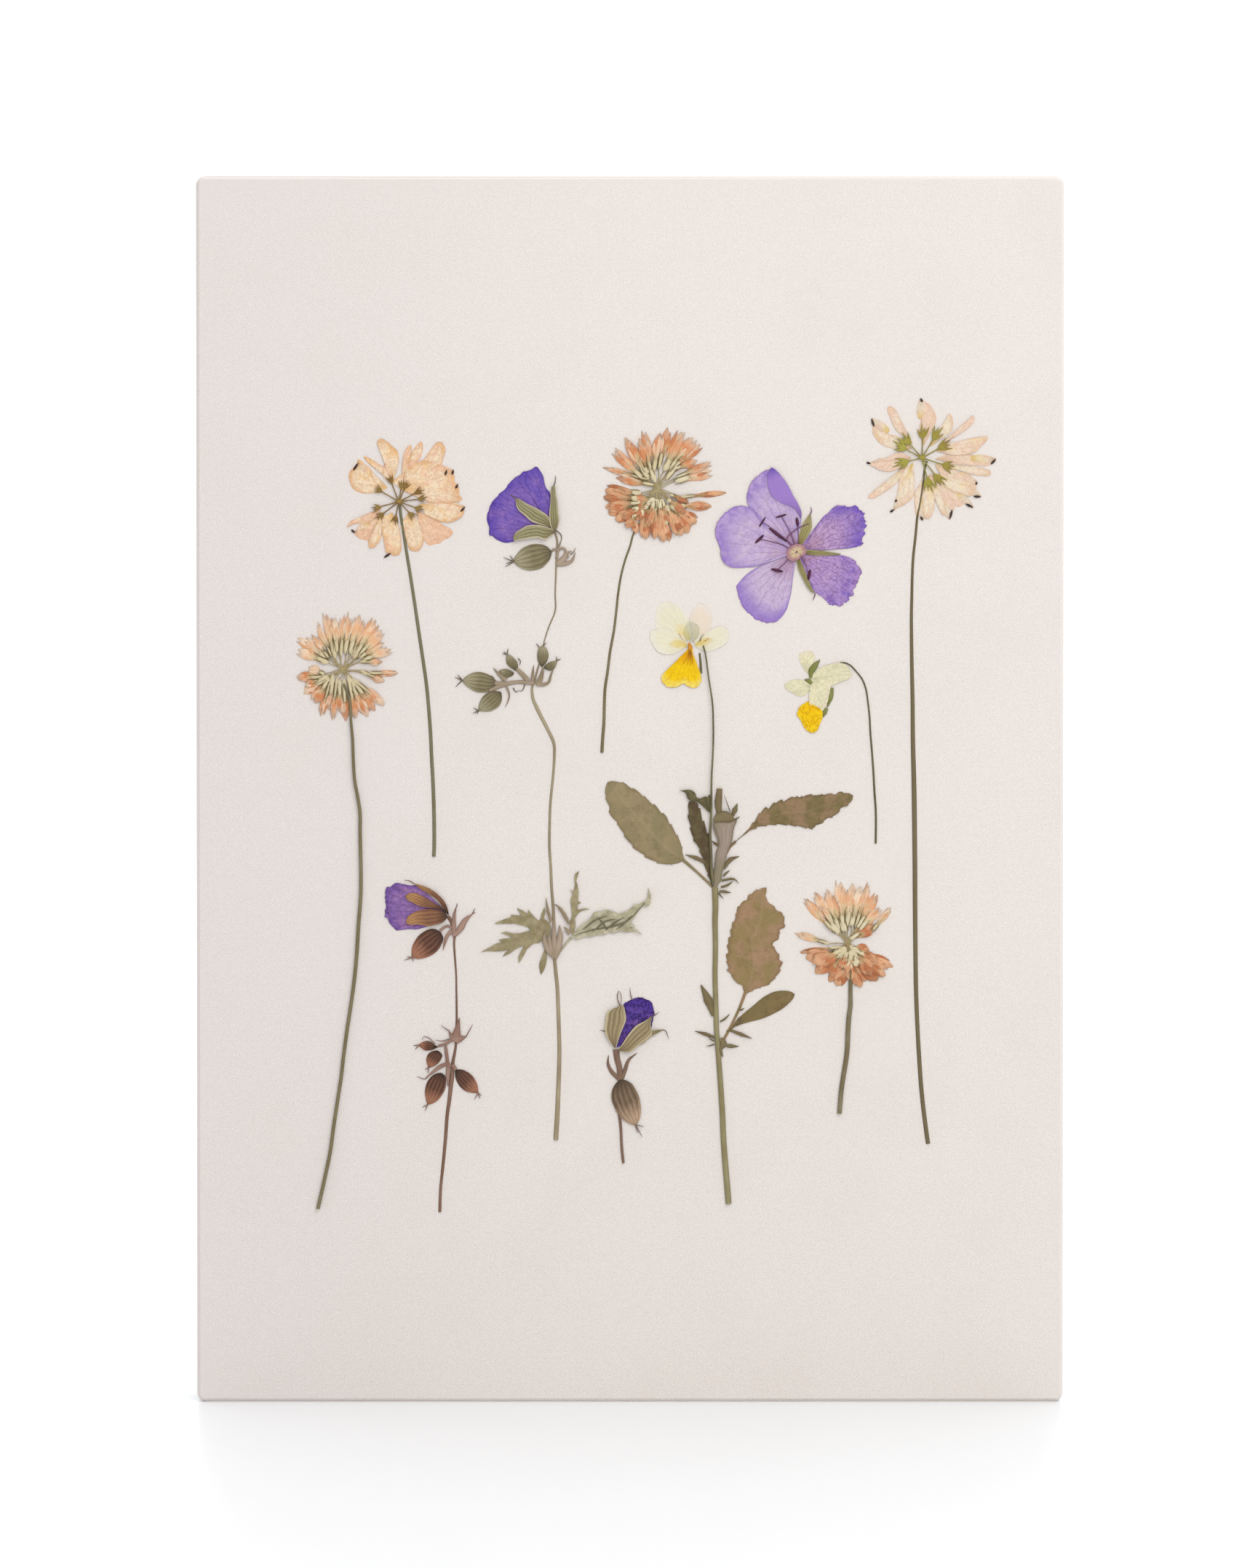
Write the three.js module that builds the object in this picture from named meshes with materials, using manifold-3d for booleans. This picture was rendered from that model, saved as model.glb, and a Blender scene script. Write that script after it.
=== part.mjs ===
// Pressed wild flowers fixed to the front of a small canvas-wrapped stretcher board.
// Millimetres. +Z is up, +X is to the right and the flowers face -Y.
// The origin is in the middle of the bottom edge that the board stands on.
import * as THREE from 'three';
import { mergeVertices } from 'three/addons/utils/BufferGeometryUtils.js';
import Module from 'manifold-3d';

// Driving dimensions of the board
const BOARD_WIDE = 210;
const BOARD_HIGH = 297;
const BOARD_DEEP = 18;
const CANVAS_THICK = 0.6;
const CORNER_RADIUS = 1.6;
const EDGE_ROUNDING = 0.7;
const HEM_WIDE = 22;
const BAR_GAP = 0.3;
const BAR_WIDE = 34;
const BAR_LIP = 6;
const BAR_RELIEF = 3;

// Driving dimensions of the pressed plants: how thick each kind of piece dries, and how the pieces lie in layers
const GLUE_LINE = 0.1;
const PETAL_THICK = 0.25;
const LEAF_THICK = 0.35;
const STEM_THICK = 0.5;
const FLORET_THICK = 0.7;
const POD_THICK = 1.1;
const LAYER = 0.4;
const OVER_STEM = GLUE_LINE + STEM_THICK + 0.12;
const STEM_CLEARANCE = 0.15;
const TIP_WIDTH = 0.12;
const SMALLEST_DETAIL = 0.12;

// Cross-sections of the narrow pieces, as [across, up] from -1 to 1 and from 0 to 1
const STEM_SECTION = [[-1, 0], [1, 0], [0.6, 1], [-0.6, 1]];
const KEELED_SECTION = [[-1, 0], [1, 0], [0, 1]];
const FLAT_SECTION = [[-1, 0], [1, 0], [1, 1], [-1, 1]];
const ROUNDED_SECTION = [[-0.85, 0], [0.85, 0], [1, 0.35], [0, 1], [-1, 0.35]];
const RIBBED_SECTION = [
  [-0.8, 0], [0.8, 0], [1, 0.3], [0.62, 0.85], [0.34, 0.7], [0, 1], [-0.34, 0.7], [-0.62, 0.85], [-1, 0.3],
];

const wasm = await Module();
wasm.setup();

// Joining and cutting

function solidOf(geometry) {
  const bare = geometry.clone();
  bare.deleteAttribute('normal');
  bare.deleteAttribute('uv');
  const merged = mergeVertices(bare, 1e-4);
  return new wasm.Manifold(new wasm.Mesh({
    numProp: 3,
    vertProperties: merged.attributes.position.array,
    triVerts: new Uint32Array(merged.index.array),
  }));
}

function geometryOf(solid) {
  const mesh = solid.simplify(SMALLEST_DETAIL).getMesh();
  const geometry = new THREE.BufferGeometry();
  geometry.setAttribute('position', new THREE.BufferAttribute(mesh.vertProperties, 3));
  geometry.setIndex(new THREE.BufferAttribute(mesh.triVerts, 1));
  geometry.computeVertexNormals();
  return geometry;
}

function fuse(geometries) {
  return geometryOf(geometries.map(solidOf).reduce((whole, next) => whole.add(next)));
}

// Only the largest piece is kept, so that a cut leaves no loose slivers
function cut(geometry, tool) {
  const pieces = solidOf(geometry).subtract(solidOf(tool)).decompose();
  pieces.sort((one, other) => other.volume() - one.volume());
  return geometryOf(pieces[0]);
}

// Shapes drawn on the face of the board: x to the right, y up, z out from the canvas

function roundOff(outline) {
  const corners = outline.map(([x, y]) => new THREE.Vector3(x, y, 0));
  const rim = new THREE.CatmullRomCurve3(corners, true, 'centripetal').getPoints(Math.round(corners.length * 1.2));
  rim.pop();
  return rim.map((point) => [point.x, point.y]);
}

function sheet(outline, low, thick) {
  const shape = new THREE.Shape(outline.map(([x, y]) => new THREE.Vector2(x, y)));
  return new THREE.ExtrudeGeometry(shape, { depth: thick, bevelEnabled: false }).translate(0, 0, low);
}

function petal(outline, layer) {
  return sheet(roundOff(outline), GLUE_LINE + layer * LAYER, PETAL_THICK);
}

function along(values, share) {
  const place = share * (values.length - 1);
  const index = Math.min(Math.floor(place), values.length - 2);
  return values[index] + (values[index + 1] - values[index]) * (place - index);
}

function strip(line, widths, low, thick, section, steps, tapered) {
  const knots = line.map(([x, y]) => new THREE.Vector3(x, y, 0));
  const curve = new THREE.CatmullRomCurve3(knots, false, 'centripetal');
  const widest = Math.max(...widths);
  const positions = [];
  for (let step = 0; step <= steps; step += 1) {
    const share = step / steps;
    const middle = curve.getPoint(share);
    const ahead = curve.getTangent(share);
    const width = along(widths, share);
    const height = tapered ? thick * (0.35 + 0.65 * width / widest) : thick;
    for (const [across, up] of section) {
      const reach = across * width / 2;
      positions.push(middle.x - ahead.y * reach, middle.y + ahead.x * reach, low + up * height);
    }
  }
  const count = section.length;
  const faces = [];
  for (let step = 0; step < steps; step += 1) {
    for (let side = 0; side < count; side += 1) {
      const a = step * count + side;
      const b = step * count + (side + 1) % count;
      faces.push(a, b, b + count, a, b + count, a + count);
    }
  }
  const ends = THREE.ShapeUtils.triangulateShape(section.map(([x, y]) => new THREE.Vector2(x, y)), []);
  const last = steps * count;
  for (const [a, b, c] of ends) {
    faces.push(a, c, b, last + a, last + b, last + c);
  }
  const geometry = new THREE.BufferGeometry();
  geometry.setAttribute('position', new THREE.Float32BufferAttribute(positions, 3));
  geometry.setIndex(faces);
  geometry.computeVertexNormals();
  return geometry;
}

function stem(line, widths, steps = Math.round(line.length * 1.2)) {
  return strip(line, widths, GLUE_LINE, STEM_THICK, STEM_SECTION, steps, false);
}

function roomFor(line, widths, steps = Math.round(line.length * 1.2)) {
  const wider = widths.map((width) => width + 2 * STEM_CLEARANCE);
  return strip(line, wider, -1, 4, [[-1, 0], [1, 0], [1, 1], [-1, 1]], steps, false);
}

// A floret is a narrow blade pressed flat: a thin stalk, a wide middle and a tip
function floret([footX, footY, tipX, tipY, width]) {
  const line = [[footX, footY], [tipX, tipY]];
  const widths = [0.45 * width, width, 0.8 * width, TIP_WIDTH];
  return strip(line, widths, GLUE_LINE, FLORET_THICK, FLAT_SECTION, 3, false);
}

function stalk(line, width, low = GLUE_LINE, thick = 0.4) {
  return strip(line, [width, width], low, thick, STEM_SECTION, line.length - 1, false);
}

function awn(line, width, low = GLUE_LINE, thick = 0.3) {
  return strip(line, [width, TIP_WIDTH], low, thick, KEELED_SECTION, line.length, false);
}

function blade(line, width, low = GLUE_LINE, thick = 0.4) {
  const widths = [0.4 * width, width, 0.85 * width, TIP_WIDTH];
  return strip(line, widths, low, thick, KEELED_SECTION, 4, true);
}

// A pod is a fat ribbed spindle from its stalk to its whiskered tip
function pod(line, width, low = GLUE_LINE) {
  const widths = [0.25, 0.75, 0.98, 1, 0.86, 0.55, 0.12].map((share) => share * width);
  return strip(line, widths, low, POD_THICK, RIBBED_SECTION, 6, true);
}

function bud(line, width) {
  const widths = [0.3, 0.85, 1, 0.7, 0.12].map((share) => share * width);
  return strip(line, widths, GLUE_LINE, POD_THICK, ROUNDED_SECTION, 4, true);
}

function disc(x, y, radius, low, thick, sides = 10) {
  const outline = [];
  for (let side = 0; side < sides; side += 1) {
    const angle = (side / sides) * 2 * Math.PI;
    outline.push([x + radius * Math.cos(angle), y + radius * Math.sin(angle)]);
  }
  return sheet(outline, low, thick);
}

// Materials

function finish(color, roughness = 0.8) {
  return new THREE.MeshStandardMaterial({ color, roughness, metalness: 0 });
}

const CANVAS = finish(0xede6df, 0.95);
const PINE = finish(0xd9bd8c, 0.7);
const GREEN_STEM = finish(0x8d8663);
const BROWN_STEM = finish(0x7a5f52);
const OLIVE = finish(0x8a8258);
const POD_BROWN = finish(0x6e4f3a);
const LEAF_OLIVE = finish(0x877c50);
const LEAF_BROWN = finish(0x8a6c49);
const PEACH = finish(0xefc99f);
const PALE_PEACH = finish(0xf2d6bd);
const TERRACOTTA = finish(0xdc8f60);
const VIOLET = finish(0x6b4bb0);
const LAVENDER = finish(0xb39ad0);
const CREAM = finish(0xe9e4c8);
const YELLOW = finish(0xf2c80f);

const board = new THREE.Group();
// The face group turns the drawing plane upright, onto the front of the board
const face = new THREE.Group();
face.rotation.x = Math.PI / 2;
face.position.y = -BOARD_DEEP / 2;

function add(group, name, geometry, material) {
  const mesh = new THREE.Mesh(geometry, material);
  mesh.name = name;
  group.add(mesh);
}

// The canvas is one sheet folded round the bars: front, four sides and a hem on the back

function roundedBox(inset, near, far, rounding) {
  const half = BOARD_WIDE / 2 - inset - rounding;
  const low = inset + rounding;
  const high = BOARD_HIGH - inset - rounding;
  const radius = Math.max(CORNER_RADIUS - inset, 0.4);
  const shape = new THREE.Shape();
  shape.moveTo(-half + radius, low);
  shape.lineTo(half - radius, low);
  shape.absarc(half - radius, low + radius, radius, -Math.PI / 2, 0);
  shape.lineTo(half, high - radius);
  shape.absarc(half - radius, high - radius, radius, 0, Math.PI / 2);
  shape.lineTo(-half + radius, high);
  shape.absarc(-half + radius, high - radius, radius, Math.PI / 2, Math.PI);
  shape.lineTo(-half, low + radius);
  shape.absarc(-half + radius, low + radius, radius, Math.PI, 1.5 * Math.PI);
  const options = {
    depth: far - near - 2 * rounding,
    curveSegments: 2,
    bevelEnabled: rounding > 0,
    bevelThickness: rounding,
    bevelSize: rounding,
    bevelSegments: 1,
  };
  return new THREE.ExtrudeGeometry(shape, options).translate(0, 0, near + rounding);
}

function canvasWrap() {
  const outside = roundedBox(0, -BOARD_DEEP, 0, EDGE_ROUNDING);
  const inside = roundedBox(CANVAS_THICK, -BOARD_DEEP + CANVAS_THICK, -CANVAS_THICK, 0);
  const opening = roundedBox(HEM_WIDE, -BOARD_DEEP - 1, -BOARD_DEEP + 1, 0);
  return cut(cut(outside, opening), inside);
}

// A stretcher bar has mitred ends and a raised outer lip, so that the canvas touches it only at the rim
function stretcherBar(length, isUpright) {
  const nearFace = -CANVAS_THICK - BAR_GAP;
  const farFace = -BOARD_DEEP + CANVAS_THICK + BAR_GAP;
  const profile = [
    [0, farFace], [BAR_WIDE, farFace], [BAR_WIDE, nearFace - BAR_RELIEF], [BAR_LIP, nearFace], [0, nearFace],
  ];
  const positions = [];
  for (const side of [-1, 1]) {
    for (const [inward, out] of profile) {
      const run = side * (length / 2 - inward - BAR_GAP / 2);
      if (isUpright) {
        positions.push(inward, run, out);
      } else {
        positions.push(run, -inward, out);
      }
    }
  }
  const faces = [0, 2, 1, 0, 3, 2, 0, 4, 3, 5, 6, 7, 5, 7, 8, 5, 8, 9];
  const count = profile.length;
  for (let side = 0; side < count; side += 1) {
    const next = (side + 1) % count;
    faces.push(side, next, next + count, side, next + count, side + count);
  }
  const geometry = new THREE.BufferGeometry();
  geometry.setAttribute('position', new THREE.Float32BufferAttribute(positions, 3));
  geometry.setIndex(faces.reverse());
  geometry.computeVertexNormals();
  return geometry;
}

function addBoard() {
  add(face, 'canvas_wrap', canvasWrap(), CANVAS);
  const inner = CANVAS_THICK + BAR_GAP;
  const wide = BOARD_WIDE - 2 * inner;
  const high = BOARD_HIGH - 2 * inner;
  const bars = [
    ['stretcher_bar_top', wide, false, 0, BOARD_HIGH - inner, 0],
    ['stretcher_bar_bottom', wide, false, 0, inner, Math.PI],
    ['stretcher_bar_left', high, true, -wide / 2, BOARD_HIGH / 2, 0],
    ['stretcher_bar_right', high, true, wide / 2, BOARD_HIGH / 2, Math.PI],
  ];
  for (const [name, length, isUpright, x, y, turn] of bars) {
    const bar = stretcherBar(length, isUpright).rotateZ(turn).translate(x, y, 0);
    add(face, name, bar, PINE);
  }
}

// Vetch heads: an umbel of pedicels with cupped florets of thin peach petals round it

const VETCH_LEFT_HUB = [-55.8, 218.2];
const VETCH_LEFT_STEM = [
  [-55.3, 211.9], [-54.7, 209.2], [-53.2, 200.8], [-51.4, 188.8], [-49.9, 179], [-48.7, 168.1], [-48, 156],
  [-47.5, 145], [-47.4, 138], [-47.5, 132.4],
];
const VETCH_LEFT_STEM_WIDTHS = [0.7, 0.85, 0.85, 0.85, 0.8];
const VETCH_LEFT_PETALS = [
  [[-65.7, 228.6], [-63.7, 226.7], [-62.2, 223.5], [-62.9, 221.5], [-60.6, 220.5], [-62.9, 220], [-66, 220.6],
    [-67.6, 222.6], [-67.9, 225.2], [-66.4, 227]],
  [[-64.5, 229.2], [-60.7, 227.3], [-58.5, 224.6], [-58.6, 223.3], [-60, 225], [-62.8, 227.1]],
  [[-61.2, 232.8], [-60.2, 233.4], [-57.6, 231.7], [-56, 229.3], [-56.5, 225.4], [-57.4, 223], [-59.6, 224.1],
    [-59.3, 227.6], [-60.3, 230.5]],
  [[-52.9, 231.8], [-54.6, 230], [-55.2, 226], [-54.8, 223.2], [-53, 226], [-53, 229.4]],
  [[-50.5, 232.8], [-50.4, 229.7], [-51, 226.5], [-54, 224.5], [-53.6, 227.5], [-51.9, 231.3]],
  [[-46.1, 232.8], [-44.7, 230.9], [-45.4, 226.7], [-47, 222.5], [-50.6, 224], [-49.8, 228.2], [-47.6, 231.8]],
  [[-57.5, 223.2], [-54.5, 225.6], [-50, 228.3], [-45.5, 227], [-43, 226.2], [-42.4, 222.9], [-41.3, 221],
    [-40.6, 218.8], [-43.5, 217.9], [-50.6, 218.4], [-51.6, 221.2], [-57, 221.8]],
  [[-51.8, 217.6], [-46, 218.2], [-42.2, 217.4], [-40, 216], [-41.2, 214.1], [-43.5, 213.2], [-49.3, 214.9]],
  [[-51.8, 216.6], [-46.9, 214.6], [-42.8, 210.6], [-45, 209.1], [-48.2, 207.6], [-50, 209.5], [-51.2, 213.5]],
  [[-55.6, 215.4], [-53.2, 215], [-50.8, 212], [-50.2, 208.6], [-51, 206.4], [-53.5, 206.7], [-54.8, 211]],
  [[-60.4, 214.6], [-57.4, 214.6], [-55.6, 211.9], [-55.5, 206], [-57.5, 205.3], [-59.3, 206.9], [-60.2, 210.8]],
  [[-60.8, 215.6], [-59.8, 210.5], [-61.2, 207.8], [-63.1, 207.1], [-62.6, 209.6]],
  [[-66.6, 210.7], [-64.6, 212.4], [-62.4, 214.3], [-60.4, 215.4], [-60.4, 211], [-62.2, 209], [-65, 209.2]],
  [[-68.5, 212], [-67.6, 213.4], [-64.5, 214.9], [-61, 217], [-61, 215], [-62.8, 213.6], [-66, 212.9]],
];
const VETCH_LEFT_CALYXES = [
  [-60.2, 220.6], [-57.5, 222.9], [-55.3, 221.9], [-51.8, 219.8], [-50.6, 218.6], [-51.6, 216.6], [-60.2, 216.8],
  [-59.4, 215.4], [-56, 214.6],
];

const VETCH_RIGHT_HUB = [71.8, 228.2];
const VETCH_RIGHT_STEM = [
  [69.4, 214.2], [68.6, 207], [68.2, 197], [68.2, 180], [68.4, 165], [68.6, 150], [69, 130], [69.1, 115],
  [69.3, 102], [70, 87], [71.2, 72], [72.2, 62.6],
];
const VETCH_RIGHT_STEM_WIDTHS = [0.6, 0.8, 1.1, 1.2, 1.1, 0.95, 0.95];
const VETCH_RIGHT_PETALS = [
  [[70.4, 242.8], [72.2, 242], [74.1, 238.5], [72.4, 234.5], [71, 232], [69.9, 234.5], [70.5, 239.3]],
  [[77.3, 239.7], [78.1, 237.6], [77.3, 234.8], [74.3, 232.4], [72.9, 232], [74.6, 235.8], [76.3, 237.9]],
  [[83.1, 239.3], [83.2, 237.7], [79.7, 234.5], [75, 231.6], [78.4, 234.2], [81, 236.9]],
  [[86.8, 233.9], [84.5, 231.2], [80.8, 229.6], [76.5, 229.8], [73.8, 230.2], [75.9, 232.3], [81.6, 233.3]],
  [[87.5, 227.9], [82.9, 229.6], [78, 229.7], [74.6, 229], [77.6, 227.3], [84.3, 226.8]],
  [[87.4, 225.2], [86.2, 226.1], [82.9, 226.7], [77.4, 227.4], [80.2, 225.4], [86.7, 224.4]],
  [[84, 222.6], [80.2, 224.8], [77, 227.4], [74.6, 227], [75.7, 224], [78.4, 222.2]],
  [[84, 222], [82.4, 219.6], [79, 220.2], [74.6, 222.4], [75.6, 224.6], [79.2, 222.9]],
  [[81.2, 217.6], [79.4, 217], [76.5, 219.2], [73.4, 222.4], [75, 223.8], [79.6, 220.4]],
  [[78.3, 215.9], [78.6, 217.8], [76, 221], [73.6, 223.6], [73, 221.6], [75.4, 218.4], [77, 216.8]],
  [[75.9, 214.9], [76.4, 217], [75, 220.5], [73.2, 223.8], [71.4, 222.6], [73.2, 219.4]],
  [[71.9, 214.1], [73.4, 216.5], [73.2, 220.5], [72.2, 223.8], [70.8, 222], [70.9, 217]],
  [[69.4, 214.7], [70.4, 215.4], [71, 219], [71.4, 223.2], [70.2, 222.6], [68.8, 219.5]],
  [[63.8, 216.2], [66.8, 217.8], [68.6, 219.6], [68.8, 223.7], [67.8, 227.4], [66.2, 226.6], [64.8, 221]],
  [[57.6, 219.2], [58.4, 220.4], [63.6, 224.3], [66.4, 227.4], [66.6, 225.4], [64.1, 222.4], [60, 219.5]],
  [[57.9, 227.4], [60.5, 227.9], [65.2, 230.2], [67, 229.6], [66.6, 227.6], [62.7, 225.6], [59.5, 226.3]],
  [[59, 236.6], [61.9, 234.7], [66.2, 233.4], [67.6, 231.8], [65.4, 231.1], [61.4, 231.7], [58.8, 234.6]],
  [[62.2, 240.6], [63.4, 241.2], [65.2, 238.2], [67.8, 233.4], [67.2, 232.4], [64.4, 235.5], [63, 238]],
];
const VETCH_RIGHT_CALYXES = [
  [67.6, 232.1], [67.5, 230.6], [67.4, 228.2], [67.8, 226.6], [70.6, 233], [73, 232.6], [74.4, 230.6], [75.2, 227.2], [74, 224.8],
  [71.4, 224],
];

function vetchHead(hub, petals, calyxes) {
  const pieces = petals.map((outline) => sheet(outline, GLUE_LINE, 0.4));
  for (const [x, y] of calyxes) {
    pieces.push(strip([hub, [x, y]], [0.35, 0.35], GLUE_LINE, 0.45, FLAT_SECTION, 1, false));
    pieces.push(disc(x, y, 0.75, GLUE_LINE, 0.75, 6));
  }
  pieces.push(disc(hub[0], hub[1], 0.7, GLUE_LINE, 0.8, 6));
  return fuse(pieces);
}

function addVetches() {
  const leftHead = vetchHead(VETCH_LEFT_HUB, VETCH_LEFT_PETALS, VETCH_LEFT_CALYXES);
  const rightHead = vetchHead(VETCH_RIGHT_HUB, VETCH_RIGHT_PETALS, VETCH_RIGHT_CALYXES);
  add(face, 'vetch_left_head', cut(leftHead, roomFor(VETCH_LEFT_STEM, VETCH_LEFT_STEM_WIDTHS)), PEACH);
  add(face, 'vetch_left_stem', stem(VETCH_LEFT_STEM, VETCH_LEFT_STEM_WIDTHS), GREEN_STEM);
  add(face, 'vetch_right_head', cut(rightHead, roomFor(VETCH_RIGHT_STEM, VETCH_RIGHT_STEM_WIDTHS)), PALE_PEACH);
  add(face, 'vetch_right_stem', stem(VETCH_RIGHT_STEM, VETCH_RIGHT_STEM_WIDTHS), GREEN_STEM);
}

// Clover heads: each floret is [foot x, foot y, tip x, tip y, width], all grown from one small centre

const CLOVER_TOP_CENTRE = [6.4, 221.2];
const CLOVER_TOP_STEM = [
  [0.9, 210.7], [0, 207.4], [-2.2, 200.1], [-3.3, 191.8], [-4.8, 182], [-6, 173.2], [-6.3, 165], [-6.8, 157.6],
];
const CLOVER_TOP_STEM_WIDTHS = [0.5, 0.6, 0.7, 0.75];
const CLOVER_TOP_FLORETS = [
  [3.4, 223.6, -6.4, 226.4, 1.8], [2.6, 224.3, -3.6, 230.2, 2.6], [3.6, 224.8, -1.2, 233.5, 2.8],
  [4.2, 225.4, 1.6, 231.5, 2.6], [5, 226, 3.8, 234.9, 2.4], [6, 226.8, 7.4, 234.7, 3], [7.2, 227, 9, 235.4, 2.6],
  [8.6, 226.4, 12.6, 235, 3.4], [10.2, 226.8, 15.2, 233.6, 3], [10.8, 226.6, 16.9, 231.6, 2.8],
  [11.2, 226, 16.3, 228.2, 2.4], [11.6, 224.2, 19.5, 227.6, 2], [11.6, 223.4, 19.7, 225.6, 3.2],
  [13.4, 219.5, 23, 220.3, 1.7], [12.6, 217.4, 19.5, 217.2, 2.3], [9.6, 219.4, 14.6, 217.6, 1.8],
  [11.2, 216.6, 16, 213.2, 2.6], [10.2, 216.6, 13.8, 210.8, 3.4], [8.8, 216.6, 12.4, 210.2, 3],
  [8.6, 213.6, 9.4, 208.8, 1.8], [7.2, 217.4, 8, 208.6, 3.2], [5.8, 216.6, 5.9, 209.3, 2.4],
  [3.4, 216.2, 3.8, 209.4, 2.8], [2, 215.8, 1.4, 210.6, 2], [1.4, 216.4, -0.8, 211.9, 2.2],
  [1.8, 217, -3.4, 213.8, 2.8], [1.8, 218, -5.2, 215.6, 2.6], [1.8, 218.6, -6, 217.4, 2.8],
  [1.8, 219.6, -6.3, 219.6, 2.8], [2.6, 220.8, -5.8, 221, 2.6],
];

const CLOVER_LEFT_CENTRE = [-69.3, 177.8];
const CLOVER_LEFT_STEM = [
  [-67.6, 166.6], [-67.5, 163.5], [-66.9, 155], [-65.8, 146.3], [-65.3, 138.6], [-65.1, 127.6],
  [-65.6, 117], [-66.7, 102.7], [-68.5, 90.2], [-70.4, 76], [-72.6, 60.8], [-75.6, 47.1],
];
const CLOVER_LEFT_STEM_WIDTHS = [0.8, 0.9, 0.85, 0.9, 0.9];
const CLOVER_LEFT_FLORETS = [
  [-73.6, 180.6, -80.2, 185, 2.8], [-73.8, 179.8, -80.1, 182.4, 2.6], [-73.2, 181, -77, 185.9, 2],
  [-72.5, 181.6, -75.8, 188.2, 2], [-71.6, 181.8, -73.5, 190.8, 2.6], [-70.9, 182.2, -71.4, 190, 2.4],
  [-69.9, 182.4, -69.2, 190.8, 2.4], [-68.7, 182.4, -67.7, 189.8, 2.6], [-67.6, 182, -65.5, 190.6, 2.6],
  [-66.9, 181.8, -63.5, 188.4, 2.6], [-66.2, 181.5, -61.5, 189.4, 2.8], [-65.5, 181, -60.2, 186.9, 3],
  [-65, 180.4, -59.9, 184, 2.8], [-64.4, 180, -57.8, 182.4, 2.2], [-64.7, 179.3, -59.9, 179.6, 1.8],
  [-63.4, 176.9, -56.2, 176.7, 1.8], [-64, 176.6, -59.4, 174.8, 2], [-65.2, 174.2, -59.6, 169.2, 2.4],
  [-66, 173.9, -61.7, 167.7, 2.4], [-66.8, 173.6, -63.5, 166.4, 2.6], [-67.8, 173.3, -66.4, 166, 2],
  [-69.2, 173, -68.9, 165.2, 2.6], [-70.3, 173.2, -70.1, 167.3, 2.2], [-71.1, 173.4, -72, 165.7, 1.8],
  [-72, 173.8, -72.9, 167.8, 2.4], [-72.8, 173.9, -74.9, 166.6, 1.9], [-73.5, 174.4, -76.2, 169.7, 2.8],
  [-74.2, 175, -79, 171.8, 2.6], [-74.3, 175.6, -80.4, 175.7, 2.4], [-74.4, 176.8, -77.8, 178, 2.6],
];

const CLOVER_RIGHT_CENTRE = [52.9, 111.5];
const CLOVER_RIGHT_STEM = [[53.5, 102.4], [53.4, 96.3], [52.8, 89.8], [52.1, 81.5], [51.1, 74.6], [50.7, 70.1]];
const CLOVER_RIGHT_STEM_WIDTHS = [1.1, 1.1, 1, 1.1, 1.1];
const CLOVER_RIGHT_FLORETS = [
  [48.8, 115.2, 42.4, 121.6, 2.8], [49.6, 115.7, 44.7, 123.6, 2.8], [50.4, 115.7, 47.7, 124.3, 2.8],
  [51.4, 116, 50.9, 126.2, 3], [52.8, 116, 53.6, 125.7, 3.2], [53.8, 116, 55.8, 125.1, 3],
  [54.7, 115.7, 57.9, 125.2, 2.8], [55.4, 115.6, 60, 122.8, 2.8], [56.1, 115.2, 60.2, 119.6, 2.8],
  [54.4, 112.9, 58.8, 116, 4], [56.4, 113.6, 63.1, 119.8, 2.2], [49.2, 111.9, 40, 113.6, 2.2],
  [48.8, 110.6, 41.3, 109.1, 2], [49.4, 109.2, 42.8, 107.8, 3.2], [50, 108.4, 45.1, 104.2, 3.4],
  [51.4, 107.4, 48.4, 102.1, 3], [52.3, 106.8, 50.1, 101.2, 3.2], [53.8, 106.8, 56, 100.9, 2.8],
  [54.8, 107, 57.2, 102.2, 2.6], [55.6, 107.4, 60, 102.4, 3], [56, 108, 61.7, 103.5, 3],
  [56, 109, 63.5, 105.6, 3], [54.4, 110, 58.4, 109.4, 2.8],
];

function cloverHead([centreX, centreY], florets) {
  const pieces = [disc(centreX, centreY, 1.8, GLUE_LINE, FLORET_THICK, 8)];
  for (const blossom of florets) {
    const stalkLine = [[centreX, centreY], [blossom[0], blossom[1]]];
    pieces.push(strip(stalkLine, [0.9, 0.9], GLUE_LINE, FLORET_THICK, FLAT_SECTION, 1, false));
    pieces.push(floret(blossom));
  }
  return fuse(pieces);
}

function addClovers() {
  const clovers = [
    ['clover_top', CLOVER_TOP_CENTRE, CLOVER_TOP_FLORETS, CLOVER_TOP_STEM, CLOVER_TOP_STEM_WIDTHS],
    ['clover_left', CLOVER_LEFT_CENTRE, CLOVER_LEFT_FLORETS, CLOVER_LEFT_STEM, CLOVER_LEFT_STEM_WIDTHS],
    ['clover_right', CLOVER_RIGHT_CENTRE, CLOVER_RIGHT_FLORETS, CLOVER_RIGHT_STEM, CLOVER_RIGHT_STEM_WIDTHS],
  ];
  for (const [name, centre, florets, line, widths] of clovers) {
    add(face, `${name}_head`, cut(cloverHead(centre, florets), roomFor(line, widths)), TERRACOTTA);
    add(face, `${name}_stem`, stem(line, widths), GREEN_STEM);
  }
}

// The open cranesbill flower: five broad petals, three sepals between them and the stamens on top

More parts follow.
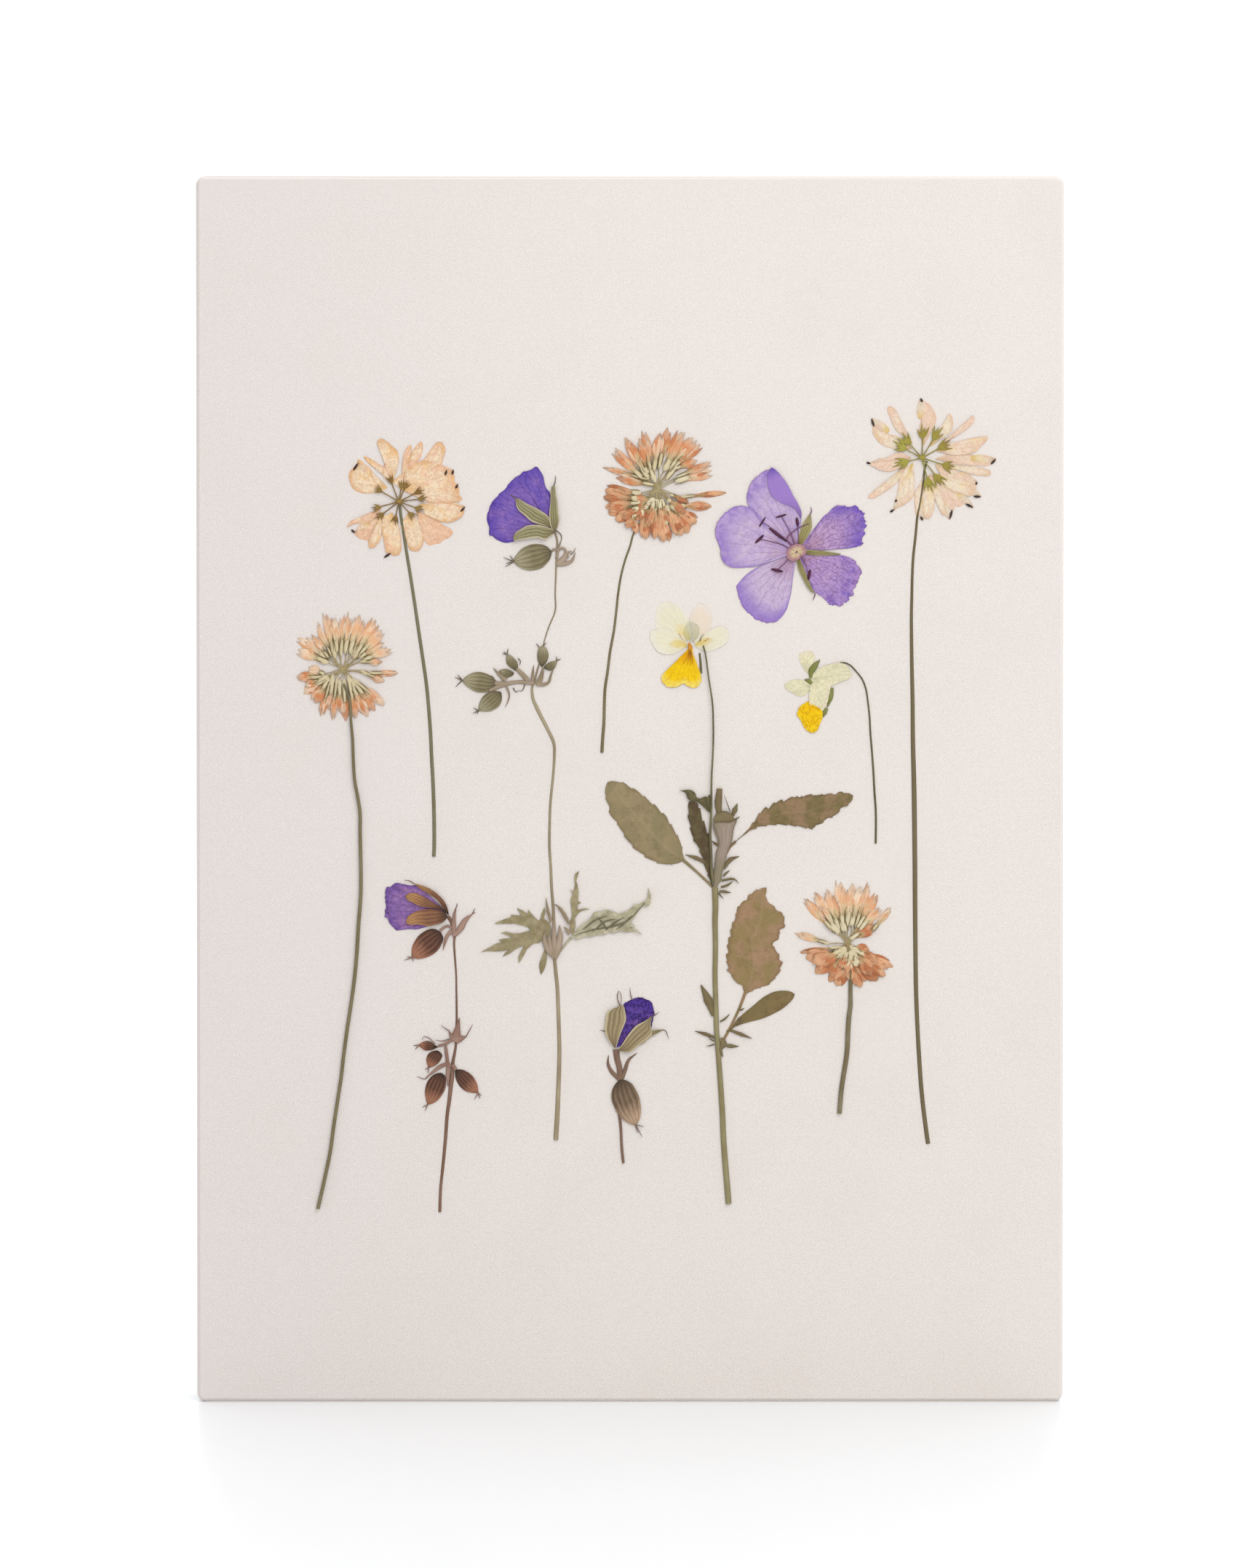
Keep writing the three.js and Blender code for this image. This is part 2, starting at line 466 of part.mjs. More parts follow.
const OPEN_PETALS = {
  top: [
    [40.4, 207.2], [36.4, 209.7], [33.6, 212.3], [30.7, 214.5], [28.7, 217], [28.2, 219.4], [29, 222.2],
    [30.7, 224.3], [34.3, 226.5], [37.5, 223.3], [39.5, 219.6], [41.2, 216.5], [41.4, 213.9], [40.5, 210.4],
  ],
  left: [
    [38.6, 206.6], [36.4, 208.6], [33.9, 210.6], [31.6, 213.1], [30, 216], [27.9, 217.1], [25.1, 216.9],
    [22.2, 214.8], [20.6, 212], [20.8, 209.2], [22, 205.2], [23.65, 202.8], [27.6, 202.3], [30.7, 202.65],
    [35.6, 204.9],
  ],
  lower_left: [
    [39.6, 204.3], [39.1, 198.7], [38.2, 192.8], [36.6, 190.1], [33.9, 188.9], [30.5, 189.7], [27.6, 192.2],
    [26.2, 195.6], [25.7, 197.9], [27.3, 199.8], [30.4, 202.1], [35, 204.2],
  ],
  lower_right: [
    [41.6, 204.9], [42.1, 202.1], [44.3, 197], [46.3, 195.3], [48.4, 193.4], [51.2, 193], [54, 195.6],
    [55.4, 198.4], [56, 201], [54.8, 203.5], [51.7, 205.2], [46.3, 205.9],
  ],
  upper_right: [
    [42.2, 207.2], [48, 206.8], [53.7, 207.1], [56, 208], [56.8, 210.8], [57.1, 213.4], [55.7, 216.4],
    [52.6, 217.1], [49.5, 217], [46.4, 214.2], [44, 210.3],
  ],
};
const OPEN_PETAL_LAYERS = { top: 0, left: 1, lower_left: 0, lower_right: 0, upper_right: 0 };
const OPEN_TOP_FOLD = [
  [34.3, 226.3], [33.4, 224.6], [33.4, 222], [34.4, 219.6], [37.3, 217.6], [40.1, 216.3], [41.2, 214.2],
  [41.1, 216.6], [39.5, 219.5], [37.4, 223.2],
];
const OPEN_SEPALS = {
  upper: [[[41, 207.6], [41.9, 211.4], [43.6, 215.4]], 2.2],
  right: [[[42.6, 206], [46.4, 205.8], [51, 205.5]], 1.5],
  lower: [[[40.8, 204.6], [42.2, 200.4], [44.9, 195.9]], 1.6],
};
const OPEN_ANTHERS = [
  [[34.1, 202], [37, 201.3]], [[30.3, 208.2], [32.3, 210.1]], [[33.6, 211.8], [37.8, 208.8]],
  [[40.3, 214.4], [40.6, 212.2]], [[35.3, 214.4], [37.8, 215.1]], [[32.7, 214.4], [31.3, 212.2]],
  [[43.6, 201.8], [43.1, 199.3]],
];
const OPEN_STYLE = [[40, 207.6], [38.3, 210], [39.5, 211], [41, 212], [43.3, 212.9]];
const OPEN_CENTRE = [40.2, 206.2];

function addOpenFlower() {
  for (const [place, outline] of Object.entries(OPEN_PETALS)) {
    const flat = petal(outline, OPEN_PETAL_LAYERS[place]);
    const fold = sheet(roundOff(OPEN_TOP_FOLD), GLUE_LINE + PETAL_THICK / 2, PETAL_THICK);
    add(face, `open_flower_petal_${place}`, place === 'top' ? fuse([flat, fold]) : flat, LAVENDER);
  }
  for (const [place, [line, width]] of Object.entries(OPEN_SEPALS)) {
    const low = GLUE_LINE + LAYER;
    add(face, `open_flower_sepal_${place}`, blade(line, width, low, 0.28), OLIVE);
  }
  const low = GLUE_LINE + 2 * LAYER;
  const pieces = [disc(OPEN_CENTRE[0], OPEN_CENTRE[1], 2, low, 0.6)];
  for (const [near, far] of OPEN_ANTHERS) {
    const middle = [(near[0] + far[0]) / 2, (near[1] + far[1]) / 2];
    pieces.push(strip([OPEN_CENTRE, middle], [0.25, 0.25], low, 0.3, FLAT_SECTION, 1, false));
    pieces.push(strip([near, far], [0.4, 0.8, 0.4], low, 0.5, FLAT_SECTION, 2, false));
  }
  pieces.push(stalk(OPEN_STYLE, 0.4, low, 0.35));
  add(face, 'open_flower_stamens', fuse(pieces), POD_BROWN);
}

// The tall cranesbill: closed violet flower, ribbed pod, bud clusters, dissected leaves and one long stem

const TALL_STEM = [
  [-18.1, 210.6], [-17.7, 207.6], [-17.8, 203], [-18.1, 194], [-20, 186.9], [-21.2, 182], [-22.7, 176.4],
  [-23.7, 172.6], [-23.2, 169.6], [-20.1, 163.5], [-18.4, 159.4], [-18.3, 155], [-19.1, 146], [-19.5, 136],
  [-19.1, 127], [-18.5, 114], [-18.2, 106], [-17.5, 98], [-17.1, 85], [-17.4, 74], [-17.9, 63.6],
];
const TALL_STEM_WIDTHS = [0.45, 0.5, 0.5, 0.6, 0.85, 0.6, 0.65, 0.7, 0.8, 0.9, 1.1, 1.2];
const TALL_PETALS = [
  [-23, 226.7], [-21.7, 225.6], [-20.6, 222.4], [-19.3, 220.2], [-19.1, 215.6], [-18.8, 211.9], [-22, 210],
  [-27.7, 208.8], [-30.4, 208.3], [-33.2, 209.9], [-34.1, 210.6], [-34.6, 214.2], [-33.3, 218.3], [-30.9, 220.6],
  [-28, 223.8], [-25.2, 225.7],
];
const TALL_SEPALS = [
  [[[-18.9, 211.9], [-23.5, 215.6], [-27.9, 219]], 3.4],
  [[[-18.3, 211.5], [-18.1, 216.5], [-18.5, 222]], 2.4],
  [[[-18.9, 211], [-23.6, 211], [-28, 208.9]], 3.2],
];
const TALL_POD = [[-18.9, 205.9], [-23.6, 204.8], [-28.2, 203.6]];
const TALL_BUDS = [
  [[[-32.2, 174.4], [-36.4, 174.6], [-40.6, 174.9]], 4.9], [[[-31.6, 172], [-34, 169.8], [-36.6, 167.6]], 4.6],
  [[[-27.8, 176.2], [-29.8, 176.7], [-31.9, 177]], 2.3], [[[-27, 177.2], [-28.4, 179.4], [-29.9, 181.3]], 2.6],
  [[[-21.3, 177.8], [-21.2, 180.6], [-21.2, 183.4]], 2.7], [[[-20.3, 177.8], [-19.2, 178.6], [-17.6, 179.6]], 2.6],
];
const TALL_PETIOLE = [[-18.2, 107.4], [-16.9, 109.9], [-15, 112]];
const TALL_LEAF_LEFT = [
  [-32.9, 116.1], [-30, 117.3], [-27, 118.1], [-27.4, 119.9], [-25.6, 119], [-24.4, 118.6], [-24.5, 119.5],
  [-22.4, 117.1], [-21.3, 118.4], [-20.7, 120], [-20.8, 117.3], [-19.6, 116], [-19.4, 113.6], [-20.6, 112.2],
  [-23.4, 111.3], [-25.2, 109.6], [-26.4, 107.4], [-26.9, 106.5], [-27, 108.1], [-25.9, 110.5], [-28.5, 109.2],
  [-30.9, 108], [-29.4, 109.9], [-32.7, 109.3], [-36.2, 109.1], [-32.5, 111.2], [-30.8, 111.7], [-31.9, 112.1],
  [-28.9, 112.7], [-31.4, 113.7], [-28.2, 113.8], [-24.2, 114.5], [-24.6, 115.3], [-28, 116.1],
];
const TALL_LEAF_LOBE_DOWN = [[[-21.4, 113.4], [-21, 107.6], [-21.5, 103.7]], 1.7];
const TALL_LEAF_UP = [
  [-14, 112.9], [-13.2, 113.6], [-13.2, 117.4], [-11.7, 119.1], [-9.8, 119.6], [-12.7, 119.5], [-12.7, 120.6],
  [-11.8, 121.1], [-12.6, 121.8], [-12.4, 123.7], [-13, 126.4], [-12.3, 128.9], [-13.4, 128], [-13.3, 125.4],
  [-13.8, 123.6], [-14.6, 124.5], [-14.4, 122], [-14.1, 118.4], [-14.7, 116.9], [-16.4, 119.6], [-18.2, 120.8],
  [-16.6, 118.2], [-14.4, 115.2],
];
const TALL_LEAF_RIGHT = [
  [-15.6, 111.4], [-13.6, 113.9], [-12, 115.8], [-9.4, 117.6], [-8.7, 118.9], [-5.7, 119.4], [-2.7, 118.4],
  [-0.7, 119.1], [1, 120.6], [4, 121.7], [4.4, 124.9], [5.1, 122.7], [4.6, 120.4], [3, 120.2], [1.3, 117.7],
  [0.2, 116.5], [1.4, 115.4], [0, 115], [1.7, 114.5], [3, 113.3], [-0.3, 114], [-2.3, 114.3], [-4, 113.7],
  [-8.7, 113.1], [-12.7, 112.2],
];
const TALL_SHEATH = [
  [-18.5, 107.9], [-19.9, 108.9], [-20.9, 110.4], [-21, 112.2], [-19.9, 114.2], [-18.8, 112.4], [-17.2, 115.8],
  [-16.5, 114.2], [-16.6, 111.8], [-15.6, 111.9], [-16.9, 109.6],
];

function addTallCranesbill() {
  const room = roomFor(TALL_STEM, TALL_STEM_WIDTHS);
  const stalks = [
    stem(TALL_STEM, TALL_STEM_WIDTHS),
    stalk([[-17.7, 206.9], [-18.5, 206.5]], 0.6),
    sheet([[-17.7, 206.6], [-16.5, 207], [-15.5, 205.7], [-14.1, 206.2], [-14.8, 204.2], [-15.4, 203.1],
      [-17.7, 202.3]], GLUE_LINE, 0.45),
    awn([[-15.4, 203], [-13.8, 203.5], [-13.1, 205.9]], 0.5),
    awn([[-17.6, 211.3], [-16.6, 209.8], [-17.4, 206.8]].reverse(), 0.35),
    stalk([[-23.4, 173.8], [-26, 174.6], [-30, 174.2], [-32.6, 174.3]], 1),
    stalk([[-30, 174.3], [-32.4, 172.9], [-33.6, 170.4]], 0.8),
    stalk([[-25, 174.8], [-27.3, 177.4]], 1),
    stalk([[-28.4, 174.6], [-27.9, 176.4]], 0.8),
    awn([[-30.4, 174.6], [-32, 176.3], [-33.2, 178.2]], 1.2),
    awn([[-30, 174], [-29.5, 171.4], [-30.2, 168.8]], 0.4),
    awn([[-26, 174.4], [-26, 173.4], [-27, 172.5]], 0.4),
    stalk([[-23.2, 173.6], [-21.9, 176], [-21.5, 178]], 0.9),
    stalk([[-22.6, 174], [-20.6, 174.2], [-19.4, 175.3], [-19.1, 177.6]], 0.6),
    awn([[-18.5, 115], [-19.3, 119.5], [-20.3, 122.4]], 0.7),
    stalk(TALL_PETIOLE, 0.5),
    ...TALL_BUDS.map(([line, width]) => bud(line, width)),
  ];
  add(face, 'tall_cranesbill_stem_and_buds', fuse(stalks), GREEN_STEM);
  add(face, 'tall_cranesbill_petals', petal(TALL_PETALS, 0), VIOLET);
  const low = GLUE_LINE + PETAL_THICK + 0.12;
  const sepals = TALL_SEPALS.map(([line, width], index) => blade(line, width, low, 0.4 + 0.1 * index));
  add(face, 'tall_cranesbill_sepals', fuse(sepals), OLIVE);
  add(face, 'tall_cranesbill_pod', pod(TALL_POD, 6.2), OLIVE);
  const leafLow = GLUE_LINE + LAYER / 8;
  const leftLeaf = fuse([
    sheet(TALL_LEAF_LEFT, leafLow, LEAF_THICK),
    blade(TALL_LEAF_LOBE_DOWN[0], TALL_LEAF_LOBE_DOWN[1], leafLow, LEAF_THICK),
  ]);
  add(face, 'tall_cranesbill_leaf_left', cut(leftLeaf, room), LEAF_OLIVE);
  add(face, 'tall_cranesbill_leaf_up', sheet(TALL_LEAF_UP, OVER_STEM, LEAF_THICK), LEAF_OLIVE);
  const rightLeaf = sheet(TALL_LEAF_RIGHT, leafLow, LEAF_THICK);
  add(face, 'tall_cranesbill_leaf_right', cut(rightLeaf, roomFor(TALL_PETIOLE, [0.5, 0.5])), LEAF_OLIVE);
  add(face, 'tall_cranesbill_leaf_sheath', sheet(roundOff(TALL_SHEATH), OVER_STEM, LEAF_THICK), BROWN_STEM);
}

// The low cranesbill on the left: half-open flower, brown pod, four buds and a thin brown stem

const LOW_STEM = [
  [-44, 117.8], [-43.1, 115.6], [-42.5, 113], [-42.4, 107], [-42.1, 100], [-42, 92.4], [-42.4, 86], [-43.1, 79.2],
  [-44, 71], [-45.2, 58.5], [-46.1, 46.3],
];
const LOW_STEM_WIDTHS = [0.6, 0.45, 0.5, 0.6, 0.7, 0.7];
const LOW_PETALS = [
  [-56.9, 125.9], [-53.2, 125.4], [-49.7, 124], [-46.4, 121], [-44.6, 118.2], [-46.4, 116.2], [-51.3, 114.9],
  [-56.6, 114.5], [-58.3, 116.3], [-59.3, 118], [-59.3, 122.7], [-58.6, 125],
];
const LOW_SEPALS = [
  [[[-44.2, 118.2], [-46.8, 122.8], [-51.8, 125.4]], 1.9],
  [[[-44.4, 118.3], [-48.6, 121.4], [-54.4, 122.8]], 2.9],
  [[[-44.3, 118], [-49, 117.6], [-54.3, 116.6]], 3.5],
];
const LOW_POD = [[-46, 114], [-49.2, 111.2], [-52.7, 107.9]];
const LOW_BUDS = [
  [[[-46.6, 86.2], [-49, 86.4], [-51.4, 86.6]], 2.2], [[[-45.6, 86], [-47.4, 83.2], [-48.8, 81.1]], 3.3],
  [[[-45, 81.2], [-47, 76.4], [-49, 72.1]], 4.9], [[[-42.9, 81.2], [-39.4, 78.2], [-36.8, 75.2]], 4.3],
];

function addLowCranesbill() {
  const stalks = [
    stem(LOW_STEM, LOW_STEM_WIDTHS),
    stalk([[-43.2, 115.2], [-44.2, 115.5], [-45.1, 115], [-46, 114]], 0.7),
    awn([[-42.5, 113.2], [-42.5, 116.6], [-42.2, 120.2]], 1.3),
    awn([[-42.4, 113.2], [-40.6, 115.2], [-39.1, 118], [-37.6, 119.6]], 1.3),
    awn([[-43.2, 114.4], [-44.2, 112.6], [-45.2, 109.6]], 0.7),
    sheet([[-43.6, 89.7], [-42.2, 90.4], [-41.4, 93.2], [-41.1, 90.2], [-39.9, 88.6], [-40.9, 87.2], [-42.4, 87.4],
      [-43.7, 88]], GLUE_LINE, 0.45),
    awn([[-42.6, 89.2], [-44.4, 90.2], [-45.8, 91.4]], 0.4),
    awn([[-41, 88.4], [-39.6, 88.8], [-38.1, 91.6]], 0.4),
    stalk([[-42.4, 88], [-44.6, 87], [-46.4, 86.3]], 0.6),
    stalk([[-44.7, 87], [-44.4, 84], [-44, 82], [-43.2, 81]], 0.6),
    awn([[-43.4, 81.2], [-44, 79.6], [-44.1, 76.6]], 1),
    awn([[-43.6, 81.6], [-46.2, 81], [-49.6, 78.4]], 0.8),
    ...LOW_BUDS.map(([line, width]) => bud(line, width)),
  ];
  add(face, 'low_cranesbill_stem_and_buds', fuse(stalks), BROWN_STEM);
  add(face, 'low_cranesbill_petals', petal(LOW_PETALS, 1.6), VIOLET);
  const low = GLUE_LINE + 1.6 * LAYER + PETAL_THICK + 0.12;
  const sepals = LOW_SEPALS.map(([line, width], index) => blade(line, width, low, 0.4 + 0.1 * index));
  add(face, 'low_cranesbill_sepals', fuse(sepals), POD_BROWN);
  add(face, 'low_cranesbill_pod', pod(LOW_POD, 5.3, OVER_STEM), POD_BROWN);
}

// The small cranesbill: a bud flower above one pod

const SMALL_STEM = [[-3.4, 84.8], [-2.7, 81.6], [-2, 77.6], [-2.5, 70], [-2.2, 66], [-1.6, 58]];
const SMALL_STEM_WIDTHS = [1.5, 1.3, 0.7, 0.6, 0.65];
const SMALL_PETALS = [
  [-1.6, 96.2], [1.4, 98], [4.4, 97.6], [5.9, 95.2], [5.4, 92], [4.4, 90], [0.6, 88], [-3, 86.2], [-2.4, 90],
  [-1.4, 93],
];
const SMALL_SEPAL_LEFT = [
  [-5.5, 94.6], [-3.6, 95.6], [-1.7, 96.2], [-1, 93], [-1.5, 89.4], [-2.4, 86.4], [-3.4, 86.2], [-5.4, 88.2], [-6.1, 91],
];
const SMALL_SEPAL_RIGHT = [
  [5.6, 93.7], [2.4, 92.1], [0, 90.2], [-1.8, 87.6], [-3, 85.7], [-0.4, 85], [3, 87.2], [4.9, 88.8], [5.2, 91.2],
];
const SMALL_POD = [[-2, 78.6], [-0.8, 73], [1.2, 67.2]];

function addSmallCranesbill() {
  const stalks = [
    stem(SMALL_STEM, SMALL_STEM_WIDTHS),
    awn([[-2.6, 78.6], [-4.6, 80.6], [-5.3, 82.6], [-4.9, 84.4]], 0.9),
    awn([[-2, 79.6], [-1.3, 82], [-0.2, 83.4], [1.7, 84.7]], 0.9),
  ];
  const low = GLUE_LINE + PETAL_THICK + 0.12;
  add(face, 'small_cranesbill_stem', fuse(stalks), BROWN_STEM);
  add(face, 'small_cranesbill_petals', petal(SMALL_PETALS, 0), VIOLET);
  add(face, 'small_cranesbill_sepals', fuse([
    sheet(roundOff(SMALL_SEPAL_LEFT), low, 0.3),
    sheet(roundOff(SMALL_SEPAL_RIGHT), low, 0.45),
    awn([[3.4, 88.3], [6.6, 89.8], [8, 90.2], [9.4, 88.1]], 0.7, low),
  ]), OLIVE);
  add(face, 'small_cranesbill_pod', pod(SMALL_POD, 6.6, OVER_STEM), POD_BROWN);
}

// The tall viola: pale flower with one yellow petal, thin flower stalk and a leafy stem

const VIOLA_STALK = [
  [18.1, 181.6], [19, 175.8], [20, 168.9], [20.2, 162], [19.9, 153], [19.7, 145.2], [19.5, 137.5], [19.7, 129.7],
  [20.3, 125.4],
];
const VIOLA_STALK_WIDTHS = [0.35, 0.35, 0.3, 0.4, 0.6, 0.6];
const VIOLA_STEM = [
  [20.6, 125], [20.7, 117], [20.6, 105], [20.9, 94], [21.3, 86], [22, 75], [22.9, 61], [23.9, 48.3],
];
const VIOLA_STEM_WIDTHS = [1.4, 1.2, 1.2, 1.3, 1.2, 1.3, 1.4];
const VIOLA_PETALS = {
  upper_left: [
    [9, 194], [7.2, 193.2], [6.3, 190], [6.8, 187.2], [9.6, 185.4], [13.4, 184.4], [14.8, 186.6], [14.2, 189.8],
    [12.6, 192.2],
  ],
  upper_right: [
    [17.1, 193.6], [15.6, 192.6], [14.6, 189.6], [14.8, 186.4], [15.9, 184.6], [18, 185.4], [19.6, 187.8],
    [19.9, 190.6], [18.8, 192.8],
  ],
  left: [
    [4.8, 185.6], [6, 187], [10.1, 186.9], [13.1, 185.5], [13.9, 183.3], [12.4, 182.2], [9.4, 181.3], [6.4, 182.2],
  ],
  right: [
    [24, 186], [22.4, 188], [20.4, 187.8], [18.2, 186.4], [16, 184.7], [15.9, 183.2], [17.8, 182.1], [20.6, 182.4],
    [23.2, 184.1],
  ],
};
const VIOLA_PETAL_THICK = { upper_left: 0.25, upper_right: 0.35, left: 0.45, right: 0.55 };
const VIOLA_SPUR = [
  [15.5, 189], [13.8, 188.4], [13, 186.4], [13.8, 184.6], [15.1, 184.1], [16.4, 185.4], [16.8, 187.4],
];
const VIOLA_YELLOW = [
  [14, 182.9], [15.1, 182.9], [15.5, 179.5], [16.6, 177.4], [17.2, 175], [16.2, 173.5], [14.6, 173.4],
  [12.9, 174.2], [11.2, 173.5], [9.2, 173.4], [7.7, 174.8], [8.2, 176.8], [10.8, 179.1], [12.8, 181.2],
];
const VIOLA_LEAF_BIG = [
  [-5.4, 150.3], [-3, 150.4], [-0.6, 149.4], [1.2, 148.4], [3.6, 146.4], [6.2, 144.3], [8.7, 141.8], [10.2, 139.2],
  [11.8, 136.3], [12.6, 133.2], [13, 131.3], [10.8, 130.8], [8, 130.6], [4.9, 131.6], [2.3, 133.6], [0.6, 135.1],
  [-2, 138.8], [-4.1, 141.8], [-5, 144.4], [-5.9, 147.6],
];
const VIOLA_LEAF_LONG = [
  [30.1, 140.6], [31.6, 142.7], [33.2, 144.1], [34.9, 145], [37, 145.9], [40.6, 146.8], [44.3, 147.1], [47.8, 147.3],
  [52.4, 147.6], [54, 147.1], [52.7, 145], [50.5, 143.4], [48.2, 141.9], [46.2, 140.5], [44.1, 139.2], [40, 139.9],
  [34.9, 140.2], [31.2, 139.8],
];
const VIOLA_LEAF_TORN = [
  [27.6, 100.3], [25.4, 102.2], [23.7, 104.9], [23.5, 108], [23.9, 111], [24.6, 114.4], [25.8, 117.8], [27.1, 121],
  [28.9, 122.8], [31, 124.1], [33, 124.8], [32.8, 122.7], [34.8, 120.3], [36.6, 118.8], [37.2, 115.4], [36.1, 114.3],
  [36, 112.5], [34.5, 111.3], [35.2, 109.6], [36.7, 106.8], [35.8, 104], [33.8, 101.6], [30.8, 100.5], [28.7, 99.5],
];
const VIOLA_LEAF_LOW = [
  [25.2, 91.2], [26.9, 93.7], [30, 96.3], [33.6, 98.9], [37.2, 99.8], [39.8, 99.2], [38.6, 96.9], [35.2, 94.4],
  [31, 92.7], [27.4, 91.8],
];
const VIOLA_LEAF_SMALL = [
  [17.1, 101.2], [18.4, 101.2], [20.3, 100.6], [20.6, 96.8], [20.7, 93.4], [18.9, 96.9], [17.7, 99.2],
];
const VIOLA_LEAF_DARK = [
  [14.3, 145.3], [15.7, 145], [16.6, 143.6], [17.4, 141.3], [18.8, 137.6], [19.1, 134], [19.3, 129.7], [19.8, 126],
  [18.5, 129.6], [17.6, 132.4], [15.4, 136.9], [14.7, 139.8], [14.2, 142.6],
];
const VIOLA_LEAF_CURLED = [
  [12, 148.4], [14.4, 148.5], [15.9, 147.5], [16.3, 146.6], [17.6, 146.3], [19.3, 147], [19.3, 143.4], [18, 143.9],
  [16.6, 145.3], [14.4, 146],
];
const VIOLA_SHOOT = [
  [21.3, 125.2], [21.9, 126.4], [23, 131], [24.7, 136], [25.2, 139.4], [26, 141.2], [24.9, 142.6], [26, 145],
  [24.6, 143.2], [22.9, 143.4], [22.4, 146.6], [22.2, 148.5], [21.2, 148.7], [21.1, 143.4], [20.3, 141.2],
  [20.7, 138], [21.2, 135.2], [20.6, 131], [20.5, 127.4],
];

function addTallViola() {
  const petals = Object.entries(VIOLA_PETALS).map(([place, outline]) => (
    sheet(roundOff(outline), GLUE_LINE, VIOLA_PETAL_THICK[place])));
  add(face, 'tall_viola_petals', fuse(petals), CREAM);
  add(face, 'tall_viola_petal_yellow', petal(VIOLA_YELLOW, 0), YELLOW);
  add(face, 'tall_viola_spur', sheet(roundOff(VIOLA_SPUR), GLUE_LINE + 0.7, 0.5), OLIVE);
  const stalks = [
    stem(VIOLA_STEM, VIOLA_STEM_WIDTHS),
    stalk([[20.3, 124.4], [16.4, 127.9], [13, 131.1]], 0.55),
    blade([[21, 124.6], [23.4, 125.2], [25, 126.6], [26.4, 125.8]], 0.6),
    blade([[21, 123.8], [22.8, 123.7], [24.5, 123.5]], 0.6),
    blade([[21.4, 86.4], [18, 89.6], [15.7, 90.1]], 1),
    blade([[21.6, 86.8], [20, 86.6], [18.4, 86.5]], 0.6),
    blade([[22, 87.6], [24.9, 90], [27.2, 88.9], [29.4, 88.2]], 1),
    blade([[21.8, 86.8], [24, 86.5], [26.4, 86.3]], 1.1),
    blade([[21.2, 86.8], [21.8, 85.2], [22.5, 83.7]], 0.8),
    blade([[21.4, 91.4], [22.4, 93.2], [24.2, 94.2]], 0.45),
    stalk([[21.8, 87.2], [24, 90.3], [25, 92.3], [26.4, 95.3], [27.2, 97.3], [27.9, 99.6]], 1),
    stalk([[24.4, 91], [26, 91.9]], 0.9),
    sheet(VIOLA_LEAF_SMALL, GLUE_LINE, LEAF_THICK),
  ];
  add(face, 'tall_viola_stem', fuse(stalks), GREEN_STEM);
  add(face, 'tall_viola_flower_stalk', stem(VIOLA_STALK, VIOLA_STALK_WIDTHS), BROWN_STEM);
  add(face, 'tall_viola_dropped_stalk', strip([[16.85, 181.5], [17.2, 179.4], [17.1, 176.8]],
    [0.5, 0.7, 0.3], GLUE_LINE + 1.4 * LAYER, 0.4, STEM_SECTION, 4, false), GREEN_STEM);
  const leafLow = GLUE_LINE + LAYER / 8;
  const leafRoom = fuse([
    roomFor([[20.3, 124.4], [16.4, 127.9], [13, 131.1]], [0.55, 0.55]),
    roomFor([[21.8, 87.2], [24, 90.3], [25, 92.3], [26.4, 95.3], [27.2, 97.3], [27.9, 99.6]], [1, 1]),
    roomFor([[24.4, 91], [26, 91.9]], [0.9, 0.9]),
  ]);
  add(face, 'tall_viola_leaf_big', cut(sheet(VIOLA_LEAF_BIG, leafLow, LEAF_THICK), leafRoom), LEAF_OLIVE);
  add(face, 'tall_viola_leaf_torn', cut(sheet(VIOLA_LEAF_TORN, leafLow, LEAF_THICK), leafRoom), LEAF_BROWN);
  add(face, 'tall_viola_leaf_low', cut(sheet(VIOLA_LEAF_LOW, leafLow, LEAF_THICK), leafRoom), LEAF_BROWN);
  add(face, 'tall_viola_leaf_dark', fuse([
    sheet(VIOLA_LEAF_DARK, OVER_STEM, LEAF_THICK),
    blade([[18.4, 130.6], [16, 131.5], [13.3, 132.8]], 0.9, OVER_STEM),
  ]), LEAF_BROWN);
  add(face, 'tall_viola_leaf_curled', sheet(VIOLA_LEAF_CURLED, OVER_STEM, LEAF_THICK), LEAF_OLIVE);
  add(face, 'tall_viola_shoot', fuse([
    sheet(VIOLA_SHOOT, OVER_STEM, 0.5),
    blade([[22.4, 129.4], [24.4, 131.2], [26.5, 132.4]], 0.9, OVER_STEM),
    blade([[22, 127.6], [22.9, 128.6], [24.2, 129.1]], 0.5, OVER_STEM),
  ]), GREEN_STEM);
  add(face, 'tall_viola_leaf_long', fuse([
    sheet(VIOLA_LEAF_LONG, leafLow, LEAF_THICK),
    strip([[25.1, 135.5], [26.9, 137.2], [28.4, 138.6], [31, 140.4]], [0.3, 0.4, 0.9, 1.4], leafLow, LEAF_THICK,
      STEM_SECTION, 6, false),
  ]), LEAF_OLIVE);
}

// The nodding viola: flower hung from an arched stalk

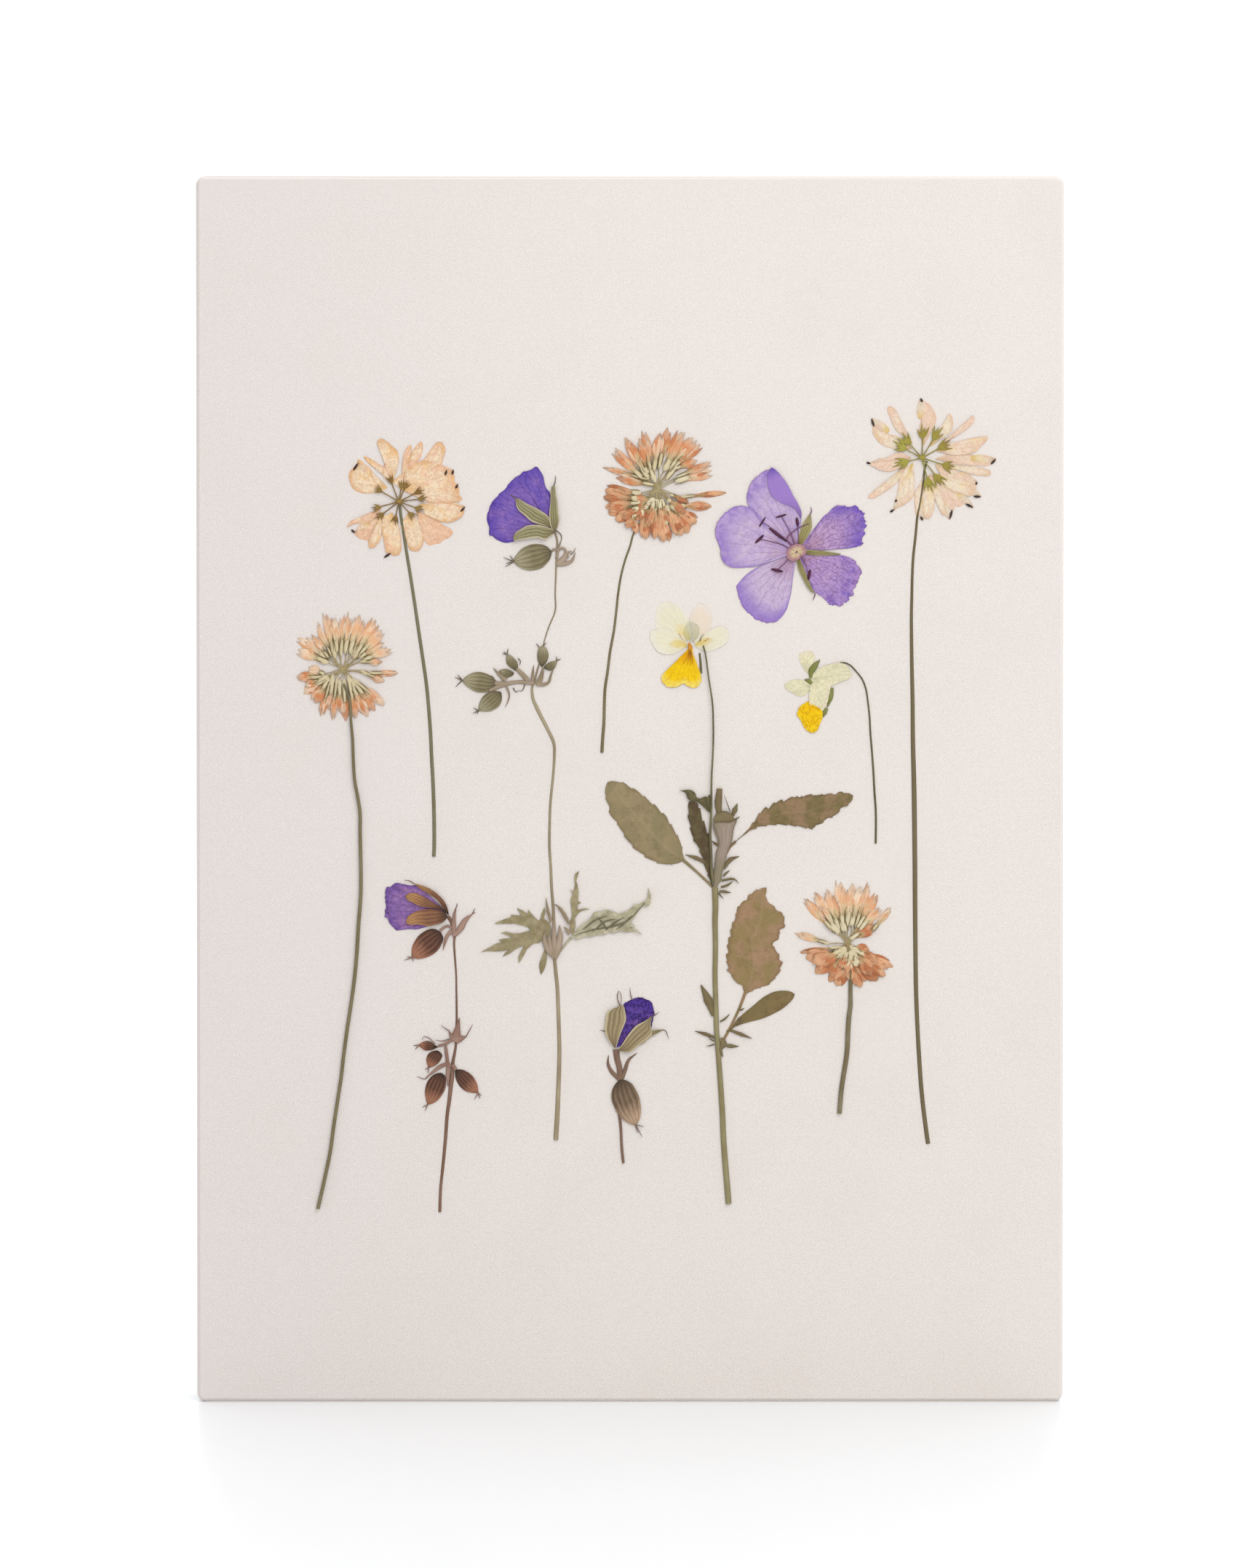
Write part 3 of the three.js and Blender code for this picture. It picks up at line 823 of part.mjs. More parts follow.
const NODDING_STALK = [
  [51.4, 179.4], [53.5, 178.6], [56, 175.6], [57.3, 172], [58, 166.2], [58.6, 157.5], [59.2, 148], [59.5, 142],
  [59.4, 135.8],
];
const NODDING_STALK_WIDTHS = [0.3, 0.3, 0.4, 0.4, 0.45];
const NODDING_PETALS = {
  upper: [[43, 182.2], [41.2, 181.5], [41, 179.6], [42.2, 177.4], [43.4, 175], [44.6, 175.4], [44.6, 178], [44.7, 180.6]],
  left: [[37.6, 173.8], [39.3, 175], [42.5, 174.8], [44.2, 173.6], [42.4, 171.3], [40, 171.4]],
  right: [
    [51, 179.1], [53, 177.9], [53.4, 175.8], [50, 174.2], [47.7, 173], [45, 174.4], [44.6, 176.4], [47, 178.2],
  ],
};
const NODDING_BODY = [
  [44.4, 177], [46.8, 175.6], [48.6, 173.3], [48, 170.4], [47.2, 168.2], [45.6, 168.6], [43.8, 169.6], [43.3, 172],
  [43.5, 174.6],
];
const NODDING_YELLOW = [
  [43.4, 169.8], [41.4, 168.9], [40.4, 166.9], [42, 163.9], [44.1, 162.4], [45.5, 163.2], [46.6, 166.6],
  [46, 168.3], [44.6, 168.6],
];
const NODDING_SEPALS = [
  [[[43.7, 176.6], [44.2, 178.6], [45.8, 179.9]], 1.5], [[[44, 174.2], [43.2, 174.7], [42, 175]], 1.1],
  [[[47.3, 169.8], [47.1, 168], [46.7, 166.4]], 0.9], [[[48, 170.7], [48.1, 172], [48.5, 173.3]], 1],
];

function addNoddingViola() {
  const flower = fuse([
    ...Object.values(NODDING_PETALS).map((outline) => sheet(roundOff(outline), GLUE_LINE, PETAL_THICK)),
    sheet(roundOff(NODDING_BODY), GLUE_LINE, 0.4),
    ...NODDING_SEPALS.map(([line, width]) => blade(line, width, GLUE_LINE, 0.5)),
  ]);
  add(face, 'nodding_viola_petals', cut(flower, roomFor(NODDING_STALK, NODDING_STALK_WIDTHS)), CREAM);
  add(face, 'nodding_viola_petal_yellow', petal(NODDING_YELLOW, 1.5), YELLOW);
  add(face, 'nodding_viola_stalk', stem(NODDING_STALK, NODDING_STALK_WIDTHS), BROWN_STEM);
}

addBoard();
addVetches();
addClovers();
addOpenFlower();
addTallCranesbill();
addLowCranesbill();
addSmallCranesbill();
addTallViola();
addNoddingViola();
board.add(face);

export default board;
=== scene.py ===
"""Pressed wild flowers on a canvas-wrapped stretcher board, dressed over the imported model.

Plant pieces are drawn on the face of the board in millimetres: x to the right, z up from the base, rise out
of the canvas. Blender's own units are metres.
"""

from math import cos, pi, radians, sin

import bpy
import numpy as np
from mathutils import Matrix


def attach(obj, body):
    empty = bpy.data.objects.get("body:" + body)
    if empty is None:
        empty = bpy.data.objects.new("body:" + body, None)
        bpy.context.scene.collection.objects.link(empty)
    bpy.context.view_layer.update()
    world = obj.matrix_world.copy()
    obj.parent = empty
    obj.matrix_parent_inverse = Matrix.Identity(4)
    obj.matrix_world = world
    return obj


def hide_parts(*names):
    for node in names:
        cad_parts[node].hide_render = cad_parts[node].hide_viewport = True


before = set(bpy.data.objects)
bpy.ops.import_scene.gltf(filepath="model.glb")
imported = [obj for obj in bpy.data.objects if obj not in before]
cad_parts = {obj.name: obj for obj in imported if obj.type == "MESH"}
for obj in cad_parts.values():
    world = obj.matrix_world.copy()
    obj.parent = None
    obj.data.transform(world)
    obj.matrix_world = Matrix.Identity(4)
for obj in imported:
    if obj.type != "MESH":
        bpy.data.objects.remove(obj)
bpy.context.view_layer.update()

MM = 0.001
BOARD_WIDE = 210.0
BOARD_HIGH = 297.0
BOARD_DEEP = 18.0
FRONT = -BOARD_DEEP / 2
GLUE_LINE = 0.05
DRIED_THICK = 0.08

# Camera and studio


def add_camera():
    """Almost square on, a touch above the middle, framed as the photograph is."""
    photo_high_px = 2156
    px_per_mm = 5.677
    frame_high = photo_high_px / px_per_mm
    sensor = 24
    distance = 1200.0
    lift = radians(0.8)
    aim = (-0.6, FRONT, 149.9)
    bpy.ops.object.camera_add(
        location=(aim[0] * MM, (aim[1] - distance * cos(lift)) * MM, (aim[2] + distance * sin(lift)) * MM),
        rotation=(pi / 2 - lift, 0, 0),
    )
    camera = bpy.context.object
    camera.name = "photo_camera"
    camera.data.sensor_fit = "VERTICAL"
    camera.data.sensor_height = sensor
    camera.data.lens = sensor / 2 / (frame_high / 2 / distance)
    camera.data.clip_start = 0.01
    camera.data.clip_end = 50
    bpy.context.scene.camera = camera


def add_light(name, size, power, place, turn):
    """A softbox, with its size and place in metres and its power in watts."""
    bpy.ops.object.light_add(type="AREA", location=place, rotation=turn)
    lamp = bpy.context.object
    lamp.name = name
    lamp.data.shape = "RECTANGLE"
    lamp.data.size, lamp.data.size_y = size
    lamp.data.energy = power


def add_studio():
    world = bpy.data.worlds.new("studio_air")
    world.use_nodes = True
    world.node_tree.nodes["Background"].inputs["Color"].default_value = (1, 1, 1, 1)
    world.node_tree.nodes["Background"].inputs["Strength"].default_value = 0.65
    bpy.context.scene.view_settings.view_transform = "Standard"
    bpy.context.scene.world = world
    add_light("key_softbox", (0.8, 0.8), 7.6, (0.6, -1.0, 1.05), (radians(52), 0, radians(30)))
    add_light("backdrop_softbox", (2.5, 1.0), 30, (0, 0.9, 1.9), (radians(60), 0, 0))
    add_light("overhead_softbox", (3.0, 3.0), 28.5, (0, 0.4, 2.4), (0, 0, 0))


def add_floor():
    """A plain pale sweep: floor in front, curved up into a wall far behind."""
    bpy.ops.object.select_all(action="DESELECT")
    bpy.ops.mesh.primitive_plane_add(size=6, location=(0, -0.6, 0))
    floor = bpy.context.object
    floor.name = "studio_sweep"
    bpy.ops.object.mode_set(mode="EDIT")
    bpy.ops.mesh.select_mode(type="EDGE")
    bpy.ops.mesh.select_all(action="DESELECT")
    bpy.ops.object.mode_set(mode="OBJECT")
    for edge in floor.data.edges:
        edge.select = all(floor.data.vertices[corner].co.y > 0 for corner in edge.vertices)
    bpy.ops.object.mode_set(mode="EDIT")
    bpy.ops.mesh.extrude_region_move(TRANSFORM_OT_translate={"value": (0, 0, 4)})
    bpy.ops.object.mode_set(mode="OBJECT")
    for edge in floor.data.edges:
        ends = [floor.data.vertices[corner].co for corner in edge.vertices]
        edge.select = all(end.y > 2 and end.z < 0.1 for end in ends)
    bpy.ops.object.mode_set(mode="EDIT")
    bpy.ops.mesh.bevel(offset=1.5, segments=16)
    bpy.ops.object.mode_set(mode="OBJECT")
    bpy.ops.object.transform_apply(location=True)
    bpy.ops.object.shade_smooth()
    finish = Finish("pale_gloss_floor", roughness=0.32)
    finish.paint((240, 242, 244))
    floor.data.materials.append(finish.material)


# Shader sums


def ink(colour):
    """A colour given as a paint chart gives it, three numbers from 0 to 255, on the renderer's scale."""
    parts = [part / 255 for part in colour]
    scaled = [part / 12.92 if part < 0.04045 else ((part + 0.055) / 1.055) ** 2.4 for part in parts]
    return (*scaled, 1.0)


class Amount:
    """A number that changes over the surface. Sums on it add Math nodes."""

    def __init__(self, tree, socket):
        self.tree = tree
        self.socket = socket

    def sum(self, operation, first, second=0.0):
        node = self.tree.nodes.new("ShaderNodeMath")
        node.operation = operation
        for hole, item in zip(node.inputs, (first, second)):
            if isinstance(item, Amount):
                self.tree.links.new(item.socket, hole)
            else:
                hole.default_value = item
        return Amount(self.tree, node.outputs[0])

    def __add__(self, other):
        return self.sum("ADD", self, other)

    def __radd__(self, other):
        return self.sum("ADD", other, self)

    def __sub__(self, other):
        return self.sum("SUBTRACT", self, other)

    def __rsub__(self, other):
        return self.sum("SUBTRACT", other, self)

    def __mul__(self, other):
        return self.sum("MULTIPLY", self, other)

    def __abs__(self):
        return self.sum("ABSOLUTE", self)

    def sine(self):
        return self.sum("SINE", self)

    def between(self, low, high):
        """0 below low, 1 above high, with a soft change between them."""
        node = self.tree.nodes.new("ShaderNodeMapRange")
        node.interpolation_type = "SMOOTHSTEP"
        self.tree.links.new(self.socket, node.inputs["Value"])
        node.inputs["From Min"].default_value = low
        node.inputs["From Max"].default_value = high
        return Amount(self.tree, node.outputs[0])


class Finish:
    """One material, with its nodes made by a few short calls. Colours are given as for ink."""

    def __init__(self, name, roughness=0.8, specular=0.3):
        self.material = bpy.data.materials.new(name)
        self.material.use_nodes = True
        self.tree = self.material.node_tree
        self.shader = self.tree.nodes["Principled BSDF"]
        self.shader.inputs["Roughness"].default_value = roughness
        self.shader.inputs["Specular IOR Level"].default_value = specular

    def node(self, kind, settings, values, output=0):
        node = self.tree.nodes.new("ShaderNode" + kind)
        for name, value in settings.items():
            if name == "stops":
                self.set_stops(node.color_ramp, value)
            else:
                setattr(node, name, value)
        for name, value in values.items():
            self.feed(node.inputs[name], value)
        return Amount(self.tree, node.outputs[output])

    def set_stops(self, ramp, stops):
        while len(ramp.elements) < len(stops):
            ramp.elements.new(0.5)
        for element, (place, colour) in zip(ramp.elements, stops):
            element.position = place
            element.color = ink(colour)

    def feed(self, hole, value):
        if isinstance(value, Amount):
            self.tree.links.new(value.socket, hole)
        else:
            hole.default_value = value

    def feed_colour(self, hole, colour):
        self.feed(hole, colour if isinstance(colour, Amount) else ink(colour))

    def place(self):
        """Object coordinates in millimetres, as three amounts."""
        spot = self.node("TexCoord", {}, {}, "Object")
        parts = self.tree.nodes.new("ShaderNodeSeparateXYZ")
        self.tree.links.new(spot.socket, parts.inputs[0])
        return [Amount(self.tree, output) * (1 / MM) for output in parts.outputs]

    def map(self):
        """The piece's own map: how far across it and how far along it, from 0 to 1."""
        spot = self.node("UVMap", {"uv_map": "UVMap"}, {})
        parts = self.tree.nodes.new("ShaderNodeSeparateXYZ")
        self.tree.links.new(spot.socket, parts.inputs[0])
        return Amount(self.tree, parts.outputs[0]), Amount(self.tree, parts.outputs[1])

    def tone(self):
        """A number from 0 to 1 that each blade of a joined piece has to itself."""
        return self.node("Attribute", {"attribute_name": "tone"}, {}, "Fac")

    def noise(self, size, detail=3.0, stretch=(1, 1, 1), rough=0.55):
        """Soft blotches about so many millimetres across, on object coordinates."""
        spot = self.node("TexCoord", {}, {}, "Object")
        scale = tuple(1 / MM / size / part for part in stretch)
        scaled = self.node("Mapping", {}, {"Vector": spot, "Scale": scale})
        values = {"Vector": scaled, "Scale": 1.0, "Detail": detail, "Roughness": rough}
        return self.node("TexNoise", {}, values)

    def mix(self, share, low, high):
        node = self.tree.nodes.new("ShaderNodeMix")
        node.data_type = "RGBA"
        self.feed(node.inputs[0], share)
        self.feed_colour(node.inputs[6], low)
        self.feed_colour(node.inputs[7], high)
        return Amount(self.tree, node.outputs[2])

    def ramp(self, share, stops):
        return self.node("ValToRGB", {"stops": stops}, {"Fac": share})

    def paint(self, colour):
        self.feed_colour(self.shader.inputs["Base Color"], colour)

    def emboss(self, height, deep):
        """A relief so many millimetres deep."""
        bump = self.node("Bump", {}, {"Height": height, "Distance": deep * MM, "Strength": 1.0})
        self.feed(self.shader.inputs["Normal"], bump)

    def thin(self, share):
        self.feed(self.shader.inputs["Alpha"], share)


# Materials


def canvas_finish():
    finish = Finish("primed_canvas", roughness=0.9, specular=0.2)
    x, y, z = finish.place()
    pitch = 0.44
    turn = 2 * pi / pitch
    slub = finish.noise(2.2, 2.0, (6, 1, 1))
    warp = (x * turn + slub).sine()
    weft = (z * turn + slub).sine()
    depth = (y * turn).sine()
    weave = warp * weft + depth * (warp + weft) * 0.5
    mottle = finish.noise(26, 4.0)
    fine = finish.noise(0.7, 2.0)
    # The ground is pinker and a little darker at the left, lighter cream from a little past the middle to the
    # right.
    towards_right = (x * (1 / BOARD_WIDE) + 0.5).between(0.0, 0.55)
    ground = finish.mix(towards_right, (237, 227, 223), (242, 233, 226))
    aged = finish.mix(mottle.between(0.42, 0.7) * 0.35, ground, (234, 224, 216))
    # Painted shade: the low points of the weave, its hollows in the relief, are painted darker.
    thread = finish.mix(weave.between(-0.9, 0.6) * (0.4 + fine), (221, 214, 208), aged)
    from_side = BOARD_WIDE / 2 - abs(x)
    from_end = BOARD_HIGH / 2 - abs(z - BOARD_HIGH / 2)
    # Painted shade along the creases of the four folded-in corners on the back, also sunk in the relief.
    fold_shade_line = 1 - abs(from_side - from_end).between(0.15, 0.8)
    fold = fold_shade_line * y.between(BOARD_DEEP / 2 - 0.4, BOARD_DEEP / 2 - 0.2)
    cloth = finish.mix(0.62, aged, thread)
    finish.paint(finish.mix(fold * 0.7, cloth, (168, 156, 146)))
    finish.emboss(weave + fine - fold * 8, 0.035)
    return finish.material


def pine_finish(name, long_x, long_z):
    """Planed pine whose grain is drawn out along x or along z."""
    finish = Finish(name, roughness=0.6, specular=0.35)
    grain = finish.noise(3.2, 4.0, (long_x, 1, long_z))
    fibre = finish.noise(0.6, 3.0, (2 * long_x - 1, 1, 2 * long_z - 1))
    rings = (grain * 34.0).sine() * 0.5 + 0.5
    wood = finish.mix(rings * 0.6, (222, 192, 146), (194, 152, 99))
    finish.paint(finish.mix(fibre.between(0.5, 0.8) * 0.5, wood, (168, 126, 78)))
    finish.emboss(rings + fibre, 0.05)
    return finish.material


def petal_finish(name, heart, middle, rim, vein, veins=11, opacity=0.92, vein_share=0.45, mottled=0.35,
                 tint=None, crinkle=0.0, rim_start=0.8, fade=0.5):
    """A thin dried petal: colour changes from its foot to its rim, with fine veins that fan out.

    veins counts them; what follows are shares from 0 to 1, and a tint for blotches of another colour."""
    finish = Finish(name, roughness=0.75, specular=0.2)
    across, along = finish.map()
    wander = finish.noise(2.4, 3.0)
    blotch = finish.noise(3.6, 4.0)
    crepe = finish.noise(0.5, 3.0)
    stops = [(0.06, heart), (0.46, middle), (rim_start, middle), (0.97, rim)]
    body = finish.ramp(along + (blotch - 0.5) * 0.3, stops)
    body = finish.mix(blotch.between(0.5, 0.75) * mottled, body, heart)
    if tint:
        tinted = (finish.tone() * 0.7 + wander * 2.4 - 1.2).between(0.1, 0.7)
        body = finish.mix(tinted * 0.8, body, tint)
    lines = abs((across * (veins * pi) + wander * 3.0).sine())
    thread = (1 - lines.between(0.03, 0.32)) * (0.5 + crepe) * (1 - along * fade)
    body = finish.mix(thread * vein_share, body, vein)
    relief = crepe * 0.6 + lines * 0.5
    if crinkle:
        # Painted shade: creases are painted darker in the vein colour and sunk in the relief.
        creases = 1 - abs(finish.noise(1.5, 5.0) - 0.5).between(0.0, 0.045)
        body = finish.mix(creases * crinkle, body, vein)
        relief = relief - creases * crinkle
    finish.paint(finish.mix(along.between(0.965, 1.0) * 0.45, body, vein))
    finish.emboss(relief, 0.09)
    if opacity < 1:
        finish.thin((blotch - 0.5) * 0.16 + opacity + along.between(0.94, 1.0) * 0.1)
    return finish.material


def floret_finish(name, foot, tube, middle, tip, streak_and_fold_shade):
    """A narrow clover floret: cream foot, then orange, with a papery tip, painted shade along its folds and a
    dark outline.
    """
    finish = Finish(name, roughness=0.75, specular=0.25)
    across, along = finish.map()
    tone = finish.tone()
    blotch = finish.noise(1.2, 3.0)
    fine = finish.noise(0.35, 2.0)
    side = abs(across - 0.5) * 2.0
    stops = [(0.05, foot), (0.24, foot), (0.36, tube), (0.5, middle), (0.62, middle), (0.92, tip)]
    body = finish.ramp(along + (blotch - 0.5) * 0.3 + (tone - 0.5) * 0.2, stops)
    body = finish.mix(tone.between(0.3, 1.0) * 0.7, body, tip)
    body = finish.mix((1 - tone).between(0.6, 1.0) * 0.35, body, streak_and_fold_shade)
    # Painted shade: dark lines along the folds, where the relief is lowest.
    lines = abs((across * (4 * pi) + blotch * 2.0).sine())
    body = finish.mix((1 - lines.between(0.05, 0.5)) * 0.45, body, streak_and_fold_shade)
    finish.paint(finish.mix(side.between(0.78, 1.0) * 0.42, body, streak_and_fold_shade))
    finish.emboss(lines + fine * 0.5, 0.06)
    finish.thin((1 - along.between(0.7, 1.0) * 0.35) * 0.97)
    return finish.material


def stem_finish(name, main, shade, fleck):
    """A dried stem: fibres along it, painted shade down both sides and flecks of brown."""
    finish = Finish(name, roughness=0.7, specular=0.3)
    across = finish.map()[0]
    drift = finish.noise(9.0, 3.0)
    fine = finish.noise(0.5, 3.0, (1, 1, 5))
    side = (abs(across - 0.5) * 2.0).between(0.45, 1.0)
    body = finish.mix(drift.between(0.35, 0.65), main, fleck)
    # Painted shade: the colour darkens towards both sides of the piece; the fibre lines below take the same
    # darker colour.
    body = finish.mix(side * 0.65, body, shade)
    fibres = abs((across * 14.0 + fine).sine())
    finish.paint(finish.mix(fibres * 0.3, body, shade))
    finish.emboss(fibres + fine, 0.05)
    return finish.material


def leaf_finish(name, main, second, vein, rim, pairs=9, slant=0.9, patch=4.0):
    """A dried leaf: midrib, slanting side veins, dry blotches and a browned rim."""
    finish = Finish(name, roughness=0.8, specular=0.25)
    across, along = finish.map()
    blotch = finish.noise(patch, 4.0)
    fine = finish.noise(0.45, 3.0)
    middle = abs(across - 0.5) * 2.0
    body = finish.mix(blotch.between(0.38, 0.62), main, second)
    body = finish.mix(finish.noise(1.4, 4.0).between(0.5, 0.72) * 0.4, body, rim)
    slanted = abs(((along - middle * (slant * 0.12)) * (pairs * pi) + blotch * 0.8).sine())
    side_veins = (1 - slanted.between(0.04, 0.22)) * 0.22
    midrib = 1 - middle.between(0.03, 0.12)
    body = finish.mix(side_veins, body, vein)
    body = finish.mix(midrib * 0.18, body, vein)
    body = finish.mix(middle.between(0.8, 1.0) * 0.5, body, rim)
    finish.paint(finish.mix(fine.between(0.5, 0.8) * 0.3, body, rim))
    finish.emboss(midrib + side_veins + fine * 0.8, 0.07)
    return finish.material


def pod_finish(name, foot, middle, tip, groove_shade_and_fleck, ribs=5, margin=None):
    """A ribbed dried pod, bud or sepal: dark at its foot and ribbed lengthwise, with painted shade in the
    grooves, a painted highlight on the ridges and a papery margin.
    """
    finish = Finish(name, roughness=0.68, specular=0.3)
    across, along = finish.map()
    blotch = finish.noise(1.8, 3.0)
    fine = finish.noise(0.3, 3.0)
    stops = [(0.04, foot), (0.34, middle), (0.5, middle), (0.8, tip)]
    body = finish.ramp(along + (blotch - 0.5) * 0.25, stops)
    lines = abs((across * (ribs * pi) + blotch * 1.8).sine())
    ridge_highlight = lines.between(0.8, 1.0) * (along.between(0.1, 0.5) * 0.2 + 0.08)
    # Painted shade: dark lines down the grooves between the ribs, where the relief is lowest. The same colour
    # also gives fine flecks.
    body = finish.mix((1 - lines.between(0.04, 0.5)) * blotch.between(0.25, 0.7) * 0.65, body, groove_shade_and_fleck)
    # Painted highlight: the ridge tops are lightened in the margin colour, or in the tip colour where there
    # is no margin.
    body = finish.mix(ridge_highlight, body, margin or tip)
    if margin:
        body = finish.mix((abs(across - 0.5) * 2.0).between(0.68, 0.92) * 0.85, body, margin)
    finish.paint(finish.mix(fine.between(0.5, 0.8) * 0.35, body, groove_shade_and_fleck))
    finish.emboss(lines * 1.5 + fine, 0.08)
    return finish.material


# Shaping. Every measure is in millimetres

RANDOM = np.random.default_rng(7)


def spline(points, count):
    """Evenly spaced points on a smooth line through the given ones."""
    knots = np.array(points, float)
    ends = np.vstack([2 * knots[0] - knots[1], knots, 2 * knots[-1] - knots[-2]])
    share = np.linspace(0, 1, 10, endpoint=False)[:, None]
    parts = []
    for before, start, stop, after in zip(ends, ends[1:], ends[2:], ends[3:]):
        bend = 2 * before - 5 * start + 4 * stop - after
        twist = 3 * start - before - 3 * stop + after
        parts.append(start + ((stop - before) * share + bend * share**2 + twist * share**3) / 2)
    fine = np.vstack(parts + [knots[-1:]])
    run = np.concatenate([[0], np.cumsum(np.hypot(*np.diff(fine, axis=0).T))])
    at = np.linspace(0, run[-1], count)
    return np.stack([np.interp(at, run, fine[:, 0]), np.interp(at, run, fine[:, 1])], axis=1)


def lay_grid(name, columns, rows, place):
    """Adds a grid and lays it on the board. place turns (across, along) from 0 to 1 into x, z and rise."""
    bpy.ops.object.select_all(action="DESELECT")
    bpy.ops.mesh.primitive_grid_add(x_subdivisions=columns, y_subdivisions=rows, size=1)
    piece = bpy.context.object
    piece.name = name
    mesh = piece.data
    flat = np.empty(len(mesh.vertices) * 3)
    mesh.vertices.foreach_get("co", flat)
    across, along = flat[0::3] + 0.5, flat[1::3] + 0.5
    set_points(mesh, *place(across, along))
    if faces_back(mesh):
        set_points(mesh, *place(1 - across, along))
    set_tone(mesh)
    return piece


def set_points(mesh, x, z, rise):
    mesh.vertices.foreach_set("co", np.stack([x * MM, (FRONT - rise) * MM, z * MM], axis=1).ravel())
    mesh.update()


def faces_back(mesh):
    """Whether most of a sheet faces the board."""
    normals = np.empty(len(mesh.polygons) * 3)
    areas = np.empty(len(mesh.polygons))
    mesh.polygons.foreach_get("normal", normals)
    mesh.polygons.foreach_get("area", areas)
    return (normals[1::3] * areas).sum() > 0


def set_tone(mesh):
    """One number from 0 to 1 for the whole blade, by which a finish varies it."""
    tone = mesh.attributes.new("tone", "FLOAT", "POINT")
    tone.data.foreach_set("value", np.full(len(mesh.vertices), RANDOM.random()))


def weld(piece):
    """Joins the points of a laid sheet that meet at its foot and at its tip."""
    bpy.ops.object.mode_set(mode="EDIT")
    bpy.ops.mesh.select_all(action="SELECT")
    touching = 0.002 * MM
    bpy.ops.mesh.remove_doubles(threshold=touching)
    bpy.ops.object.mode_set(mode="OBJECT")
    return piece


def thicken(piece, thick):
    """Gives laid sheets their thickness, towards the canvas."""
    solid = piece.modifiers.new("thickness", "SOLIDIFY")
    solid.thickness = thick * MM
    solid.offset = -1
    bpy.ops.object.modifier_apply(modifier=solid.name)
    bpy.ops.object.shade_smooth_by_angle(angle=radians(50))


def ribbon(name, line, widths, low, crown, rows, columns=4, sway=0.0):
    """A strip along a line, raised in its middle: a stem, floret, sepal, awn or pod.

    Widths run along the line; low, crown and sway are heights, and rows and columns count its faces."""
    path = spline(line, rows + 1)
    ahead = np.gradient(path, axis=0)
    ahead /= np.hypot(ahead[:, 0], ahead[:, 1])[:, None]
    reach = np.interp(np.linspace(0, 1, rows + 1), np.linspace(0, 1, len(widths)), widths)
    turn = RANDOM.random() * 6

    def place(across, along):
        row = np.rint(along * rows).astype(int)
        side = (across - 0.5) * reach[row]
        height = crown * (1 - (2 * across - 1) ** 2) * np.minimum(reach[row] / max(widths), 1) ** 0.6
        wave = sway * np.sin(along * 7 + turn) * along
        x = path[row, 0] + ahead[row, 1] * side
        z = path[row, 1] - ahead[row, 0] * side
        return x, z, low + height + wave

    return lay_grid(name, columns, rows, place)


def fan(name, outline, foot, low, columns, rows, crown, ripple, folds, closed=False, ragged=0.02):
    """A petal that spreads from its foot to a drawn rim, a little cupped and rippled.

    Low, crown and ripple are heights, and folds counts the ripples. A closed rim runs round the foot too."""
    if closed:
        start = nearest(outline, foot)
        outline = outline[start:] + outline[:start + 1]
    rim = spline(outline, columns + 1)
    rim = foot + (rim - foot) * (1 + ragged * (RANDOM.random(columns + 1) - 0.6))[:, None]
    turn = RANDOM.random() * 6

    def place(across, along):
        edge = rim[np.rint(across * columns).astype(int)]
        cup = crown * np.sin(pi * np.minimum(along, 1)) * (0.4 + 0.6 * np.sin(pi * across))
        wave = ripple * along**2 * (1 + np.sin(across * folds * pi + turn)) / 2
        x = foot[0] + along * (edge[:, 0] - foot[0])
        z = foot[1] + along * (edge[:, 1] - foot[1])
        return x, z, low + cup + wave

    return weld(lay_grid(name, columns, rows, place))


def nearest(outline, spot):
    """Which point of an outline lies nearest to a spot."""
    apart = [(x - spot[0]) ** 2 + (z - spot[1]) ** 2 for x, z in outline]
    return apart.index(min(apart))


def leaf(name, outline, foot, tip, low, columns=14, rows=40, crown=0.25, ripple=0.12, ribs=0, saw=0):
    """A leaf laid between the two sides of a drawn outline, both from its foot to its tip.

    Low, crown and ripple are heights; ribs and saw count its lengthwise ribs and its teeth."""
    start = nearest(outline, foot)
    turned = outline[start:] + outline[:start]
    stop = nearest(turned, tip)
    left = spline(turned[:stop + 1], rows + 1)
    right = spline([turned[0]] + turned[:stop - 1:-1], rows + 1)
    turn = RANDOM.random() * 6
    if saw:
        tooth = 0.4
        out = left - right
        out *= tooth / np.maximum(np.hypot(out[:, 0], out[:, 1]), 1)[:, None]
        teeth = np.linspace(0, saw, rows + 1)[:, None] % 1
        left, right = left + out * teeth, right - out * teeth

    def place(across, along):
        row = np.rint(along * rows).astype(int)
        spot = left[row] + (right[row] - left[row]) * across[:, None]
        if ribs:
            keel = crown * (1 - (2 * across - 1) ** 2) * (0.85 + 0.15 * np.abs(np.cos(ribs * pi * across)))
        else:
            keel = crown * (1 - abs(2 * across - 1))
        keel = keel * np.sin(pi * np.clip(along, 0.02, 0.98)) ** 0.5
        wave = ripple * (1 + np.sin(along * 17 + turn + across * 4)) / 2
        return spot[:, 0], spot[:, 1], low + keel + wave

    return weld(lay_grid(name, columns, rows, place))


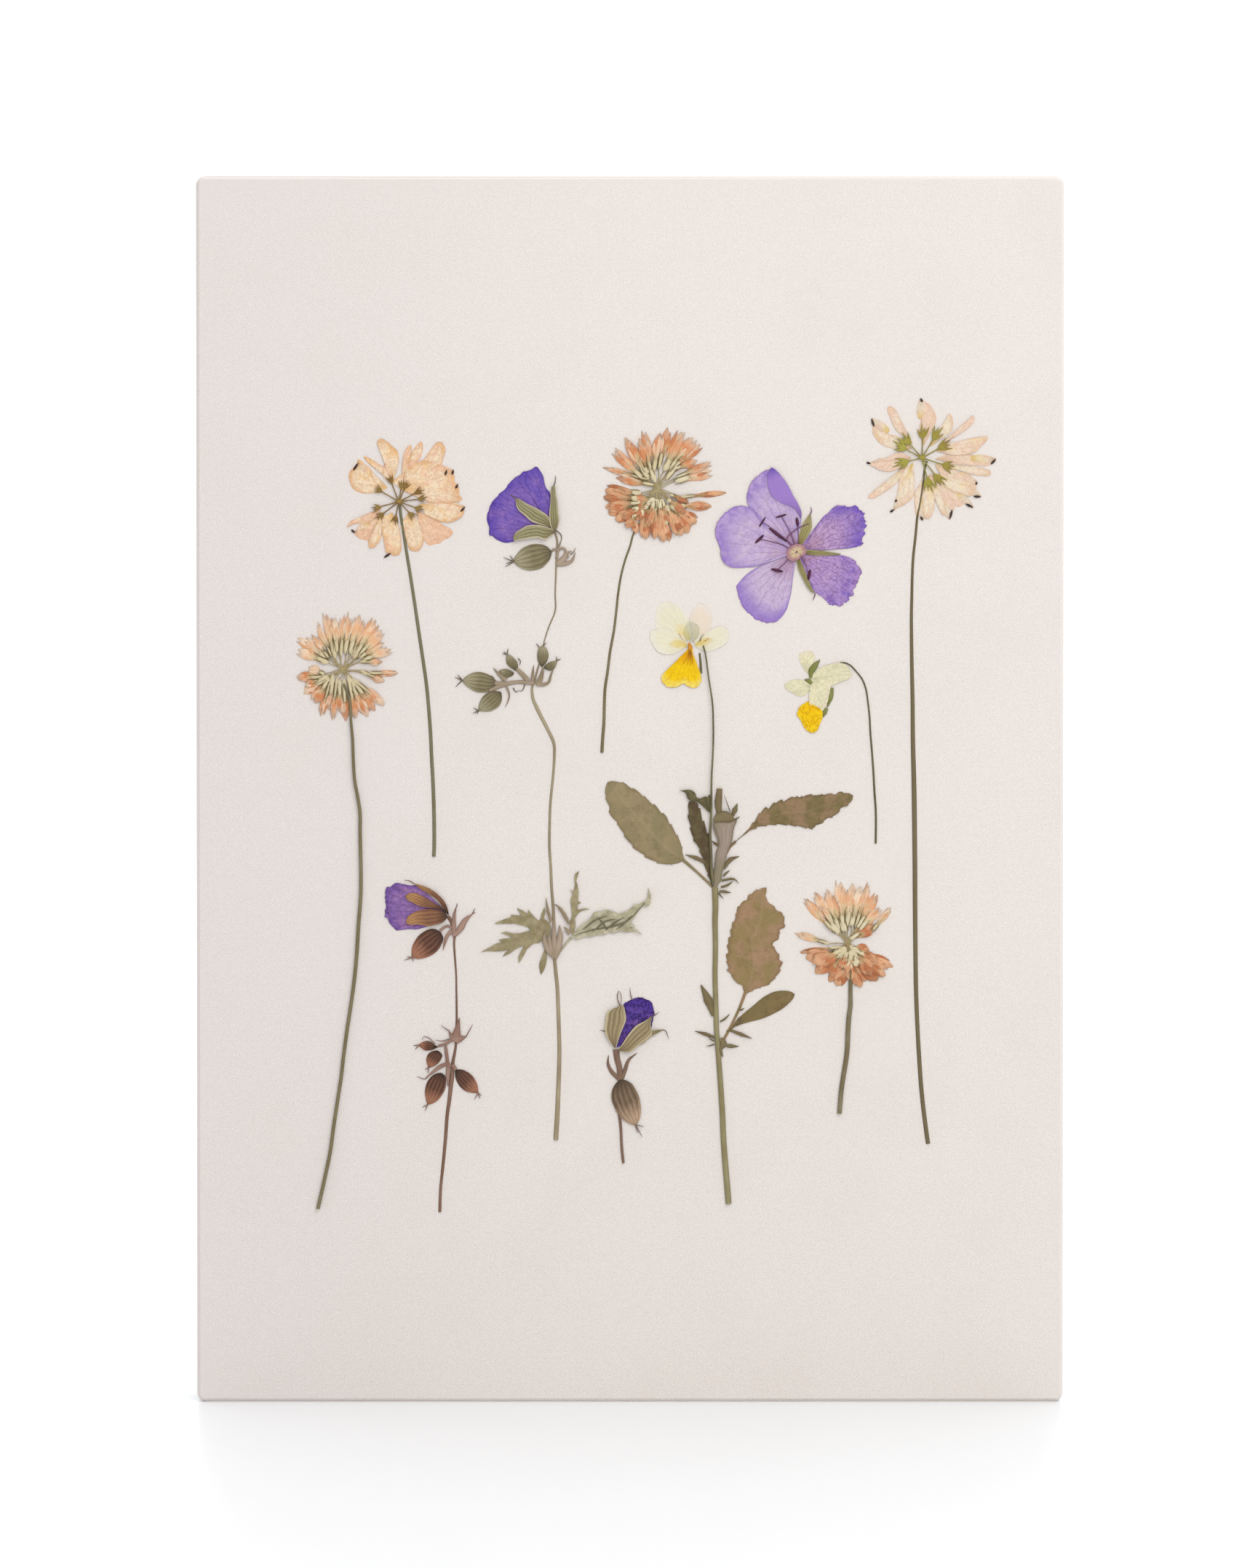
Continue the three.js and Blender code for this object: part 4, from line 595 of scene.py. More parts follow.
def cutout(name, outline, foot, tip, low, crumple=0.2):
    """A toothed leaf: one flat sheet with every tooth of its outline, a little crumpled."""
    bpy.ops.object.select_all(action="DESELECT")
    bpy.ops.mesh.primitive_circle_add(vertices=len(outline), radius=1, fill_type="NGON")
    piece = bpy.context.object
    piece.name = name
    mesh = piece.data
    rim = np.array([(x, -z, 0) for x, z in outline])
    mesh.vertices.foreach_set("co", rim.ravel())
    mesh.update()
    bpy.ops.object.mode_set(mode="EDIT")
    bpy.ops.mesh.select_all(action="SELECT")
    bpy.ops.mesh.quads_convert_to_tris(ngon_method="BEAUTY")
    bpy.ops.mesh.subdivide(number_cuts=4)
    bpy.ops.object.mode_set(mode="OBJECT")
    flat = np.empty(len(mesh.vertices) * 3)
    mesh.vertices.foreach_get("co", flat)
    x, z = flat[0::3], -flat[1::3]
    axis = np.array(tip, float) - foot
    length = np.hypot(*axis)
    axis /= length
    along = ((x - foot[0]) * axis[0] + (z - foot[1]) * axis[1]) / length
    aside = (x - foot[0]) * axis[1] - (z - foot[1]) * axis[0]
    across = 0.5 + aside / (2 * np.abs(aside).max())
    rise = low + crumple * (1 + np.sin(x * 1.9 + z * 0.7) * np.cos(z * 1.6 - x * 0.5)) / 2
    set_points(mesh, x, z, rise)
    if faces_back(mesh):
        bpy.ops.object.mode_set(mode="EDIT")
        bpy.ops.mesh.flip_normals()
        bpy.ops.object.mode_set(mode="OBJECT")
    corners = np.empty(len(mesh.loops), int)
    mesh.loops.foreach_get("vertex_index", corners)
    layer = mesh.uv_layers.active or mesh.uv_layers.new(name="UVMap")
    layer.name = "UVMap"
    layer.data.foreach_set("uv", np.stack([across[corners], along[corners]], axis=1).ravel())
    set_tone(mesh)
    return piece


def gather(name, parts, material, nodes=()):
    """Joins the parts into one named piece that rides on the board and stands for its CAD nodes."""
    bpy.ops.object.select_all(action="DESELECT")
    for part in parts:
        part.select_set(True)
    bpy.context.view_layer.objects.active = parts[0]
    if len(parts) > 1:
        bpy.ops.object.join()
    piece = bpy.context.view_layer.objects.active
    piece.name = name
    thicken(piece, DRIED_THICK)
    piece.data.materials.clear()
    piece.data.materials.append(material)
    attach(piece, "root")
    if nodes:
        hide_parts(*nodes)


def floret_line(foot, tip, start, stop, aside=0.0):
    """Part of the way from a floret's foot to its tip, shifted sideways by so many millimetres."""
    reach = (tip[0] - foot[0], tip[1] - foot[1])
    length = (reach[0] ** 2 + reach[1] ** 2) ** 0.5
    shift = (reach[1] / length * aside, -reach[0] / length * aside)

    def at(share):
        return (foot[0] + share * reach[0] + shift[0], foot[1] + share * reach[1] + shift[1])

    first, last = at(start), at(stop)
    return [first, ((first[0] + last[0]) / 2, (first[1] + last[1]) / 2), last]


# Pieces that several plants share


def stem_piece(name, line, widths, material, nodes, low=GLUE_LINE, crown=0.34):
    """A main stem, as a piece of its own."""
    rows = max(12, len(line) * 8)
    part = ribbon(name, line, widths, low, crown, rows, 6)
    gather(name, [part], material, nodes)


def hairs(lines, width, low):
    """Whiskers, awns and tendrils: each a fine thread that runs out to a point."""
    return [ribbon("hair", line, [width, 0.8 * width, 0.35 * width], low, 0.1, 8, 3) for line in lines]


def strips(name, lines, low, crown=0.25, rows=14):
    """Bracts, stalks and small blades: each a line and its widths along it."""
    return [ribbon(name, line, widths, low, crown, rows, 5) for line, widths in lines]


def sepals(shapes, rows=24):
    """Sepals, each given by its outline, its foot, its tip and how high it lies."""
    return [leaf("sepal", *drawn, low, 12, rows, 0.22, 0.06) for *drawn, low in shapes]


def pods(shapes, low, crown=0.75, ribs=5):
    """Ribbed pods and buds, each given by its outline, its foot and its tip."""
    return [leaf("pod", *drawn, low, 20, 24, crown, 0.03, ribs) for drawn in shapes]


# The board


def dress_board():
    """Finishes for the imported canvas, cut to wrap the front, the sides and a hem at the back, less its four
    folded-in corners, and for the four pine stretcher bars.
    """
    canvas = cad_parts["canvas_wrap"]
    canvas.data.materials.clear()
    canvas.data.materials.append(canvas_finish())
    upright = pine_finish("pine_upright", 1, 14)
    level = pine_finish("pine_level", 14, 1)
    for side, pine in (("top", level), ("bottom", level), ("left", upright), ("right", upright)):
        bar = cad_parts["stretcher_bar_" + side]
        bar.data.materials.clear()
        bar.data.materials.append(pine)


# Vetches

VETCH_LEFT_STEM = [
    (-55.8, 218), (-55.3, 214), (-54.9, 211.7), (-54.1, 206.3), (-53.2, 200.8), (-52.2, 194.3),
    (-51.4, 188.8), (-50.6, 183.4), (-49.95, 179), (-49.2, 173.5), (-48.7, 168.1), (-48.3, 162.6),
    (-48, 156), (-47.7, 150.6), (-47.5, 145.1), (-47.4, 139.7), (-47.4, 134.8), (-47.5, 132.3),
]
VETCH_LEFT_HUB = (-55.9, 218.2)
# Each petal: its foot, then its rim
VETCH_LEFT_PETALS = [
    ((-58.6, 221.6), [(-61.7, 223), (-62.6, 224.5), (-63.7, 226.7), (-65.7, 228.6), (-66.2, 227.4),
     (-67.7, 225.6), (-67.95, 224.1), (-67.6, 222.6), (-67, 221.3), (-65.4, 220.4), (-63.7, 220.2),
     (-60.4, 220.4)]),
    ((-58.2, 223.4), [(-59.8, 225), (-61.1, 226.2), (-62.8, 227.1), (-64.5, 229.2), (-62.8, 228.6),
     (-60.7, 227.3), (-59.1, 226.3), (-58.4, 224.4)]),
    ((-57.4, 222.4), [(-59.6, 224.1), (-59.8, 225.8), (-59.3, 227.6), (-60.1, 229.7), (-60.8, 231.3),
     (-61.2, 232.8), (-60.2, 233.4), (-59.1, 233), (-57.6, 231.7), (-56.3, 230.6), (-56, 229.3),
     (-56, 227.6), (-56.5, 225.4)]),
    ((-54.8, 222.8), [(-55.2, 225.9), (-55, 227.8), (-54.6, 230), (-53.7, 231.5), (-52.9, 231.8),
     (-53, 229.7), (-53.9, 228.2), (-53.5, 226.7), (-54, 224.8)]),
    ((-53.6, 224), [(-53.7, 226.4), (-53.9, 228.2), (-53, 229.7), (-51.9, 231.5), (-50.5, 232.8),
     (-50.1, 231.5), (-50.4, 229.7), (-51.1, 228.2), (-52.4, 226)]),
    ((-51.6, 221.4), [(-50.2, 225.8), (-49.8, 228.2), (-48.5, 230.4), (-47.4, 231.9), (-46.1, 232.8),
     (-45, 231.7), (-44.7, 230.2), (-45.3, 228.2), (-45.6, 226.7), (-47.2, 224.4)]),
    ((-55.4, 221.2), [(-57.5, 223), (-54.5, 225.5), (-51, 228), (-50, 228.3), (-45.5, 227), (-43.4, 226.2),
     (-42.6, 224.9), (-42.4, 222.9), (-41.5, 221.9), (-41.3, 219.9), (-40.6, 218.7), (-42.8, 218),
     (-48, 217.9), (-50.4, 219)]),
    ((-51, 217.6), [(-49, 218), (-42.8, 217.7), (-40.6, 216.8), (-40, 216), (-40.6, 214.7), (-41.9, 213.8),
     (-43.5, 213.2), (-45.8, 213.4), (-49.3, 214.9)]),
    ((-51.8, 216.2), [(-51, 213.5), (-50.2, 211.7), (-50, 209.5), (-49.1, 208), (-48.2, 207.6), (-47.4, 208),
     (-46.3, 208), (-45, 209.1), (-43.9, 209.5), (-42.8, 210.4), (-43.2, 211.5), (-45, 212.4),
     (-46.9, 214.1), (-49.4, 215)]),
    ((-53.6, 215.8), [(-55, 213.4), (-55.4, 211.9), (-54.1, 209), (-53.5, 206.9), (-52.4, 206.3),
     (-51, 206.4), (-50, 208.4), (-50.2, 210.8), (-51, 213.5), (-52.2, 214.8)]),
    ((-57.6, 215.6), [(-60.2, 214.5), (-60.4, 213), (-60, 211), (-59.7, 209.5), (-59.3, 207.5), (-59, 206),
     (-57.5, 205.3), (-55.8, 205.5), (-55.3, 207), (-55.5, 210), (-56, 212.5), (-56.8, 214.4)]),
    ((-59.8, 215.8), [(-60, 213.8), (-60.1, 211.3), (-60.4, 209.1), (-61.8, 207.3), (-63.1, 207.1),
     (-63.1, 209.2), (-61.6, 212)]),
    ((-59.6, 215.6), [(-61.1, 214.6), (-62.4, 214.3), (-63.3, 213), (-65, 212), (-66.6, 210.8),
     (-65.9, 209.8), (-65, 209.2), (-63.3, 208.9), (-61.5, 209.8), (-60.7, 211), (-60.1, 213)]),
    ((-60, 216.8), [(-62.6, 215.6), (-63.9, 215), (-65.9, 214.3), (-67.6, 213.4), (-68.5, 212),
     (-66.8, 212.8), (-64.8, 213), (-62.8, 213.5), (-61, 215.2)]),
]
VETCH_LEFT_CALYXES = [
    (-60, 220.6), (-57.6, 222.6), (-55.3, 221.5), (-54.5, 221.4), (-52, 220.2), (-51.2, 218.8), (-52, 216.8),
    (-53.4, 215.6), (-56.6, 214.8), (-59.6, 215.4), (-60.4, 217),
]

VETCH_RIGHT_STEM = [
    (71.8, 228), (71.2, 225.6), (70.9, 222.9), (70.2, 218), (69.5, 214.5), (69.1, 210), (68.55, 205),
    (68.3, 200), (68.2, 195), (68.1, 190), (68.2, 180), (68.4, 170), (68.5, 160), (68.75, 150),
    (68.9, 140), (69, 130), (69.05, 120), (69.15, 110), (69.3, 100), (69.7, 90), (70.3, 80), (70.7, 75),
    (71.25, 70), (71.9, 65), (72.25, 62.7),
]
VETCH_RIGHT_HUB = (70.6, 228.8)
VETCH_RIGHT_PETALS = [
    ((70.9, 231.6), [(69.9, 234.5), (70, 236.6), (70.6, 239.3), (70.5, 241.2), (70.3, 242.8), (72.2, 242),
     (73.5, 240.4), (74.1, 238.5), (73.6, 236.6), (72.4, 234.5), (71.4, 232.6)]),
    ((72.6, 231.6), [(73.2, 232.9), (73.5, 234.2), (74.9, 235.8), (76.2, 237.7), (77.3, 239.7), (78, 238.2),
     (78.1, 236.6), (77.5, 235), (75.9, 233.9), (74.3, 232.9)]),
    ((74.4, 231.6), [(75.4, 232.6), (78.4, 234.2), (81, 236.9), (82.7, 238.8), (83.1, 239.3), (83.3, 237.9),
     (81.9, 236.1), (79.7, 234.5), (77, 233.1)]),
    ((74, 230.6), [(75.9, 232.3), (78.9, 232.6), (81.6, 233.3), (84.3, 233.8), (86.7, 233.9), (85.9, 232.6),
     (84.5, 231.2), (83.5, 230.2), (80.8, 229.6), (78.4, 229.4), (76.5, 229.9)]),
    ((73.8, 228.6), [(76.2, 229.6), (79.2, 229.6), (82.9, 229.6), (85.6, 228.3), (87.4, 227.8), (87, 226.9),
     (84.3, 226.9), (80.2, 227.2), (77.6, 227.4), (75.7, 228)]),
    ((74.6, 227.4), [(79.4, 227.2), (82.9, 226.7), (86.2, 226.1), (87.4, 225.3), (86.7, 224.4),
     (82.9, 224.8), (80.2, 225.6)]),
    ((73.8, 227.2), [(75.9, 227.8), (78.1, 226.4), (80.2, 224.8), (82.1, 223.7), (84, 222.6), (82.9, 221.8),
     (80.2, 221.3), (77.5, 222.4), (75.7, 224), (74.9, 225.4)]),
    ((73.4, 225.2), [(75.9, 224.4), (79.2, 222.5), (81.9, 221.9), (83.7, 222.1), (83.2, 220.8),
     (82.4, 219.6), (80.2, 220), (77.6, 220.8), (75.4, 222.4)]),
    ((72.8, 225), [(74.6, 223.2), (77, 221), (80.2, 219.7), (80.9, 218.1), (80, 217), (78.6, 217.3),
     (76.5, 219.2), (74, 221.6)]),
    ((72.4, 224.8), [(73.2, 222.9), (75.4, 221), (77.6, 219.4), (78.5, 217.6), (78.1, 215.9), (77, 217),
     (75.4, 218.6), (73.8, 220.5), (72.6, 222.6)]),
    ((72.2, 224.6), [(72.6, 222.9), (74.3, 221.9), (75.4, 219.7), (76.2, 217.6), (76.5, 215.9),
     (75.9, 214.9), (74.9, 216.2), (73.8, 218.6), (72.6, 220.6)]),
    ((71.8, 224.6), [(72.4, 222.6), (73.6, 219), (73.5, 216.5), (72.7, 214.6), (71.9, 214.1), (71.1, 214.9),
     (70.8, 217.8), (70.8, 220.5), (71.1, 222.1)]),
    ((71.2, 224.6), [(70.3, 222.1), (68.9, 220.5), (68.7, 218.9), (68.9, 217), (69.2, 214.9), (69.7, 214.6),
     (70.6, 215.1), (71.1, 217.8), (71.3, 221.6)]),
    ((68.4, 227.6), [(66.8, 226.7), (65.4, 224.5), (64.9, 221.9), (64.6, 219.7), (64.1, 217.6),
     (63.8, 216.2), (65.2, 217), (66.8, 217.8), (68.4, 219.2), (68.9, 221.3), (68.8, 223.7), (68.1, 225.9)]),
    ((67.2, 227.2), [(65.2, 225.6), (63.6, 224.3), (60.9, 222.1), (58.2, 220.2), (57.6, 219.2),
     (59.3, 219.2), (61.4, 220.5), (64.1, 222.4), (65.4, 224.5)]),
    ((68, 228.8), [(66.5, 229.4), (65.2, 230.2), (62.7, 229.1), (60.1, 227.8), (58, 227.5), (59, 226.7),
     (60.6, 225.9), (62.7, 225.5), (65.2, 226.4), (66.5, 227.6)]),
    ((68.2, 231), [(66.8, 232.3), (66.2, 233.4), (64.1, 234.2), (61.9, 234.7), (60.3, 235.8), (59, 236.7),
     (58.6, 235.3), (59.3, 233.7), (60.9, 232.1), (63.3, 231.1), (65.4, 231.2)]),
    ((68.4, 232.2), [(67.6, 233.9), (66, 235.8), (65.2, 238.2), (64.1, 240.6), (63, 241.3), (62.2, 240.6),
     (63.3, 237.7), (64.4, 235.5), (66.2, 234.2)]),
]
VETCH_RIGHT_CALYXES = [
    (67.8, 232), (66.8, 230.8), (67.4, 228), (70.8, 233.5), (73.3, 233.2), (74.6, 231), (75.6, 227.2),
    (71.8, 224.1), (73.7, 224.8),
]

VETCH_LEFT_DARK_TIPS = [
    [(-66.9, 225.8), (-65.7, 227.6)], [(-44.7, 224.6), (-44.3, 225.9)], [(-43, 224.8), (-42.7, 225.9)],
    [(-42.2, 221.4), (-41.6, 222.4)], [(-41, 215.8), (-39.9, 216.9)], [(-59.5, 204.7), (-57.8, 205.8)],
    [(-67.4, 211.4), (-66.5, 210.7)],
]
VETCH_RIGHT_DARK_TIPS = [
    [(70.7, 242.3), (70.3, 243.2)], [(87.3, 227.3), (88.5, 228.5)], [(83.6, 222.4), (84, 222.9)],
    [(83.1, 219.5), (84.9, 219.4)], [(81.2, 217.7), (83, 216.8)], [(77.9, 216.2), (77.4, 214)],
    [(70.3, 214.6), (70.8, 213.7)], [(62.9, 215.7), (63.9, 216.3)], [(64.1, 218.2), (64.6, 218.7)],
    [(57.2, 227.7), (58.2, 227.4)], [(59, 236.4), (58.4, 238.3)],
]


def vetch_head(name, petals, hub, calyxes, cup, dark_tips, finishes, nodes):
    """Petals round a hub; each calyx is a small toothed cup, so long and so wide, on a thread."""
    petal, green, dark = finishes
    blades = []
    for index, (foot, rim) in enumerate(petals):
        low = GLUE_LINE + 0.06 * (index % 4)
        blades.append(fan(f"{name}_petal", rim, foot, low, 30, 8, 0.1, 0.08, 4))
    for line in dark_tips:
        inner = floret_line(line[-1], hub, 0.0, 0.34)
        blades.append(ribbon("point", [inner[2], inner[1], line[-1]], [1.2, 2.2, 1.7, 0.4], 0.12, 0.1, 14, 4))
    gather(name + "_petals", blades, petal, nodes)
    greens = []
    long, wide = cup
    for spot in calyxes:
        reach = (spot[0] - hub[0], spot[1] - hub[1])
        length = (reach[0] ** 2 + reach[1] ** 2) ** 0.5
        ahead = (reach[0] / length, reach[1] / length)
        greens.append(ribbon("pedicel", [hub, spot], [0.4, 0.26, 0.3], 0.4, 0.16, 8, 4))
        for side in (-1, -0.3, 0.3, 1):
            run = long * (1 - 0.2 * abs(side)) * RANDOM.uniform(0.75, 1.25)
            middle = (spot[0] + ahead[0] * run * 0.4 + ahead[1] * side * wide * 0.3,
                      spot[1] + ahead[1] * run * 0.4 - ahead[0] * side * wide * 0.3)
            tip = (spot[0] + ahead[0] * run + ahead[1] * side * wide * 0.66,
                   spot[1] + ahead[1] * run - ahead[0] * side * wide * 0.66)
            shape = [0.36, 0.32 * wide, 0.2 * wide, 0.03]
            greens.append(ribbon("calyx", [spot, middle, tip], shape, 0.45, 0.16, 8, 4))
    knot = [(hub[0] - 0.7, hub[1]), (hub[0] + 0.7, hub[1])]
    greens.append(ribbon("knot", knot, [0.4, 1.2, 0.4], 0.5, 0.4, 8, 6))
    gather(name + "_calyxes", greens, green, ())
    marks = [ribbon("dark_tip", line, [0.2, 0.6, 0.5, 0.1], 0.3, 0.1, 8, 4) for line in dark_tips]
    gather(name + "_dark_tips", marks, dark, ())


def add_vetches():
    peach = petal_finish("vetch_peach", (252, 206, 140), (253, 230, 198), (236, 190, 144), (222, 164, 116),
                         9, 0.84, 0.4, 0.8, (248, 202, 172), 0.4)
    pale = petal_finish("vetch_pale", (250, 218, 136), (252, 236, 212), (240, 208, 178), (226, 184, 146), 9,
                        0.78, 0.4, 0.6, (250, 216, 194), 0.35)
    gold = stem_finish("vetch_calyx_gold", (178, 150, 86), (122, 96, 50), (150, 112, 60))
    lime = stem_finish("vetch_calyx_lime", (186, 180, 82), (134, 128, 52), (168, 142, 66))
    dark = stem_finish("vetch_dark_tip", (66, 46, 42), (44, 30, 30), (84, 60, 50))
    left_stalk = stem_finish("vetch_stem", (136, 132, 106), (104, 98, 76), (128, 120, 90))
    right_stalk = stem_finish("vetch_right_stem", (124, 112, 82), (94, 84, 62), (120, 106, 76))
    vetch_head("vetch_left", VETCH_LEFT_PETALS, VETCH_LEFT_HUB, VETCH_LEFT_CALYXES, (2.3, 1.5),
               VETCH_LEFT_DARK_TIPS, (peach, gold, dark), ["vetch_left_head"])
    vetch_head("vetch_right", VETCH_RIGHT_PETALS, VETCH_RIGHT_HUB, VETCH_RIGHT_CALYXES, (3.6, 2.3),
               VETCH_RIGHT_DARK_TIPS, (pale, lime, dark), ["vetch_right_head"])
    stem_piece("vetch_left_stalk", VETCH_LEFT_STEM, [0.7, 0.8, 0.85, 0.9], left_stalk, ["vetch_left_stem"])
    stem_piece("vetch_right_stalk", VETCH_RIGHT_STEM, [0.5, 0.65, 0.95, 1.2, 1.1, 1.0, 1.05], right_stalk,
               ["vetch_right_stem"])


# Clovers: every floret is (foot, tip, width), drawn round a small centre

CLOVER_TOP_CENTRE = (6.4, 221.4)
CLOVER_TOP_STEM = [
    (2.4, 213.4), (0.8, 210.3), (0, 207.4), (-1.2, 204), (-2.2, 200.1), (-2.9, 195.7), (-3.3, 191.8),
    (-3.9, 186.9), (-4.8, 182), (-5.4, 177.2), (-6, 173.2), (-6.2, 169.3), (-6.3, 165), (-6.6, 161),
    (-6.8, 157.5),
]
CLOVER_TOP_FLORETS = [
    ((3.4, 223.8), (-6.6, 226.5), 1.6), ((2.5, 224.3), (-3.7, 230.4), 2.6),
    ((3.8, 224.7), (-1.2, 233.7), 2.8), ((4.2, 225.5), (1.4, 230.4), 2.6), ((4.9, 226), (3.8, 235), 2.2),
    ((6, 226.9), (7.3, 234.8), 3.0), ((7.1, 226.9), (9.1, 236.2), 2.6),
    ((8.6, 226.4), (12.6, 235.1), 3.2), ((10.2, 226.9), (15.2, 233.7), 2.8),
    ((10.8, 226.9), (17, 232.1), 2.6), ((11.3, 226.4), (16.3, 228.2), 2.2),
    ((11.7, 224.2), (19.6, 227.8), 1.8), ((11.7, 223.4), (19.9, 225.8), 3.0),
    ((14.6, 219.6), (23.3, 220.4), 1.4), ((13, 217.2), (19.7, 217.1), 2.2),
    ((10.2, 219.7), (14.2, 218), 1.6), ((1.2, 220.4), (-6, 221), 2.6), ((0.8, 219), (-6.4, 219.3), 2.6),
    ((0.8, 217.9), (-5.9, 216.9), 2.6), ((0.8, 216.6), (-5.2, 215.3), 2.2),
    ((1.4, 216.2), (-3.5, 213.7), 2.6), ((4.9, 222.4), (-3.4, 224), 2.4),
    ((5.6, 224.4), (2.2, 233.6), 2.2), ((9.4, 224.4), (14.6, 230.6), 2.4),
]
CLOVER_TOP_DROOPING = [
    ((11.7, 216.2), (16.1, 213.1), 2.6), ((10.8, 216.4), (14.1, 210.7), 3.4),
    ((9.5, 216), (12.6, 210.1), 3.0), ((8.9, 212.7), (9.5, 208.7), 1.6), ((7.3, 217), (8.2, 208.5), 3.2),
    ((6, 216), (6, 209.2), 2.2), ((3, 215.3), (3.9, 209.2), 2.6), ((0.8, 214.2), (1.6, 210.5), 1.6),
    ((1.2, 214.8), (-0.8, 211.9), 2), ((4.9, 218.6), (0.3, 218.2), 3.2),
    ((4.4, 217.6), (0.9, 213.8), 2.8), ((5.6, 217.4), (4.6, 212.2), 2.6),
    ((8, 217.6), (10.4, 212.6), 2.6), ((3.4, 216.6), (-1.8, 214.2), 2.8),
    ((9.6, 218.4), (13.4, 215.4), 2.2), ((6.6, 217.8), (7.2, 212.4), 2.2),
]

CLOVER_LEFT_CENTRE = (-69.3, 177.6)
CLOVER_LEFT_STEM = [
    (-69.3, 174.2), (-68.4, 172), (-67.7, 169.7), (-67.6, 167.3), (-67.5, 165), (-67.1, 160.5), (-66.9, 155),
    (-66.6, 150.7), (-65.8, 146.3), (-65.3, 142.5), (-65.3, 138.6), (-65.2, 133.5), (-65.1, 127.6),
    (-65.2, 122.3), (-65.7, 115.8), (-66.1, 109.2), (-66.7, 102.7), (-67.6, 96.1), (-68.5, 90.2),
    (-69.3, 84.3), (-69.9, 79.1), (-70.8, 73.2), (-71.7, 67.3), (-72.6, 60.8), (-73.8, 54.9),
    (-74.7, 50.9), (-75.6, 46.9),
]
CLOVER_LEFT_FLORETS = [
    ((-73.9, 180.9), (-80.4, 185.3), 2.6), ((-74.1, 179.7), (-80.3, 182.5), 2.6),
    ((-73.2, 180.9), (-77, 185.9), 1.8), ((-72.5, 181.6), (-75.8, 188.5), 1.8),
    ((-71.6, 181.8), (-73.5, 191), 2.4), ((-70.9, 182.3), (-71.4, 190.1), 2.4),
    ((-69.8, 182.5), (-69.1, 191), 2.2), ((-68.6, 182.5), (-67.7, 189.9), 2.6),
    ((-67.5, 182), (-65.4, 190.8), 2.6), ((-66.8, 181.8), (-63.5, 188.5), 2.4),
    ((-66.1, 181.6), (-61.5, 189.7), 2.8), ((-65.4, 181.3), (-60.1, 187.1), 3.0),
    ((-64.9, 180.9), (-59.8, 184.1), 2.8), ((-63.8, 180.2), (-57.8, 182.5), 2),
    ((-64.5, 179.5), (-59.8, 179.5), 1.6), ((-62.4, 176.7), (-56.1, 176.7), 1.6),
    ((-63.8, 176.7), (-59.4, 174.7), 1.8), ((-65.4, 174), (-59.4, 169), 2.2),
    ((-66.1, 173.8), (-61.7, 167.6), 2.2), ((-67, 173.5), (-63.5, 166.3), 2.6),
    ((-67.7, 173.5), (-66.3, 165.9), 2.0), ((-69.1, 173.1), (-68.8, 165.1), 2.4),
    ((-70.2, 173.3), (-70, 167.3), 2.2), ((-71.1, 173.5), (-72, 165.5), 1.4),
    ((-72.1, 174.2), (-72.8, 167.8), 2.4), ((-72.8, 173.5), (-74.9, 166.4), 1.6),
    ((-73.5, 174.4), (-76.2, 169.6), 2.8), ((-74.4, 175.1), (-79, 171.7), 2.6),
    ((-75.1, 175.8), (-80.6, 175.8), 2.2), ((-74.6, 175.4), (-78.5, 173.6), 2.2),
    ((-74.4, 176.7), (-77.8, 178.1), 2.6),
]

CLOVER_RIGHT_CENTRE = (52.8, 111.5)
CLOVER_RIGHT_STEM = [
    (53.2, 105.6), (53.4, 102.3), (53.4, 99.1), (53.4, 96.3), (53.05, 93.5), (52.8, 89.8), (52.6, 85.2),
    (52.1, 81.5), (51.5, 77.8), (51.1, 74.6), (50.75, 70),
]
CLOVER_RIGHT_FLORETS = [
    ((48.6, 115.2), (42.4, 121.7), 2.6), ((49.6, 115.7), (44.7, 123.7), 2.6),
    ((50.3, 115.7), (47.7, 124.4), 2.6), ((51.4, 116.1), (51, 126.3), 3),
    ((52.8, 116.1), (54, 125.8), 3), ((53.7, 116.1), (55.8, 125.1), 2.8),
    ((54.7, 115.7), (57.9, 125.4), 2.4), ((55.4, 115.7), (60, 123), 2.6),
    ((56.1, 115.2), (60.2, 119.8), 2.6), ((59.1, 114.8), (63.2, 120), 1.8),
    ((47.3, 111.5), (39.9, 113.7), 1.8), ((48.6, 110.1), (41.2, 109.1), 1.4),
    ((49.6, 108.8), (42.6, 107.8), 3.2), ((50.5, 108.3), (44.9, 104.1), 3.2),
    ((51.9, 106.5), (48.2, 102), 2.6), ((52.4, 105.5), (50, 101.1), 3.2),
    ((53.7, 105.5), (56, 100.7), 2.6), ((54.7, 106), (57.2, 102.1), 2.4),
    ((55.6, 106.5), (60, 102.3), 3), ((56.1, 107.4), (61.8, 103.4), 2.8),
    ((56.1, 108.8), (63.7, 105.6), 2.8), ((54.2, 110.1), (57.9, 109.7), 2.6),
    ((50, 114.4), (45.6, 120.4), 2.4), ((52, 115), (49.4, 123), 2.4),
]
CLOVER_RIGHT_DROOPING = [
    ((54.2, 112.9), (58.8, 116.2), 3.8), ((52.4, 108.3), (51.9, 105), 3.4),
    ((50.8, 109.2), (46.4, 106), 2.6), ((54.2, 108.8), (55.6, 103.8), 2.6),
    ((55, 109.6), (60, 106.6), 2.6), ((49.4, 108.8), (44.2, 106.6), 2.8), ((51, 108), (48.6, 103.2), 3),
    ((53.4, 107.8), (53.4, 102.4), 3), ((55.4, 108.4), (58.4, 103.6), 3),
]


